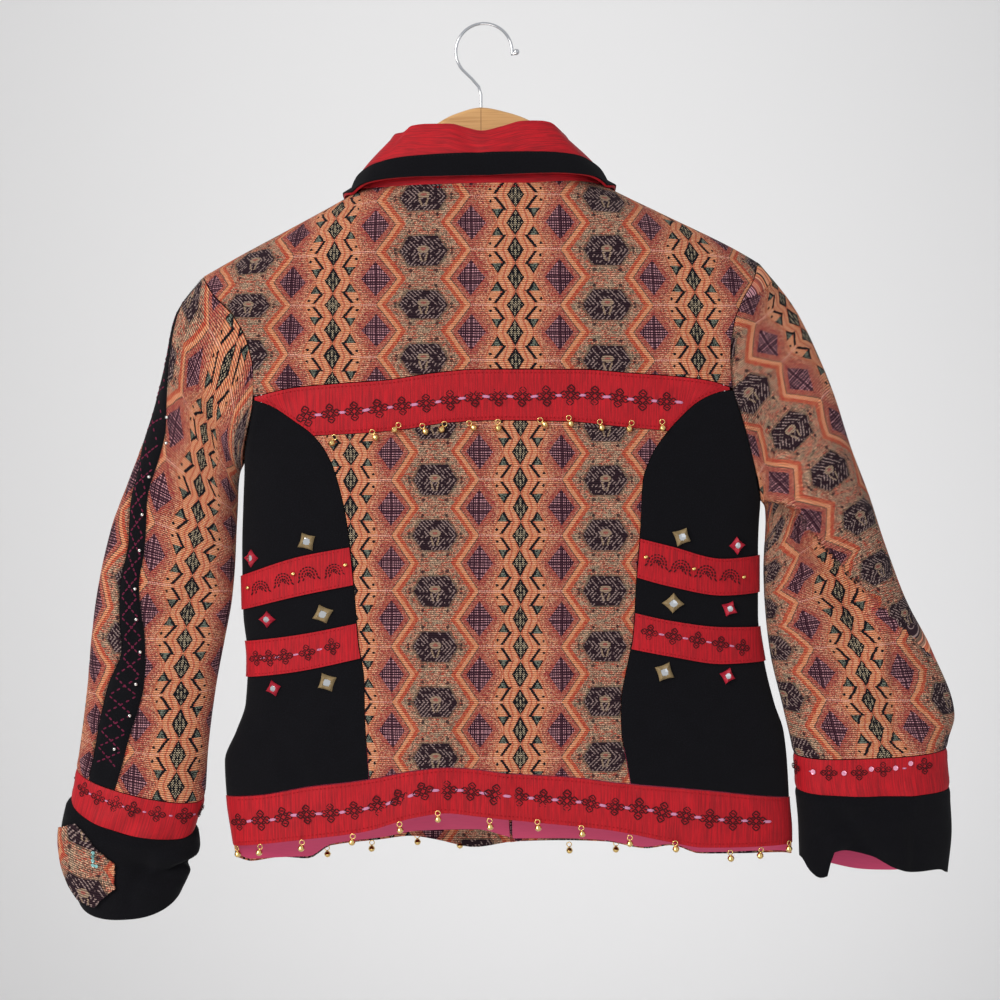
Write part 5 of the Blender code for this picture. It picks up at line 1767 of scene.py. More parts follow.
@dataclass
class Tube:
    """A sleeve's tube through rings, read at a share round (0 outer, 0.5 inner) and a
    distance down."""

    rows: Table
    armhole: Curve
    shoulder: float
    underarm: float
    out: int
    chart: list[np.ndarray] = field(default_factory=list)

    def __post_init__(self) -> None:
        """Lays the rings and marks the distance down to each."""
        rows = self.rows
        rings = [armhole_ring(self.armhole, self.shoulder, self.underarm, self.out)]
        for number in range(len(rows["back"])):
            outer = np.array([rows["outer_x"][number], 0.0, rows["outer_z"][number]])
            inner = np.array([rows["inner_x"][number], 0.0, rows["inner_z"][number]])
            drop = rows["drop"][number]
            back = half_ring(outer, inner, -rows["back"][number], drop, RING_HALF)
            front = half_ring(outer, inner, rows["front"][number], drop * 0.5, RING_HALF)
            rings.append(np.concatenate([back, front[::-1][1:]]))
        self.rings = np.stack(rings)
        steps = np.linalg.norm(np.diff(self.rings, axis=0), axis=2).mean(axis=1)
        self.marks = np.concatenate([[0], np.cumsum(steps)])

    def at(self, share: np.ndarray, down: np.ndarray) -> np.ndarray:
        """Points of the folded tube.

        Args:
            share: Shares round it.
            down: Distances down it.

        Returns:
            One point for each share.
        """
        share = np.asarray(share, float) % 1.0
        place = share * (self.rings.shape[1] - 1)
        low = np.minimum(place.astype(int), self.rings.shape[1] - 2)
        part = (place - low)[..., None]
        flat_low, flat_part = low.ravel(), part.reshape(-1, 1)
        line = self.rings[:, flat_low] * (1 - flat_part) + self.rings[:, flat_low + 1] * flat_part
        down = np.broadcast_to(down, share.shape).ravel()
        points = np.empty((share.size, 3))
        for mark in np.unique(down):
            chosen = down == mark
            points[chosen] = smooth(self.marks, line[:, chosen], np.array([mark]))[0]
        return self.folded(points.reshape(share.shape + (3,)))

    def folded(self, points: np.ndarray) -> np.ndarray:
        """The tube's back with its folds, and the slack under the right elbow.

        Args:
            points: Points of the smooth tube.

        Returns:
            The same points on the folded one.
        """
        x, y, z = points[..., 0], points[..., 1], points[..., 2]
        soft = np.clip((-y - 6) / 14, 0, 1)
        swell = SLEEVE_SWELL * soft_noise(x * 0.9 - z * 0.3, z * 0.8 + x * 0.3, 26.0, 21)
        lift = -(fold_relief(x, z) + swell) * soft
        if self.out > 0:
            below = smooth(ELBOW["x"], ELBOW["z"], x) - z
            step = np.clip(below / ELBOW_STEP, 0, 1)
            fade = np.clip(1 - below / ELBOW_REACH, 0, 1)
            edge = np.clip((ELBOW["x"][-1] + 12 - x) / 24, 0, 1)
            lift = lift + ELBOW_DEPTH * step**2 * (3 - 2 * step) * fade * edge * soft
        points = points.copy()
        points[..., 1] += lift
        return points

    def slope_normals(self, shares: np.ndarray, downs: np.ndarray) -> np.ndarray:
        """Unit normals of either sign, from the slopes round the tube and down it."""
        turn, step = 0.004, 1.5
        round_slope = self.at(shares + turn, downs) - self.at(shares - turn, downs)
        down_slope = self.at(shares, downs + step) - self.at(shares, np.maximum(downs - step, 0))
        normals = np.cross(round_slope, down_slope)
        return normals / np.maximum(np.linalg.norm(normals, axis=-1, keepdims=True), 1e-9)

    def grid(self, shares: np.ndarray, downs: np.ndarray) -> Grid:
        """Points and normals of a grid.

        Args:
            shares: One row of shares round the tube for each distance down.
            downs: The distances.

        Returns:
            The points and the directions out of the tube.
        """
        downs = np.asarray(downs)[:, None] * np.ones(shares.shape)
        points = self.at(shares, downs)
        normals = self.slope_normals(shares, downs)
        centre = points.mean(axis=1, keepdims=True) * np.array([1.0, 0.0, 1.0])
        wrong = np.sum(normals * (points - centre)) < 0
        return points, -normals if wrong else normals

    def cells(self, shares: np.ndarray, downs: np.ndarray) -> Grid:
        """Points and normals of the tube's near side at single places."""
        points = self.at(shares, downs)
        normals = self.slope_normals(shares, downs)
        side = points - self.at(-shares, downs)
        wrong = np.sum(normals * side, axis=-1, keepdims=True) < 0
        return points, np.where(wrong, -normals, normals)

    def armhole_normals(self, points: np.ndarray, normals: np.ndarray) -> np.ndarray:
        """Normals of the first ring, turned into the body's above the underarm.

        Args:
            points: The ring's points.
            normals: The tube's own normals there.

        Returns:
            The blended normals.
        """
        x, y, z = points[:, 0], points[:, 1], points[:, 2]
        near, far = torso_normal(x, y, z, True), torso_normal(x, y, z, False)
        body = np.where(points[:, 1:2] < 0, near, far)
        share = np.clip((points[:, 2:3] - self.underarm) / ARMHOLE_BLEND, 0, 1)
        mixed = body * share + normals * (1 - share)
        return mixed / np.linalg.norm(mixed, axis=1, keepdims=True)

    def spot(self, x: float, z: float) -> Grid:
        """The near side's point at x and z and the direction out of it."""
        share, down = self.place_on(x, z)
        points, normals = self.cells(np.array([share]), np.array([down]))
        return points[0], normals[0]

    def share_at(self, rows: Table, column: str, down: float) -> float:
        """The share where the tube's back crosses a line drawn on it."""
        shares = np.linspace(0.0, 0.5, 160)
        points = self.at(shares, np.full(shares.shape, down))
        beyond = points[:, 0] - smooth(rows["z"], rows[column], points[:, 2])
        crossing = np.nonzero(np.diff(np.sign(beyond)))[0]
        return float(shares[crossing[0]]) if len(crossing) else 0.0

    def chain_share(self, chain: Table, downs: np.ndarray) -> np.ndarray:
        """The share at which the weave's chain crosses each distance down."""
        found = np.array([self.share_at(chain, "x", down) for down in downs])
        good = (found > 0.02) & (found < 0.48)
        return np.interp(downs, downs[good], found[good]) if good.any() else 0.25 + 0 * downs

    def uv(self, shares: np.ndarray, downs: np.ndarray, origin: np.ndarray) -> np.ndarray:
        """Cloth coordinates, in millimetres.

        Args:
            shares: One row of shares round the tube for each distance down.
            downs: The distances.
            origin: The share at which u is zero, for each distance.

        Returns:
            The length round the tube and the height of each point.
        """
        fine = np.linspace(0, 1, 121)
        out = np.empty(shares.shape + (2,))
        for number, down in enumerate(downs):
            ring = self.at(fine, np.full(fine.shape, down))
            arc = length_along(ring)
            share = shares[number]
            whole = np.floor(share)
            out[number, :, 0] = (np.interp(share - whole, fine, arc) + whole * arc[-1]
                                 - np.interp(origin[number], fine, arc))
            out[number, :, 1] = -down
        return out

    def place_on(self, x: float, z: float) -> tuple[float, float]:
        """Where a point of the near side lies on the tube.

        Args:
            x: The point's x.
            z: The point's z.

        Returns:
            Its share round the tube and its distance down it.
        """
        if not len(self.chart):
            shares, downs = np.meshgrid(np.linspace(0.0, 0.5, 61),
                                        np.linspace(0, self.marks[-1], 161))
            self.chart = [shares, downs, self.at(shares, downs)]
        shares, downs, points = self.chart
        off = np.hypot(points[..., 0] - x, points[..., 2] - z)
        row, column = np.unravel_index(off.argmin(), off.shape)
        return float(shares[row, column]), float(downs[row, column])


@dataclass
class Sleeves:
    """Both sleeves: their parts, the strip along the top, the band and the cuff."""

    finishes: Finishes
    columns: int = 64
    rows: int = 104

    def __post_init__(self) -> None:
        """Lays both tubes."""
        self.tubes = {
            "left": Tube(SLEEVE_LEFT, armhole_left, -215, UNDERARM["left"], -1),
            "right": Tube(SLEEVE_RIGHT, armhole_right, -202, UNDERARM["right"], 1),
        }
        self.borders: dict[str, tuple[np.ndarray, np.ndarray, np.ndarray]] = {}

    def build(self) -> None:
        """Builds both sleeves."""
        for name in self.tubes:
            self.build_parts(name)
            self.build_band(name)
            self.build_cuff(name)
        self.build_patch()

    def stripe_edges(self, name: str, downs: np.ndarray, end: float) -> Grid:
        """The edges of the strip along a sleeve's top.

        Args:
            name: Which sleeve.
            downs: Distances down it.
            end: The length of the sleeve.

        Returns:
            Shares round the tube of the strip's front and back edges.
        """
        tube = self.tubes[name]
        if name == "right":
            back = np.interp(downs / end, [0, 0.12, 0.2, 1], [0.012, 0.008, -0.012, -0.05])
            return back - 0.06, back
        front = np.array([tube.share_at(STRIPE_LEFT, "front_x", down) for down in downs])
        back = np.array([tube.share_at(STRIPE_LEFT, "back_x", down) for down in downs])
        top = smooth(STRIPE_HALF["v"], STRIPE_HALF["front"], downs / end)
        front = np.where(tube.at(np.zeros(len(downs)), downs)[:, 2] > -338, -top, front)
        kernel = np.array([1, 2, 3, 4, 3, 2, 1]) / 16
        front = np.convolve(np.pad(front, 3, mode="edge"), kernel, mode="valid")
        back = np.convolve(np.pad(back, 3, mode="edge"), kernel, mode="valid")
        return front, np.maximum(back, front + 0.05)

    def build_parts(self, name: str) -> None:
        """The sleeve's back and front parts and the strip between them.

        Args:
            name: Which sleeve.
        """
        tube = self.tubes[name]
        end = tube.marks[BAND_RING]
        rows = self.rows * (2 if name == "right" else 1)
        downs = np.linspace(0, 1, rows) ** 1.05 * (end - 2 * SEAM)
        front, back = self.stripe_edges(name, downs, end)
        self.borders[name] = (downs, front, back)
        gap = SEAM / 2 / 300.0
        parts = (
            ("back", back + gap, np.full(back.shape, 0.5 - gap), self.columns // 2, "jacquard"),
            ("stripe", front + gap, back - gap, 10, "black"),
            ("front", np.full(back.shape, 0.5 + gap), 1 + front - gap, self.columns // 2,
             "jacquard"),
        )
        chain = tube.chain_share(CHAIN_LEFT if name == "left" else CHAIN_RIGHT, downs)
        pinch = tube.place_on(*PINCH_PLACES[name])[1]
        for part, low, high, columns, finish in parts:
            if name == "right" and part == "back":
                columns *= 2
            steps = np.linspace(0, 1, columns + 1)
            shares = low[:, None] + (high - low)[:, None] * steps
            points, normals = tube.grid(shares, downs)
            normals[0] = tube.armhole_normals(points[0], normals[0])
            uv = tube.uv(shares, downs, chain)
            uv[..., 1] += pinch
            lip, turned, is_turned = 0.0, None, None
            if name == "right" and part == "back":
                turned, is_turned, lip = self.turned_above_elbow(points)
            across = np.linalg.norm(points[:, -1] - points[:, 0], axis=1)[:, None] + 60.0 * (
                part != "stripe")
            edge = np.minimum(steps, 1 - steps)[None, :] * across
            edge = np.minimum(edge, np.minimum(downs, end - downs)[:, None])
            black = finish == "black"
            Piece(f"sewn_sleeve_{name}_{part}", points, normals, uv,
                  self.finishes.black if black else self.finishes.jacquard,
                  "black_wool" if black else "jacquard_wool",
                  (f"sleeve_{name}_{part}",) if black else
                  (f"sleeve_{name}_{part}_upper", f"sleeve_{name}_{part}_lower"),
                  ("sewn_back_yoke",), roll=seam_roll(edge) + lip, turned=turned,
                  is_turned=is_turned).build()

    def turned_above_elbow(self, points: np.ndarray) -> tuple[np.ndarray, np.ndarray, np.ndarray]:
        """The right sleeve's cloth where the upper arm hangs over the fold at the elbow.

        Args:
            points: The grid of the sleeve's back.

        Returns:
            The turned cloth coordinates, where they hold, and the height of the fold's lip.
        """
        above, lip = self.elbow_lip(points[..., 0], points[..., 2])
        return self.elbow_chart(points), above, lip

    def elbow_chart(self, points: np.ndarray) -> np.ndarray:
        """Cloth coordinates that follow the turned cloth above the elbow.

        Args:
            points: The grid of the sleeve's back.

        Returns:
            One u and v for each point.
        """
        line_x = np.linspace(ELBOW_CLOTH["x"][0], ELBOW_CLOTH["x"][-1], 300)
        line_z = smooth(ELBOW_CLOTH["x"], ELBOW_CLOTH["z"], line_x)
        length = length_flat(line_x, line_z)
        length -= np.interp(ELBOW_MEDALLION[0], line_x, length)
        steps = np.linalg.norm(np.diff(points, axis=1), axis=2)
        run = np.concatenate([np.zeros((len(points), 1)), np.cumsum(steps, axis=1)], axis=1)
        middle = points.shape[1] // 2
        run -= run[:, middle:middle + 1]
        lean = points[:, middle + 6] - points[:, middle - 6]
        lean /= np.hypot(lean[:, 0], lean[:, 2])[:, None]
        flat_x = points[:, middle:middle + 1, 0] + run * lean[:, :1]
        flat_z = points[:, middle:middle + 1, 2] + run * lean[:, 2:]
        off = np.hypot(flat_x[..., None] - line_x, flat_z[..., None] - line_z)
        near = off.argmin(axis=-1)
        side = np.where(flat_z > line_z[near], 1.0, -1.0)
        return np.stack([JacquardWool.repeat / 2 + side * off.min(axis=-1), -length[near]],
                        axis=-1)

    def elbow_lip(self, x: np.ndarray, z: np.ndarray) -> Grid:
        """The fold at the right elbow.

        Args:
            x: The points' x.
            z: The points' z.

        Returns:
            Whether each point lies above the fold, and how far the cloth stands out there.
        """
        end_x, end_z = ELBOW["x"][-1], ELBOW["z"][-1]
        fold_x = np.linspace(ELBOW["x"][0], end_x, 200)
        fold_z = smooth(ELBOW["x"], ELBOW["z"], fold_x)
        past = np.linspace(0, 60, 40)[1:]
        fold_x = np.append(fold_x, end_x + past)
        fold_z = np.append(fold_z, end_z - 0.95 * past)
        away = np.hypot(x[..., None] - fold_x, z[..., None] - fold_z)
        nearest, distance = away.argmin(axis=-1), away.min(axis=-1)
        above = z > fold_z[nearest]
        depth = np.interp(fold_x[nearest], [fold_x[0], fold_x[0] + 12, end_x, end_x + 30],
                          [0.4, 1.0, 0.8, 0.0])
        lip = depth * np.where(above, LIP_HIGH * np.exp(-distance / LIP_HIGH_REACH),
                               -LIP_LOW * np.exp(-distance / LIP_LOW_REACH))
        return above, lip

    def build_band(self, name: str) -> None:
        """The red band between the sleeve and its cuff.

        Args:
            name: Which sleeve.
        """
        tube = self.tubes[name]
        ring = np.arange(RING_COLUMNS) / RING_COLUMNS
        downs = np.linspace(tube.marks[BAND_RING] + SEAM, tube.marks[CUFF_RING] - SEAM, 10)
        shares = np.tile(ring, (len(downs), 1))
        points, normals = tube.grid(shares, downs)
        whole = np.concatenate([shares, np.ones((len(downs), 1))], axis=1)
        edge = np.minimum(downs - downs[0], downs[-1] - downs)[:, None] + 0 * shares
        Piece(f"sewn_cuff_band_{name}", points, normals, tube.uv(whole, downs, 0 * downs),
              self.finishes.red, "red_dupion", (f"cuff_band_{name}",),
              (f"sewn_sleeve_{name}_back",), ring=True, roll=seam_roll(edge)).build()

    def build_cuff(self, name: str) -> None:
        """The black cuff, and the silk inside the right one.

        Args:
            name: Which sleeve.
        """
        tube = self.tubes[name]
        ring = np.arange(RING_COLUMNS) / RING_COLUMNS
        top = tube.marks[CUFF_RING]
        downs = top + (tube.marks[-1] - top) * np.linspace(0.003, 1.0, 30)
        shares = np.tile(ring, (len(downs), 1))
        points, normals = tube.grid(shares, downs)
        points = self.hung_mouth(points) if name == "right" else self.notched(points, normals)
        whole = np.concatenate([shares, np.ones((len(downs), 1))], axis=1)
        edge = (downs - downs[0])[:, None] + 0 * shares
        Piece(f"sewn_cuff_{name}", points, normals, tube.uv(whole, downs, 0 * downs),
              self.finishes.black, "black_wool", (f"cuff_{name}",),
              (f"sewn_cuff_band_{name}",), ring=True, roll=seam_roll(edge)).build()
        if name == "right":
            far = np.nonzero(points[-1, :, 1] > 4)[0]
            rows = slice(-CUFF_LINING_ROWS, None)
            inside = points[rows, far] - normals[rows, far] * (WOOL + SEAM)
            uv = np.stack([shares[rows, far] * CUFF_GIRTH,
                           -downs[rows, None] + 0 * shares[rows, far]], axis=-1)
            Piece("sewn_cuff_lining", inside, normals[rows, far], uv, self.finishes.magenta,
                  "magenta_silk", ("cuff_lining_right",), ("sewn_cuff_right",),
                  thickness=SILK).build()

    def hung_mouth(self, points: np.ndarray) -> np.ndarray:
        """The right cuff's grid with its uneven mouth.

        Args:
            points: The even grid.

        Returns:
            The grid, its last rows lowered or raised.
        """
        x, y = points[-1, :, 0], points[-1, :, 1]
        shift = smooth(RIGHT_CUFF_MOUTH["x"], RIGHT_CUFF_MOUTH["drop"], x) * self.beyond(-y)
        shift += smooth(RIGHT_CUFF_FAR["x"], RIGHT_CUFF_FAR["drop"], x) * self.beyond(y)
        hung = points.copy()
        hung[..., 2] += (np.linspace(0, 1, len(points)) ** 4)[:, None] * shift
        return hung

    def beyond(self, y: np.ndarray) -> np.ndarray:
        """Rises from 0 at the cuff's fold to 1 on its flat side."""
        return np.clip(y / CUFF_FOLD, 0, 1)

    def notched(self, points: np.ndarray, normals: np.ndarray) -> np.ndarray:
        """The left cuff's grid with the notch under its pinched corner.

        Args:
            points: The even grid.
            normals: Its normals.

        Returns:
            The notched grid.
        """
        points = points.copy()
        x, y, z = points[..., 0], points[..., 1], points[..., 2]
        off = (z - NOTCH_Z - NOTCH_SLOPE * (x - NOTCH_X)) / NOTCH_HALF
        pinch = np.exp(-off ** 2) * np.clip(1 - y / CUFF_FOLD, 0, 1)
        points[..., 0] -= NOTCH_IN * pinch * np.clip((x + 290) / 30, 0, 1)
        dent = NOTCH_DEPTH * pinch * np.clip((points[..., 0] + 330) / 60, 0, 1)
        return points - normals * dent[..., None]

    def build_patch(self) -> None:
        """The long six-sided patch laid on the left cuff."""
        tube = self.tubes["left"]
        across = np.append(PATCH["across"], PATCH["across"][0])
        down = np.append(PATCH["down"], PATCH["down"][0])
        marks = np.linspace(0, len(PATCH["across"]), 97)[:-1]
        corner = np.arange(len(across))
        rim_across, rim_down = np.interp(marks, corner, across), np.interp(marks, corner, down)
        middle = (rim_across[:-1].mean(), rim_down[:-1].mean())
        start = tube.marks[CUFF_RING]
        run = tube.marks[-1] - start
        points, normals, uv = [], [], []
        for share in np.linspace(0.02, 1.0, 16):
            ragged = 1 + 0.02 * np.random.default_rng(4).uniform(-1, 1, len(marks)) * share
            shares = (middle[0] + (rim_across - middle[0]) * share * ragged) * 0.5
            downs = start + run * (middle[1] + (rim_down - middle[1]) * share * ragged)
            cells = tube.cells(shares, downs)
            points.append(cells[0])
            normals.append(cells[1])
            uv.append(np.stack([shares * PATCH_GIRTH, -downs], axis=-1) + PATCH_SHIFT)
        uv = np.stack(uv)
        uv = np.concatenate([uv, uv[:, :1]], axis=1)
        Piece("sewn_cuff_patch", np.stack(points), np.stack(normals), uv, self.finishes.jacquard,
              "jacquard_wool", ("cuff_patch",), ("sewn_cuff_left",), lift=PATCH_LIFT,
              ring=True).build()


@dataclass
class Collar:
    """The stand, the leaf folded over it, and the tape along the leaf."""

    finishes: Finishes
    turns: int = 150

    def neck_point(self, turn: np.ndarray) -> np.ndarray:
        """Points of the neck seam.

        Args:
            turn: Degrees round the neck: 0 at the middle of the back, 180 at the opening.

        Returns:
            The points.
        """
        x = NECK_X + NECK_HALF * np.sin(np.radians(turn))
        back = np.abs(turn) <= 90
        z = np.where(back, smooth(BACK_NECK["x"], BACK_NECK["z"], x),
                     smooth(FRONT_NECK["x"], FRONT_NECK["z"], x))
        z = np.minimum(z, shoulder_z(x))
        y = np.where(back, torso_y(x, z, True), torso_y(x, z, False))
        return np.stack([x, y, z], axis=-1)

    def build(self) -> None:
        """Builds the collar's pieces."""
        self.lay_lines()
        self.build_stand()
        self.build_leaf()

    def lay_lines(self) -> None:
        """Lays the neck seam, the fold and the leaf's edge round the neck."""
        turns = np.linspace(-COLLAR_END, COLLAR_END, self.turns)
        size, sign = np.abs(turns), np.sign(turns)
        columns = {name: smooth(COLLAR["turn"], values, size) for name, values in COLLAR.items()}
        fold_x = NECK_X + sign * columns["fold_x"]
        near_back = np.clip((70 - size) / 20, 0, 1)
        fold_z = (near_back * smooth(FOLD_LINE["x"], FOLD_LINE["z"], fold_x)
                  + (1 - near_back) * columns["fold_z"])
        self.fold = np.stack([fold_x, columns["fold_y"], fold_z], axis=-1)
        leaf_x = NECK_X + sign * columns["leaf_x"]
        self.leaf = np.stack([leaf_x, columns["leaf_y"],
                              columns["leaf_z"] + COLLAR_TILT * (leaf_x - NECK_X)], axis=-1)
        away = self.leaf - self.fold
        away[:, 2] = 0
        self.away = away / np.maximum(np.linalg.norm(away, axis=1, keepdims=True), 1e-6)
        self.size = size
        self.seam = self.neck_point(turns)
        self.girth = length_along(self.seam)

    def build_stand(self) -> None:
        """The stand, from inside the neck seam to under the fold."""
        seam, fold, away, size, girth = self.seam, self.fold, self.away, self.size, self.girth
        up = np.array([0.0, 0.0, 1.0])
        foot = seam + up * np.interp(size, (70, 100, 180), (0.8, 1.5, 3.0))[:, None]
        head = fold - up * 7.0 - away * 1.2
        tuck = foot - up * 3.0 - away * 2.2
        stand = np.stack([tuck] + [foot + (head - foot) * share for share in np.linspace(0, 1, 9)])
        uv = np.stack([girth[None, :] + np.zeros((10, 1)),
                       np.linspace(0, 40, 10)[:, None] + np.zeros((1, self.turns))], axis=-1)
        Piece("sewn_collar_stand", stand, np.broadcast_to(away, stand.shape), uv,
              self.finishes.collar_red, "red_dupion", ("collar_stand",), ("sewn_back_yoke",),
              thickness=DUPION).build()

    def build_leaf(self) -> None:
        """The leaf, rolled over the fold, and the tape along its edge."""
        fold, leaf, away, size, girth = self.fold, self.leaf, self.away, self.size, self.girth
        up = np.array([0.0, 0.0, 1.0])
        roll = [fold + away * (3.4 - 3.2 * math.cos(angle)) + up * (3.2 * math.sin(angle) - 3.2)
                for angle in np.linspace(0, 2 * math.pi / 3, 6)]
        start = fold + away * 6.6 - up * 3.2
        belly = np.interp(size, (70, 104), (3.0, 9.5))[:, None]
        tape_top = 1 - TAPE_WIDE / np.linalg.norm(leaf - start, axis=1, keepdims=True)
        shares = [tape_top * step for step in np.linspace(0, 1, TAPE_FIRST + 1)]
        shares += [tape_top + (1 - tape_top) * step for step in np.linspace(0, 1, 10)[1:]]
        drop = [start + (leaf - start) * share + away * belly * np.sin(math.pi * share)
                for share in shares]
        surface = np.stack(roll + drop)
        crease = COLLAR_CREASE * np.exp(-((surface[..., 0] + 0.55 * surface[..., 2] + 74) / 7) ** 2)
        surface[..., 1] += crease * np.clip(-surface[..., 1] / 30, 0, 1)
        surface[12:] = push_clear(surface[12:], WOOL + COLLAR_LIFT)
        normals = grid_normals(surface)
        if np.sum(normals[14] * away) < 0:
            normals = -normals
        down = np.concatenate([np.zeros((1, self.turns)),
                               np.cumsum(np.linalg.norm(np.diff(surface, axis=0), axis=2), axis=0)])
        uv = np.stack([np.broadcast_to(girth, down.shape), -down], axis=-1)
        Piece("sewn_collar_leaf", surface, normals, uv, self.finishes.collar_red, "red_dupion",
              ("collar_leaf",), ("sewn_collar_stand",)).build()
        first = len(roll) + TAPE_FIRST
        Piece("sewn_collar_tape", surface[first:], normals[first:], uv[first:],
              self.finishes.black, "black_wool", ("collar_tape",), ("sewn_collar_leaf",),
              thickness=DUPION, lift=STRIP_LIFT).build()
        self.tape_top = surface[first]
        self.tape_normals = normals[first]


@dataclass
class Hanger:
    """The wooden shoulders, rounded along every edge, and the bent wire hook."""

    finishes: Finishes
    stations: int = 120

    def build(self) -> None:
        """Builds the wood and the hook."""
        self.build_wood()
        self.build_hook()

    def build_wood(self) -> None:
        """The wooden arms."""
        low, high = HANGER_ENDS
        xs = np.linspace(low + HANGER_ROUND, high - HANGER_ROUND, self.stations)
        slope = np.gradient(shoulder_z(xs), xs)
        arms = shoulder_z(xs) - (WOOL + HANGER_GAP) * np.sqrt(1 + slope**2)
        hump = smooth(HANGER_TOP["x"], HANGER_TOP["z"], xs)
        middle = (xs > HANGER_TOP["x"][0]) & (xs < HANGER_TOP["x"][-1])
        top = np.where(middle, np.minimum(hump, 0), arms)
        centre = np.clip(1 - np.abs(xs - NECK_X) / 110, 0, 1)
        edge = top - HANGER_ARM - (HANGER_MIDDLE - HANGER_ARM) * centre**0.8
        inset = HANGER_ROUND * np.sqrt(1 + np.gradient(top, xs) ** 2)
        outline = list(zip(xs, top - inset))
        outline += list(zip(xs[::-1], edge[::-1] + HANGER_ROUND))
        curve = bpy.data.curves.new("hanger_outline", "CURVE")
        curve.dimensions = "2D"
        curve.fill_mode = "BOTH"
        curve.extrude = (HANGER_THICK / 2 - HANGER_ROUND) * MM
        curve.bevel_depth = HANGER_ROUND * MM
        curve.bevel_resolution = 4
        spline = curve.splines.new("POLY")
        spline.points.add(len(outline) - 1)
        for point, (x, z) in zip(spline.points, outline):
            point.co = ((x + DATUM[0]) * MM, (z + DATUM[2]) * MM, 0, 1)
        spline.use_cyclic_u = True
        flat = bpy.data.objects.new("hanger_outline", curve)
        flat.rotation_euler = (math.radians(90), 0, 0)
        mesh = made_mesh(flat, "hanger_wood_form", weld=0.00001)
        add_piece("turned_hanger_wood", mesh, self.finishes.wood, ("hanger_wood",))

    def build_hook(self) -> None:
        """The wire hook, swollen at its tip."""
        points = places(HOOK_STEM)
        radii = [1.0] * len(points)
        for turn in np.linspace(HOOK_START_TURN, HOOK_END_TURN, 60):
            angle = math.radians(turn)
            points.append((HOOK_CENTRE[0] + HOOK_RADIUS * math.cos(angle),
                           HOOK_CENTRE[1] + HOOK_RADIUS * math.sin(angle)))
            radii.append(1.0)
        points += places(HOOK_TIP)
        radii += list(HOOK_TIP["radius"])
        wire = bpy.data.curves.new("hook_line", "CURVE")
        wire.dimensions = "3D"
        wire.bevel_depth = HOOK_WIRE * MM
        wire.bevel_resolution = 6
        wire.use_fill_caps = True
        spline = wire.splines.new("POLY")
        spline.points.add(len(points) - 1)
        for point, (x, z), radius in zip(spline.points, points, radii):
            point.co = ((x + DATUM[0]) * MM, 0, (z + DATUM[2]) * MM, 1)
            point.radius = radius
        bent = bpy.data.objects.new("hook_line", wire)
        mesh = made_mesh(bent, "hook_form")
        add_piece("bent_hook", mesh, self.finishes.chrome, ("hanger_hook",))


def made_mesh(source: bpy.types.Object, name: str, weld: float = 0.0) -> bpy.types.Mesh:
    """The plain mesh of an object's evaluated form, after which the object is gone.

    Args:
        source: The object, not yet linked.
        name: The mesh's name.
        weld: How near two points are joined, in metres.

    Returns:
        The mesh, in the row's frame.
    """
    if not source.users_collection:
        bpy.context.scene.collection.objects.link(source)
    bpy.context.view_layer.update()
    mesh = bpy.data.meshes.new_from_object(
        source.evaluated_get(bpy.context.evaluated_depsgraph_get()))
    mesh.transform(source.matrix_world)
    mesh.name = name
    bpy.data.objects.remove(source)
    if weld > 0:
        shape = bmesh.new()
        shape.from_mesh(mesh)
        bmesh.ops.remove_doubles(shape, verts=shape.verts, dist=weld)
        shape.to_mesh(mesh)
        shape.free()
        tidy_mesh(mesh)
    return mesh


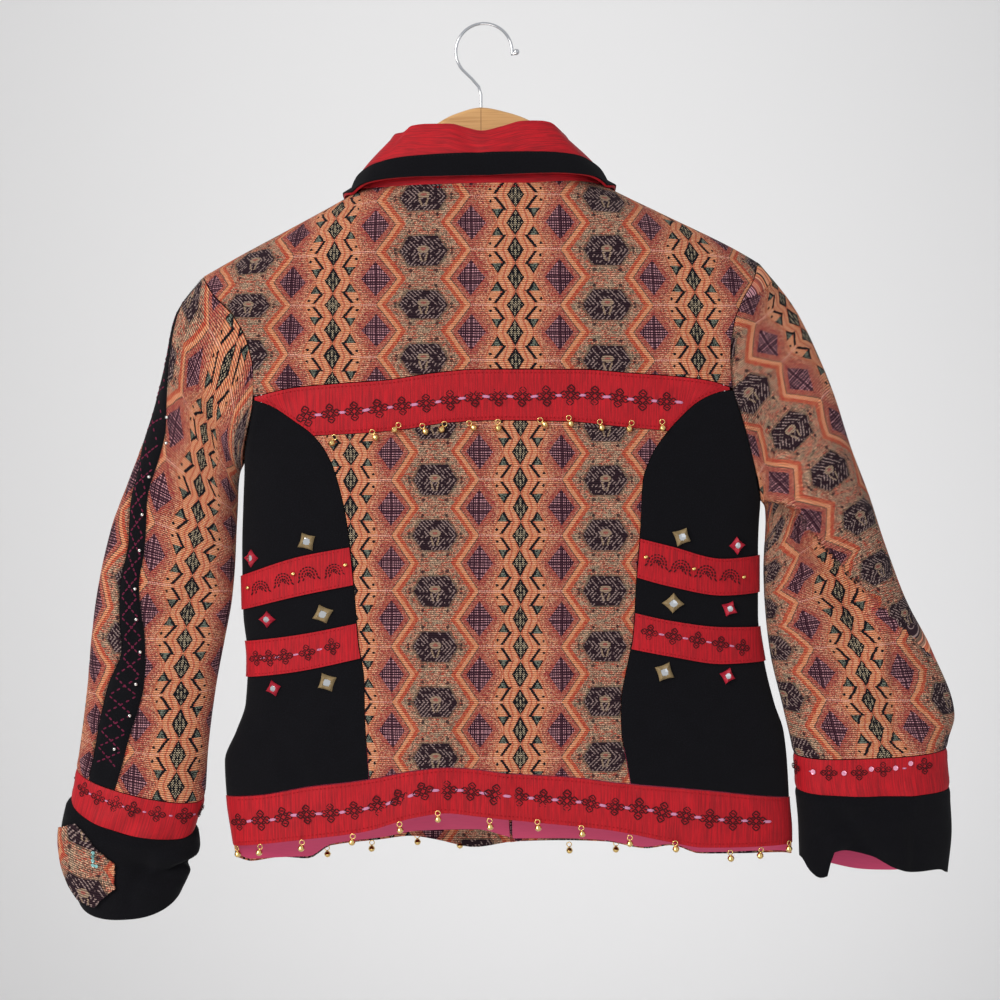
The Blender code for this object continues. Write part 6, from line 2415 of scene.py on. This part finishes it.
@dataclass
class Scatter:
    """Copies of a small form set on the cloth, made by Geometry Nodes and applied."""

    name: str
    form: bpy.types.Mesh
    material: bpy.types.Material
    slot: str | None = None
    places: list[np.ndarray] = field(default_factory=list)
    turns: list[np.ndarray] = field(default_factory=list)
    sizes: list[tuple[float, float, float]] = field(default_factory=list)

    def add(self, place: np.ndarray, along: np.ndarray, out: np.ndarray,
            size: tuple[float, float, float] = (1.0, 1.0, 1.0)) -> None:
        """Sets one copy.

        Args:
            place: Where it stands, in millimetres.
            along: The direction of its x.
            out: The direction of its z, out of the cloth.
            size: Its size along each of its axes.
        """
        along = np.asarray(along, float)
        out = np.asarray(out, float) / np.linalg.norm(out)
        along = along - out * np.dot(along, out)
        along /= max(np.linalg.norm(along), 1e-9)
        side = np.cross(out, along)
        matrix = np.stack([along, side, out], axis=1)
        self.turns.append(np.array(mathutils.Matrix(matrix.tolist()).to_euler()))
        self.places.append((np.asarray(place) + DATUM) * MM)
        self.sizes.append(size)

    def group(self) -> bpy.types.NodeTree:
        """The node group: a form on each point, turned and sized, made real."""
        tree = bpy.data.node_groups.new(self.name, "GeometryNodeTree")
        tree.interface.new_socket("Points", in_out="INPUT", socket_type="NodeSocketGeometry")
        tree.interface.new_socket("Form", in_out="INPUT", socket_type="NodeSocketObject")
        tree.interface.new_socket("Finish", in_out="INPUT", socket_type="NodeSocketMaterial")
        tree.interface.new_socket("Pieces", in_out="OUTPUT", socket_type="NodeSocketGeometry")
        source = add_node(tree, "NodeGroupInput")
        form = add_node(tree, "GeometryNodeObjectInfo", {}, {0: source.outputs["Form"]})
        turn = add_node(tree, "GeometryNodeInputNamedAttribute",
                        {"data_type": "FLOAT_VECTOR"}, {"Name": "turn"})
        size = add_node(tree, "GeometryNodeInputNamedAttribute",
                        {"data_type": "FLOAT_VECTOR"}, {"Name": "size"})
        euler = add_node(tree, "FunctionNodeEulerToRotation", {}, {0: turn.outputs[0]})
        copies = add_node(tree, "GeometryNodeInstanceOnPoints", {}, {
            "Points": source.outputs["Points"], "Instance": form.outputs["Geometry"],
            "Rotation": euler.outputs[0], "Scale": size.outputs[0]})
        real = add_node(tree, "GeometryNodeRealizeInstances", {}, {0: copies.outputs[0]})
        finished = add_node(tree, "GeometryNodeSetMaterial", {}, {
            "Geometry": real.outputs[0], "Material": source.outputs["Finish"]})
        add_node(tree, "NodeGroupOutput", {}, {0: finished.outputs[0]})
        return tree

    def build(self) -> bpy.types.Object | None:
        """Makes the copies real as one piece."""
        if not self.places:
            return None
        points = bpy.data.meshes.new(self.name)
        points.from_pydata([tuple(place) for place in self.places], [], [])
        for name, values in (("turn", self.turns), ("size", self.sizes)):
            layer = points.attributes.new(name, "FLOAT_VECTOR", "POINT")
            layer.data.foreach_set("vector", np.array(values, dtype=np.float32).ravel())
        source = bpy.data.objects.new(self.name + "_points", points)
        bpy.context.scene.collection.objects.link(source)
        template = bpy.data.objects.new(self.name + "_form", self.form)
        bpy.context.scene.collection.objects.link(template)
        tree = self.group()
        modifier = source.modifiers.new("copies", "NODES")
        values = {"Form": template, "Finish": self.material}
        modifier.node_group = tree
        for item in tree.interface.items_tree:
            if item.in_out == "INPUT" and item.name in values:
                modifier[item.identifier] = values[item.name]
        count = len(self.places)
        mesh = made_mesh(source, self.name)
        bpy.data.objects.remove(template)
        bpy.data.node_groups.remove(tree)
        mesh.shade_smooth()
        mesh.set_sharp_from_angle(angle=math.radians(50))
        LOG.info("%s: %d copies, %d faces", self.name, count, len(mesh.polygons))
        return add_piece(self.name, mesh, self.material)


def form_mesh(name: str, corners: Iterable[Sequence[float]], faces: Iterable[Sequence[int]],
              outward: bool = True) -> bpy.types.Mesh:
    """A small form's mesh, from millimetres.

    Args:
        name: The mesh's name.
        corners: Its points.
        faces: Its faces' point numbers.
        outward: Whether the faces are turned outward.

    Returns:
        The mesh.
    """
    mesh = bpy.data.meshes.new(name)
    mesh.from_pydata([tuple(float(value) * MM for value in corner) for corner in corners], [],
                     [tuple(int(index) for index in face) for face in faces])
    if outward:
        tidy_mesh(mesh)
    return mesh


def ring_faces(rows: int, count: int) -> list[tuple[int, ...]]:
    """Faces through a stack of rings, with a flat one at each end."""
    faces = [(row * count + step, row * count + (step + 1) % count,
              (row + 1) * count + (step + 1) % count, (row + 1) * count + step)
             for row in range(rows - 1) for step in range(count)]
    last = (rows - 1) * count
    return faces + [tuple(range(count))[::-1], tuple(range(last, last + count))]


def lathe(profile: Sequence[tuple[float, float]], count: int) -> Form:
    """A round form.

    Args:
        profile: Its radii and heights.
        count: How many points go round it.

    Returns:
        Its points and faces.
    """
    corners = []
    for radius, height in profile:
        for step in range(count):
            angle = 2 * math.pi * step / count
            corners.append((radius * math.cos(angle), radius * math.sin(angle), height))
    return corners, ring_faces(len(profile), count)


def torus(radius: float, wire: float, around: int, across: int,
          centre: tuple[float, float, float]) -> Form:
    """A ring that stands in the xz plane.

    Args:
        radius: The ring's radius to the middle of its wire.
        wire: The wire's radius.
        around: How many points go round the ring.
        across: How many go round the wire.
        centre: The ring's centre.

    Returns:
        Its points and faces.
    """
    corners, faces = [], []
    for step in range(around):
        angle = 2 * math.pi * step / around
        for turn in range(across):
            swing = 2 * math.pi * turn / across
            reach = radius + wire * math.cos(swing)
            corners.append((centre[0] + reach * math.cos(angle),
                            centre[1] + wire * math.sin(swing),
                            centre[2] + reach * math.sin(angle)))
            faces.append((step * across + turn, ((step + 1) % around) * across + turn,
                          ((step + 1) % around) * across + (turn + 1) % across,
                          step * across + (turn + 1) % across))
    return corners, faces


def joined(*parts: Form) -> Form:
    """Several forms' points and faces as one."""
    corners, faces = [], []
    for part_corners, part_faces in parts:
        start = len(corners)
        corners.extend(part_corners)
        faces.extend(tuple(index + start for index in face) for face in part_faces)
    return corners, faces


def stitch(first: tuple[float, float], last: tuple[float, float], width: float,
           height: float) -> Form:
    """One stitch of floss that rises from the cloth and dips at both ends.

    Args:
        first: Where it leaves the cloth.
        last: Where it goes back in.
        width: Its width.
        height: How high it stands.

    Returns:
        Its points and faces.
    """
    start, end = np.array(first), np.array(last)
    run = end - start
    length = np.linalg.norm(run)
    side = np.array([-run[1], run[0]]) / length * width / 2
    corners = []
    for share, swell in ((0.0, 0.35), (0.25, 0.95), (0.75, 0.95), (1.0, 0.35)):
        middle = start + run * share
        for across, rise in ((-1, 0.0), (-0.6, 0.8), (0.6, 0.8), (1, 0.0)):
            place = middle + side * across * swell
            corners.append((place[0], place[1], rise * height * swell - 0.1))
    return corners, ring_faces(4, 4)


def bell_form() -> bpy.types.Mesh:
    """A small jingle bell with a waist, a slit below and a ring above, hung from z = 0."""
    body = [(0.2, -9.6), (1.5, -9.3), (2.5, -8.3), (2.75, -7.3), (2.95, -7.05), (2.95, -6.75),
            (2.75, -6.5), (2.5, -5.5), (1.6, -4.5), (0.7, -4.15), (0.55, -3.7), (0.2, -3.5)]
    slit = [(0.45, -9.75), (0.5, -8.4)]
    return form_mesh("bell", *joined(lathe(body, 20), torus(2.1, 0.42, 18, 8, (0, 0, -1.7)),
                                     lathe(slit, 8)))


def bead_form() -> bpy.types.Mesh:
    """A round bead on the cloth, drilled across."""
    profile = [(0.55, 0.05), (1.2, 0.25), (1.6, 0.9), (1.62, 1.3), (1.35, 2.0), (0.8, 2.45),
               (0.4, 2.5), (0.3, 2.2)]
    return form_mesh("bead", *lathe(profile, 14))


def sequin_form() -> bpy.types.Mesh:
    """A cupped round sequin."""
    profile = [(2.1, 0.5), (2.15, 0.75), (1.5, 0.5), (0.5, 0.35), (0.3, 0.2)]
    return form_mesh("sequin", *lathe(profile, 16))


def flower_form() -> bpy.types.Mesh:
    """A rhombus of nine stitched lozenges, its four outer ones swollen into lobes."""
    half_x, half_z = 2.75, 2.5
    parts = []
    for i in (-1, 0, 1):
        for j in (-1, 0, 1):
            middle = np.array([(i + j) * half_x, (i - j) * half_z])
            lobe = abs(i) == 1 and abs(j) == 1
            swell = 1.22 if lobe else 1.0
            corners = [middle + swell * np.array(corner) for corner in
                       ((half_x, 0.0), (0.0, half_z), (-half_x, 0.0), (0.0, -half_z))]
            for first, last in zip(corners, corners[1:] + corners[:1]):
                if lobe or (i, j) == (0, 0):
                    parts.append(stitch(tuple(first), tuple(last), 1.15, 0.55))
            if lobe or (i + j) % 2:
                reach = half_x * (0.6 if lobe else 0.4)
                parts.append(stitch((middle[0] - reach, middle[1] + 0.3),
                                    (middle[0] + reach, middle[1] - 0.3), 1.1, 0.4))
    return form_mesh("flower", *joined(*parts))


def arch_form() -> bpy.types.Mesh:
    """A loosely stitched arch with a filled crown."""
    parts = []
    for ring, count in ((7.6, 9), (5.2, 7), (2.9, 5)):
        turns = np.linspace(-0.15, math.pi + 0.15, count + 1)
        for first, last in pairwise(turns):
            gap = (last - first) * 0.12
            ends = [(ring * math.cos(turn), ring * 0.95 * math.sin(turn) - 3.0)
                    for turn in (first + gap, last - gap)]
            parts.append(stitch(ends[0], ends[1], 1.35, 0.6))
    for x, z, lean in ((-8.4, -5.6, 2.2), (8.4, -5.6, -2.2), (-4.4, -5.0, 1.6),
                       (4.4, -5.0, -1.6), (0.0, -1.6, 1.8), (1.4, -3.4, -1.2)):
        parts.append(stitch((x - lean / 2, z - 1.2), (x + lean / 2, z + 1.2), 1.3, 0.55))
    return form_mesh("arch", *joined(*parts))


def bar_form(length: float, width: float, height: float) -> bpy.types.Mesh:
    """A satin-stitched bar along x.

    Args:
        length: Its length.
        width: Its width.
        height: How high it stands.

    Returns:
        The mesh.
    """
    parts = []
    strands = max(3, round(width / 0.75))
    for strand in range(strands):
        z = (strand - (strands - 1) / 2) * width / strands
        short = 1 - 0.35 * abs(2 * z / width) ** 2
        parts.append(stitch((-length / 2 * short, z), (length / 2 * short, z), 0.95, height))
    return form_mesh("bar", *joined(*parts))


def petal_form(seed: int, reach: float) -> bpy.types.Mesh:
    """A square of silk folded round a mirror, its four corners turned over it.

    Args:
        seed: Which random creases it has.
        reach: From its middle to a corner.

    Returns:
        The mesh.
    """
    noise = np.random.default_rng(seed)
    rings = ((1.0, 0.1), (0.98, 0.7), (0.72, 2.5), (0.5, 2.7), (0.42, 1.9), (0.40, 1.2))
    corners = []
    count = 24
    pull = 1 + 0.1 * noise.uniform(-1, 1, 4)
    for share, height in rings:
        for step in range(count):
            side, along = divmod(step, count // 4)
            t = along / (count // 4)
            first = np.array([math.cos(side * math.pi / 2), math.sin(side * math.pi / 2)])
            last = np.array([math.cos((side + 1) * math.pi / 2),
                             math.sin((side + 1) * math.pi / 2)])
            edge = first * (1 - t) * pull[side] + last * t * pull[(side + 1) % 4]
            dent = 1 - 0.10 * math.sin(math.pi * t)
            lift = height * (1 + 0.28 * math.cos(2 * math.pi * t)) + noise.uniform(-0.12, 0.12)
            place = edge * reach * share * dent
            corners.append((place[0], place[1], max(lift, 0.05)))
    return form_mesh("petal", corners, ring_faces(len(rings), count))


def mirror_form(reach: float) -> bpy.types.Mesh:
    """A square mirror with a ground edge.

    Args:
        reach: From its middle to a corner.

    Returns:
        The mesh.
    """
    corners = []
    for share, height in ((1.0, 1.25), (0.98, 1.5), (0.86, 1.62)):
        for step in range(4):
            angle = step * math.pi / 2
            corners.append((reach * share * math.cos(angle), reach * share * math.sin(angle),
                            height))
    return form_mesh("mirror", corners, ring_faces(3, 4))


def fray_form(seed: int) -> bpy.types.Mesh:
    """A few loose threads at a raw edge, along z.

    Args:
        seed: Which random threads.

    Returns:
        The mesh.
    """
    noise = np.random.default_rng(seed)
    parts = []
    for strand in range(4):
        x = -1.2 + strand * 0.8 + noise.uniform(-0.2, 0.2)
        lean = noise.uniform(-1.0, 1.0)
        parts.append(stitch((x, -0.6), (x + lean, 1.2 + noise.uniform(0, 1.3)), 0.35, 0.35))
    return form_mesh("fray", *joined(*parts))


@dataclass
class Trim:
    """Everything sewn on: embroidery, beads, mirrors, sequins, bells and stitching."""

    finishes: Finishes
    sleeves: Sleeves
    collar: Collar
    seed: int = 7

    def __post_init__(self) -> None:
        """Starts the random draws."""
        self.noise = np.random.default_rng(self.seed)

    def on_back(self, x: float, z: float, rise: float = 0.0) -> Grid:
        """A point of the back's surface and the direction out of it."""
        px, pz = np.array([float(x)]), np.array([float(z)])
        y = rimmed_y(px, pz, True)
        normal = torso_normal(px, y, pz, True)[0]
        return np.array([x, y[0], z]) + normal * rise, normal

    def on_line(self, rows: Table, spacing: float, rise: float) -> list[tuple]:
        """Places at even steps along a line on the back.

        Args:
            rows: The line's x and z.
            spacing: The step.
            rise: How far the places stand off the cloth.

        Returns:
            Each place, the line's direction there and the direction out of the cloth.
        """
        xs = np.linspace(rows["x"][0], rows["x"][-1], 600)
        zs = smooth(rows["x"], rows["z"], xs)
        length = length_flat(xs, zs)
        found = []
        for mark in np.arange(spacing / 2, length[-1], spacing):
            x, z = np.interp(mark, length, xs), np.interp(mark, length, zs)
            near_x = np.interp(mark + 1.0, length, xs)
            near_z = np.interp(mark + 1.0, length, zs)
            place, normal = self.on_back(x, z, rise)
            ahead, _ = self.on_back(near_x, near_z, rise)
            found.append((place, ahead - place, normal))
        return found

    def jitter(self, amount: float) -> float:
        """A small random amount either way."""
        return float(self.noise.uniform(-amount, amount))

    def build(self) -> None:
        """Builds every kind of trimming."""
        self.build_embroidery()
        self.build_strips()
        self.build_stripe_lattice()
        self.build_mirrors()
        self.build_bells()
        self.build_cuff_trim()
        self.build_stitching()
        self.build_fray()

    def build_embroidery(self) -> None:
        """Flowers and mauve bars along the yoke band, the hem band and both cuff bands."""
        self.flowers = Scatter("embroidered_flowers", flower_form(), self.finishes.thread)
        self.bars = Scatter("mauve_bars", bar_form(6.6, 1.9, 0.9), self.finishes.mauve)
        self.links = Scatter("mauve_links", bar_form(5.0, 0.9, 0.4), self.finishes.mauve)
        pitch = MOTIF_PITCH
        for line in (BAND_LINE, HEM_LINE):
            for number, (place, along, out) in enumerate(self.on_line(line, pitch / 2, 0.15)):
                size = 1.06 + self.jitter(0.07)
                turned = along + np.cross(out, along) * self.jitter(0.12)
                if number % 2 == 0:
                    self.flowers.add(place, turned, out, (size, size * (1 + self.jitter(0.08)), 1))
                else:
                    self.bars.add(place, turned, out, (size * (1 + self.jitter(0.15)), size, 1.0))
        for name, rows in (("left", LEFT_BAND_MOTIFS), ("right", RIGHT_BAND_MOTIFS)):
            self.ring_band(name, rows)

    def ring_band(self, name: str, rows: Table) -> None:
        """Flowers and bars round a cuff band: at known places behind, at even steps before.

        Args:
            name: Which sleeve.
            rows: The known places.
        """
        tube = self.sleeves.tubes[name]
        marks = [tube.place_on(x, z) for x, z in places(rows)]
        low, high = tube.marks[BAND_RING], tube.marks[CUFF_RING]
        marks += [(share, (low + high) / 2) for share in np.linspace(0.55, 0.96, 7)]
        marks.sort()
        between = [((first[0] + last[0]) / 2, (first[1] + last[1]) / 2)
                   for first, last in pairwise(marks)]
        for number, (share, down) in enumerate(marks + between):
            down = float(np.clip(down, low + 9, high - 9))
            points, normals = tube.cells(np.array([share, share + 0.004]), np.full(2, down))
            along = points[1] - points[0]
            small = CUFF_MOTIF_SIZE * (1 + self.jitter(0.06))
            if number < len(marks):
                self.flowers.add(points[0] + normals[0] * 0.15, along, normals[0],
                                 (small, small, 1.0))
            else:
                self.bars.add(points[0] + normals[0] * 0.15, along, normals[0],
                              (small * 0.6, small * 0.7, 1.0))

    def build_strips(self) -> None:
        """Arches and beads on the upper strips, flowers on the lower ones."""
        rise = STRIP_LIFT + DUPION + 0.15
        self.arches = Scatter("embroidered_arches", arch_form(), self.finishes.thread)
        self.beads = Scatter("silver_beads", bead_form(), self.finishes.silver)
        self.gold_beads = Scatter("gold_beads", bead_form(), self.finishes.brass)
        for rows, scatter, size in ((ARCHES, self.arches, 1.0), (FLOWERS, self.flowers, 0.86)):
            for x, z in places(rows):
                place, out = self.on_back(x, z, rise)
                ahead, _ = self.on_back(x + 2.0, z + STRIP_SLOPE * 2.0 * (1 if x < 0 else -1), rise)
                width = size * (1 + self.jitter(0.08))
                scatter.add(place, ahead - place, out, (width, size * (1 + self.jitter(0.08)), 1))
        for (x0, z0), (x1, z1) in pairwise(places(FLOWERS)):
            if x1 - x0 < 40:
                place, out = self.on_back((x0 + x1) / 2, (z0 + z1) / 2, rise)
                self.links.add(place, (1.0, 0.0, (z1 - z0) / (x1 - x0)), out)
        for x, z in places(ARCH_BEADS):
            place, out = self.on_back(x, z, rise)
            self.gold_beads.add(place, (1, 0, 0.3), out, (1.3, 0.9, 0.9))

    def build_stripe_lattice(self) -> None:
        """Burgundy stitches that cross on the left strip, with a bead in each lozenge."""
        tube = self.sleeves.tubes["left"]
        downs, front, back = self.sleeves.borders["left"]
        self.lattice = Scatter("burgundy_stitches", bar_form(3.4, 0.8, 0.6),
                               self.finishes.burgundy)
        marks = np.arange(26.0, downs[-1] - 4, LATTICE_PITCH)
        for number, (start, stop) in enumerate(pairwise(marks)):
            for lean in (0, 1):
                shares = []
                for end, side in ((start, (number + lean) % 2), (stop, (number + lean + 1) % 2)):
                    low, high = np.interp(end, downs, front), np.interp(end, downs, back)
                    shares.append(low + (high - low) * (0.12 if side else 0.88))
                for first in np.linspace(0.04, 0.80, 5):
                    along = np.array([first, first + 0.12])
                    share = shares[0] + (shares[1] - shares[0]) * along
                    down = start + (stop - start) * along
                    points, normals = tube.cells(share, down)
                    self.lattice.add(points.mean(axis=0) + normals[0] * 0.1,
                                     points[1] - points[0], normals[0])
        for x, z in places(STRIPE_BEADS):
            place, out = tube.spot(x, z)
            self.beads.add(place + out * 0.1, (0, 0, 1), out)

    def build_mirrors(self) -> None:
        """Square mirrors in folded silk on the side panels."""
        glass = Scatter("mirrors", mirror_form(3.6), self.finishes.mirror)
        for name, rows, finish, reach, seed, size in (
                ("khaki", KHAKI, self.finishes.khaki, 9.0, 3, 1.3),
                ("crimson", CRIMSON, self.finishes.crimson, 7.6, 9, 1.05)):
            for variant in range(3):
                petals = Scatter(f"{name}_petals_{variant}", petal_form(seed + variant, reach),
                                 finish)
                for x, z in places(rows)[variant::3]:
                    place, out = self.on_back(x, z, 0.1)
                    turn = self.jitter(0.3) + (0.25 if x < 0 else -0.25)
                    along = (math.cos(turn), 0.0, math.sin(turn))
                    petals.add(place, along, out)
                    glass.add(place + out * 0.2, along, out, (size, size, 1.15))
                petals.build()
        glass.build()

    def build_bells(self) -> None:
        """Gilt bells along the yoke band's lower edge and both hems."""
        self.bells = Scatter("bells", bell_form(), self.finishes.brass)
        for rows, tilt, drop in ((YOKE_BELLS, 0.9, 2.6), (HEM_BELLS, 0.18, 5.0)):
            for x, z in places(rows):
                place, out = self.on_back(x, z, 3.2)
                lean = self.jitter(tilt)
                up = np.array([math.sin(lean), -0.12, math.cos(lean)])
                side = np.cross(up, out)
                self.bells.add(place + up * drop, side, up)
        for x, z in places(FRONT_BELLS):
            depth = float(torso_y(np.array([x]), np.array([min(z + 8.0, -690.0)]), False)[0])
            up = np.array([math.sin(self.jitter(0.15)), 0.0, 1.0])
            self.bells.add(np.array([x, depth - WOOL / 2, z + 4.5]), (1, 0, 0), up)
        self.bells.build()

    def build_cuff_trim(self) -> None:
        """Pink sequins on the right band and the sequin bar on the patch."""
        self.sequins = Scatter("pink_sequins", sequin_form(), self.finishes.sequin)
        for x, z in places(SEQUINS):
            place, out = self.sleeves.tubes["right"].spot(x, z)
            self.sequins.add(place + out * 0.2, (1, 0, 0), out)
        self.sequins.build()
        bar = Scatter("patch_sequins", sequin_form(), self.finishes.turquoise)
        for x, z in zip(np.linspace(*PATCH_BAR["x"], 6), np.linspace(*PATCH_BAR["z"], 6)):
            place, out = self.sleeves.tubes["left"].spot(x, z)
            bar.add(place + out * (PATCH_LIFT + WOOL + 0.2), (0, 0, 1), out, (0.75, 0.75, 1.0))
        bar.build()
        for scatter in (self.flowers, self.bars, self.links, self.arches, self.beads,
                        self.gold_beads, self.lattice):
            scatter.build()

    def stitch_line(self, scatter: Scatter, points: np.ndarray, normals: np.ndarray,
                    pitch: float, rise: float) -> None:
        """Stitches at even steps along a line.

        Args:
            scatter: What they are added to.
            points: The line.
            normals: The directions out of the cloth along it.
            pitch: The step.
            rise: How far the stitches stand off the line.
        """
        length = length_along(points)
        for mark in np.arange(pitch / 2, length[-1] - 1.0, pitch):
            place, ahead, out = (
                np.array([np.interp(at, length, rows[:, axis]) for axis in range(3)])
                for at, rows in ((mark, points), (mark + 1.0, points), (mark, normals)))
            scatter.add(place + out * rise, ahead - place, out)

    def build_stitching(self) -> None:
        """Topstitching along the tape, the collar's seam, the bands and the strips."""
        form = bar_form(2.1, 0.5, 0.35)
        red = Scatter("red_stitches", form, self.finishes.red_thread)
        black = Scatter("black_stitches", form.copy(), self.finishes.black_thread)
        collar = self.collar
        self.stitch_line(black, collar.tape_top - [0, 0, 1.4], collar.tape_normals, 3.2,
                         DUPION + STRIP_LIFT + 0.1)
        near = np.abs(collar.seam[:, 1]) > 20
        seam = collar.seam[near & (collar.seam[:, 1] < 0)] - [0, 0, 3.4]
        self.stitch_line(red, seam, np.tile([0.0, -1.0, 0.0], (len(seam), 1)), STITCH_PITCH, 0.5)
        yoke_xs, hem_xs = np.linspace(-188, 196, 260), np.linspace(-214, 252, 300)
        for xs, curve, shift in ((yoke_xs, yoke_edge, -3.0), (yoke_xs, band_edge, 3.0),
                                 (hem_xs, hem_top, -3.0), (hem_xs, hem_edge, 3.0)):
            points, normals = self.back_line(xs, curve(xs) + shift)
            self.stitch_line(red, points, normals, STITCH_PITCH, STITCH_RISE)
        for rows, low, high in ((STRIPS_LEFT, -206, -120), (STRIPS_RIGHT, 126, 226)):
            xs = np.linspace(low, high, 80)
            for key, shift in (("upper_top", -2.0), ("upper_edge", 2.0),
                               ("lower_top", -2.0), ("lower_edge", 2.0)):
                points, normals = self.back_line(xs, smooth(rows["x"], rows[key], xs) + shift)
                self.stitch_line(red, points, normals, STITCH_PITCH, STRIP_LIFT + DUPION + 0.1)
        red.build()
        black.build()

    def back_line(self, xs: np.ndarray, zs: np.ndarray) -> Grid:
        """A line on the back's surface with its normals."""
        ys = rimmed_y(xs, zs, True)
        return np.stack([xs, ys, zs], axis=-1), torso_normal(xs, ys, zs, True)

    def build_fray(self) -> None:
        """Loose threads at the raw edges of the left strip and the patch."""
        fray = Scatter("frayed_threads", fray_form(2), self.finishes.black_thread)
        tube = self.sleeves.tubes["left"]
        downs, front, back = self.sleeves.borders["left"]
        for edge, way in ((front, -1.0), (back, 1.0)):
            for down in np.arange(4.0, downs[-1] - 2, FRAY_PITCH):
                share = np.interp(down, downs, edge)
                points, normals = tube.cells(np.array([share, share]),
                                             np.array([down, down + 1.0]))
                along = (points[1] - points[0]) * way
                fray.add(points[0] + normals[0] * 0.15, along, normals[0],
                         (1.0, 0.8 + self.jitter(0.4), 1.0))
        fray.build()


@dataclass
class Room:
    """A pale room: floor, wall, soft lights and the camera at the photo's place."""

    camera_place: tuple[float, float, float] = (0.0138, -1.440, -0.4104)
    lens: float = 60.0
    pale: str = "D6D6D6"

    def build(self) -> None:
        """Sets the room up."""
        scene = bpy.context.scene
        data = bpy.data.cameras.new("camera")
        data.lens = self.lens
        data.sensor_width = 36.0
        data.clip_start = 0.01
        camera = bpy.data.objects.new("camera", data)
        camera.location = self.camera_place
        camera.rotation_euler = (math.radians(90), 0, 0)
        scene.collection.objects.link(camera)
        scene.camera = camera
        paint = Plain("pale_wall", self.pale, 0.9, specular=0.1).build()
        self.plane("floor", (0, 0.5, -1.95), (12, 9, 0), (0, 0, 0), paint)
        self.plane("wall", (0, 3.4, 0.0), (12, 7, 0), (math.radians(90), 0, 0), paint)
        world = bpy.data.worlds.new("pale_room")
        world.use_nodes = True
        world.node_tree.nodes["Background"].inputs[0].default_value = linear("EEEFF2")
        world.node_tree.nodes["Background"].inputs[1].default_value = 0.66
        scene.world = world
        scene.view_settings.view_transform = "Standard"
        for row in LIGHTS:
            self.light(*row)

    def plane(self, name: str, place: Sequence[float], size: Sequence[float],
              turn: Sequence[float], material: bpy.types.Material) -> None:
        """A flat stage piece.

        Args:
            name: Its name.
            place: Its middle, in metres.
            size: Its length and width.
            turn: Its angles, in radians.
            material: Its finish.
        """
        half_x, half_y = size[0] / 2, size[1] / 2
        mesh = bpy.data.meshes.new(name)
        mesh.from_pydata([(-half_x, -half_y, 0), (half_x, -half_y, 0), (half_x, half_y, 0),
                          (-half_x, half_y, 0)], [], [(0, 1, 2, 3)])
        mesh.materials.append(material)
        made = bpy.data.objects.new(name, mesh)
        made.location = place
        made.rotation_euler = turn
        bpy.context.scene.collection.objects.link(made)

    def light(self, name: str, place: Sequence[float], turn: Sequence[float], size: float,
              power: float, colour: str) -> None:
        """A soft square light.

        Args:
            name: Its name.
            place: Where it hangs, in metres.
            turn: Its angles, in degrees.
            size: The length of its side.
            power: Its power, in watts.
            colour: Its sRGB hex.
        """
        data = bpy.data.lights.new(name, "AREA")
        data.size = size
        data.energy = power
        data.color = linear(colour)[:3]
        made = bpy.data.objects.new(name, data)
        made.location = place
        made.rotation_euler = [math.radians(angle) for angle in turn]
        bpy.context.scene.collection.objects.link(made)


def main() -> None:
    """Builds the jacket's looks, piece by piece, and the room round it."""
    logging.basicConfig(level=logging.INFO, format="%(name)s %(message)s")
    Room().build()
    finishes = Finishes()
    Hanger(finishes).build()
    Body(finishes).build()
    sleeves = Sleeves(finishes)
    sleeves.build()
    collar = Collar(finishes)
    collar.build()
    Trim(finishes, sleeves, collar).build()


if __name__ == "__main__":
    main()
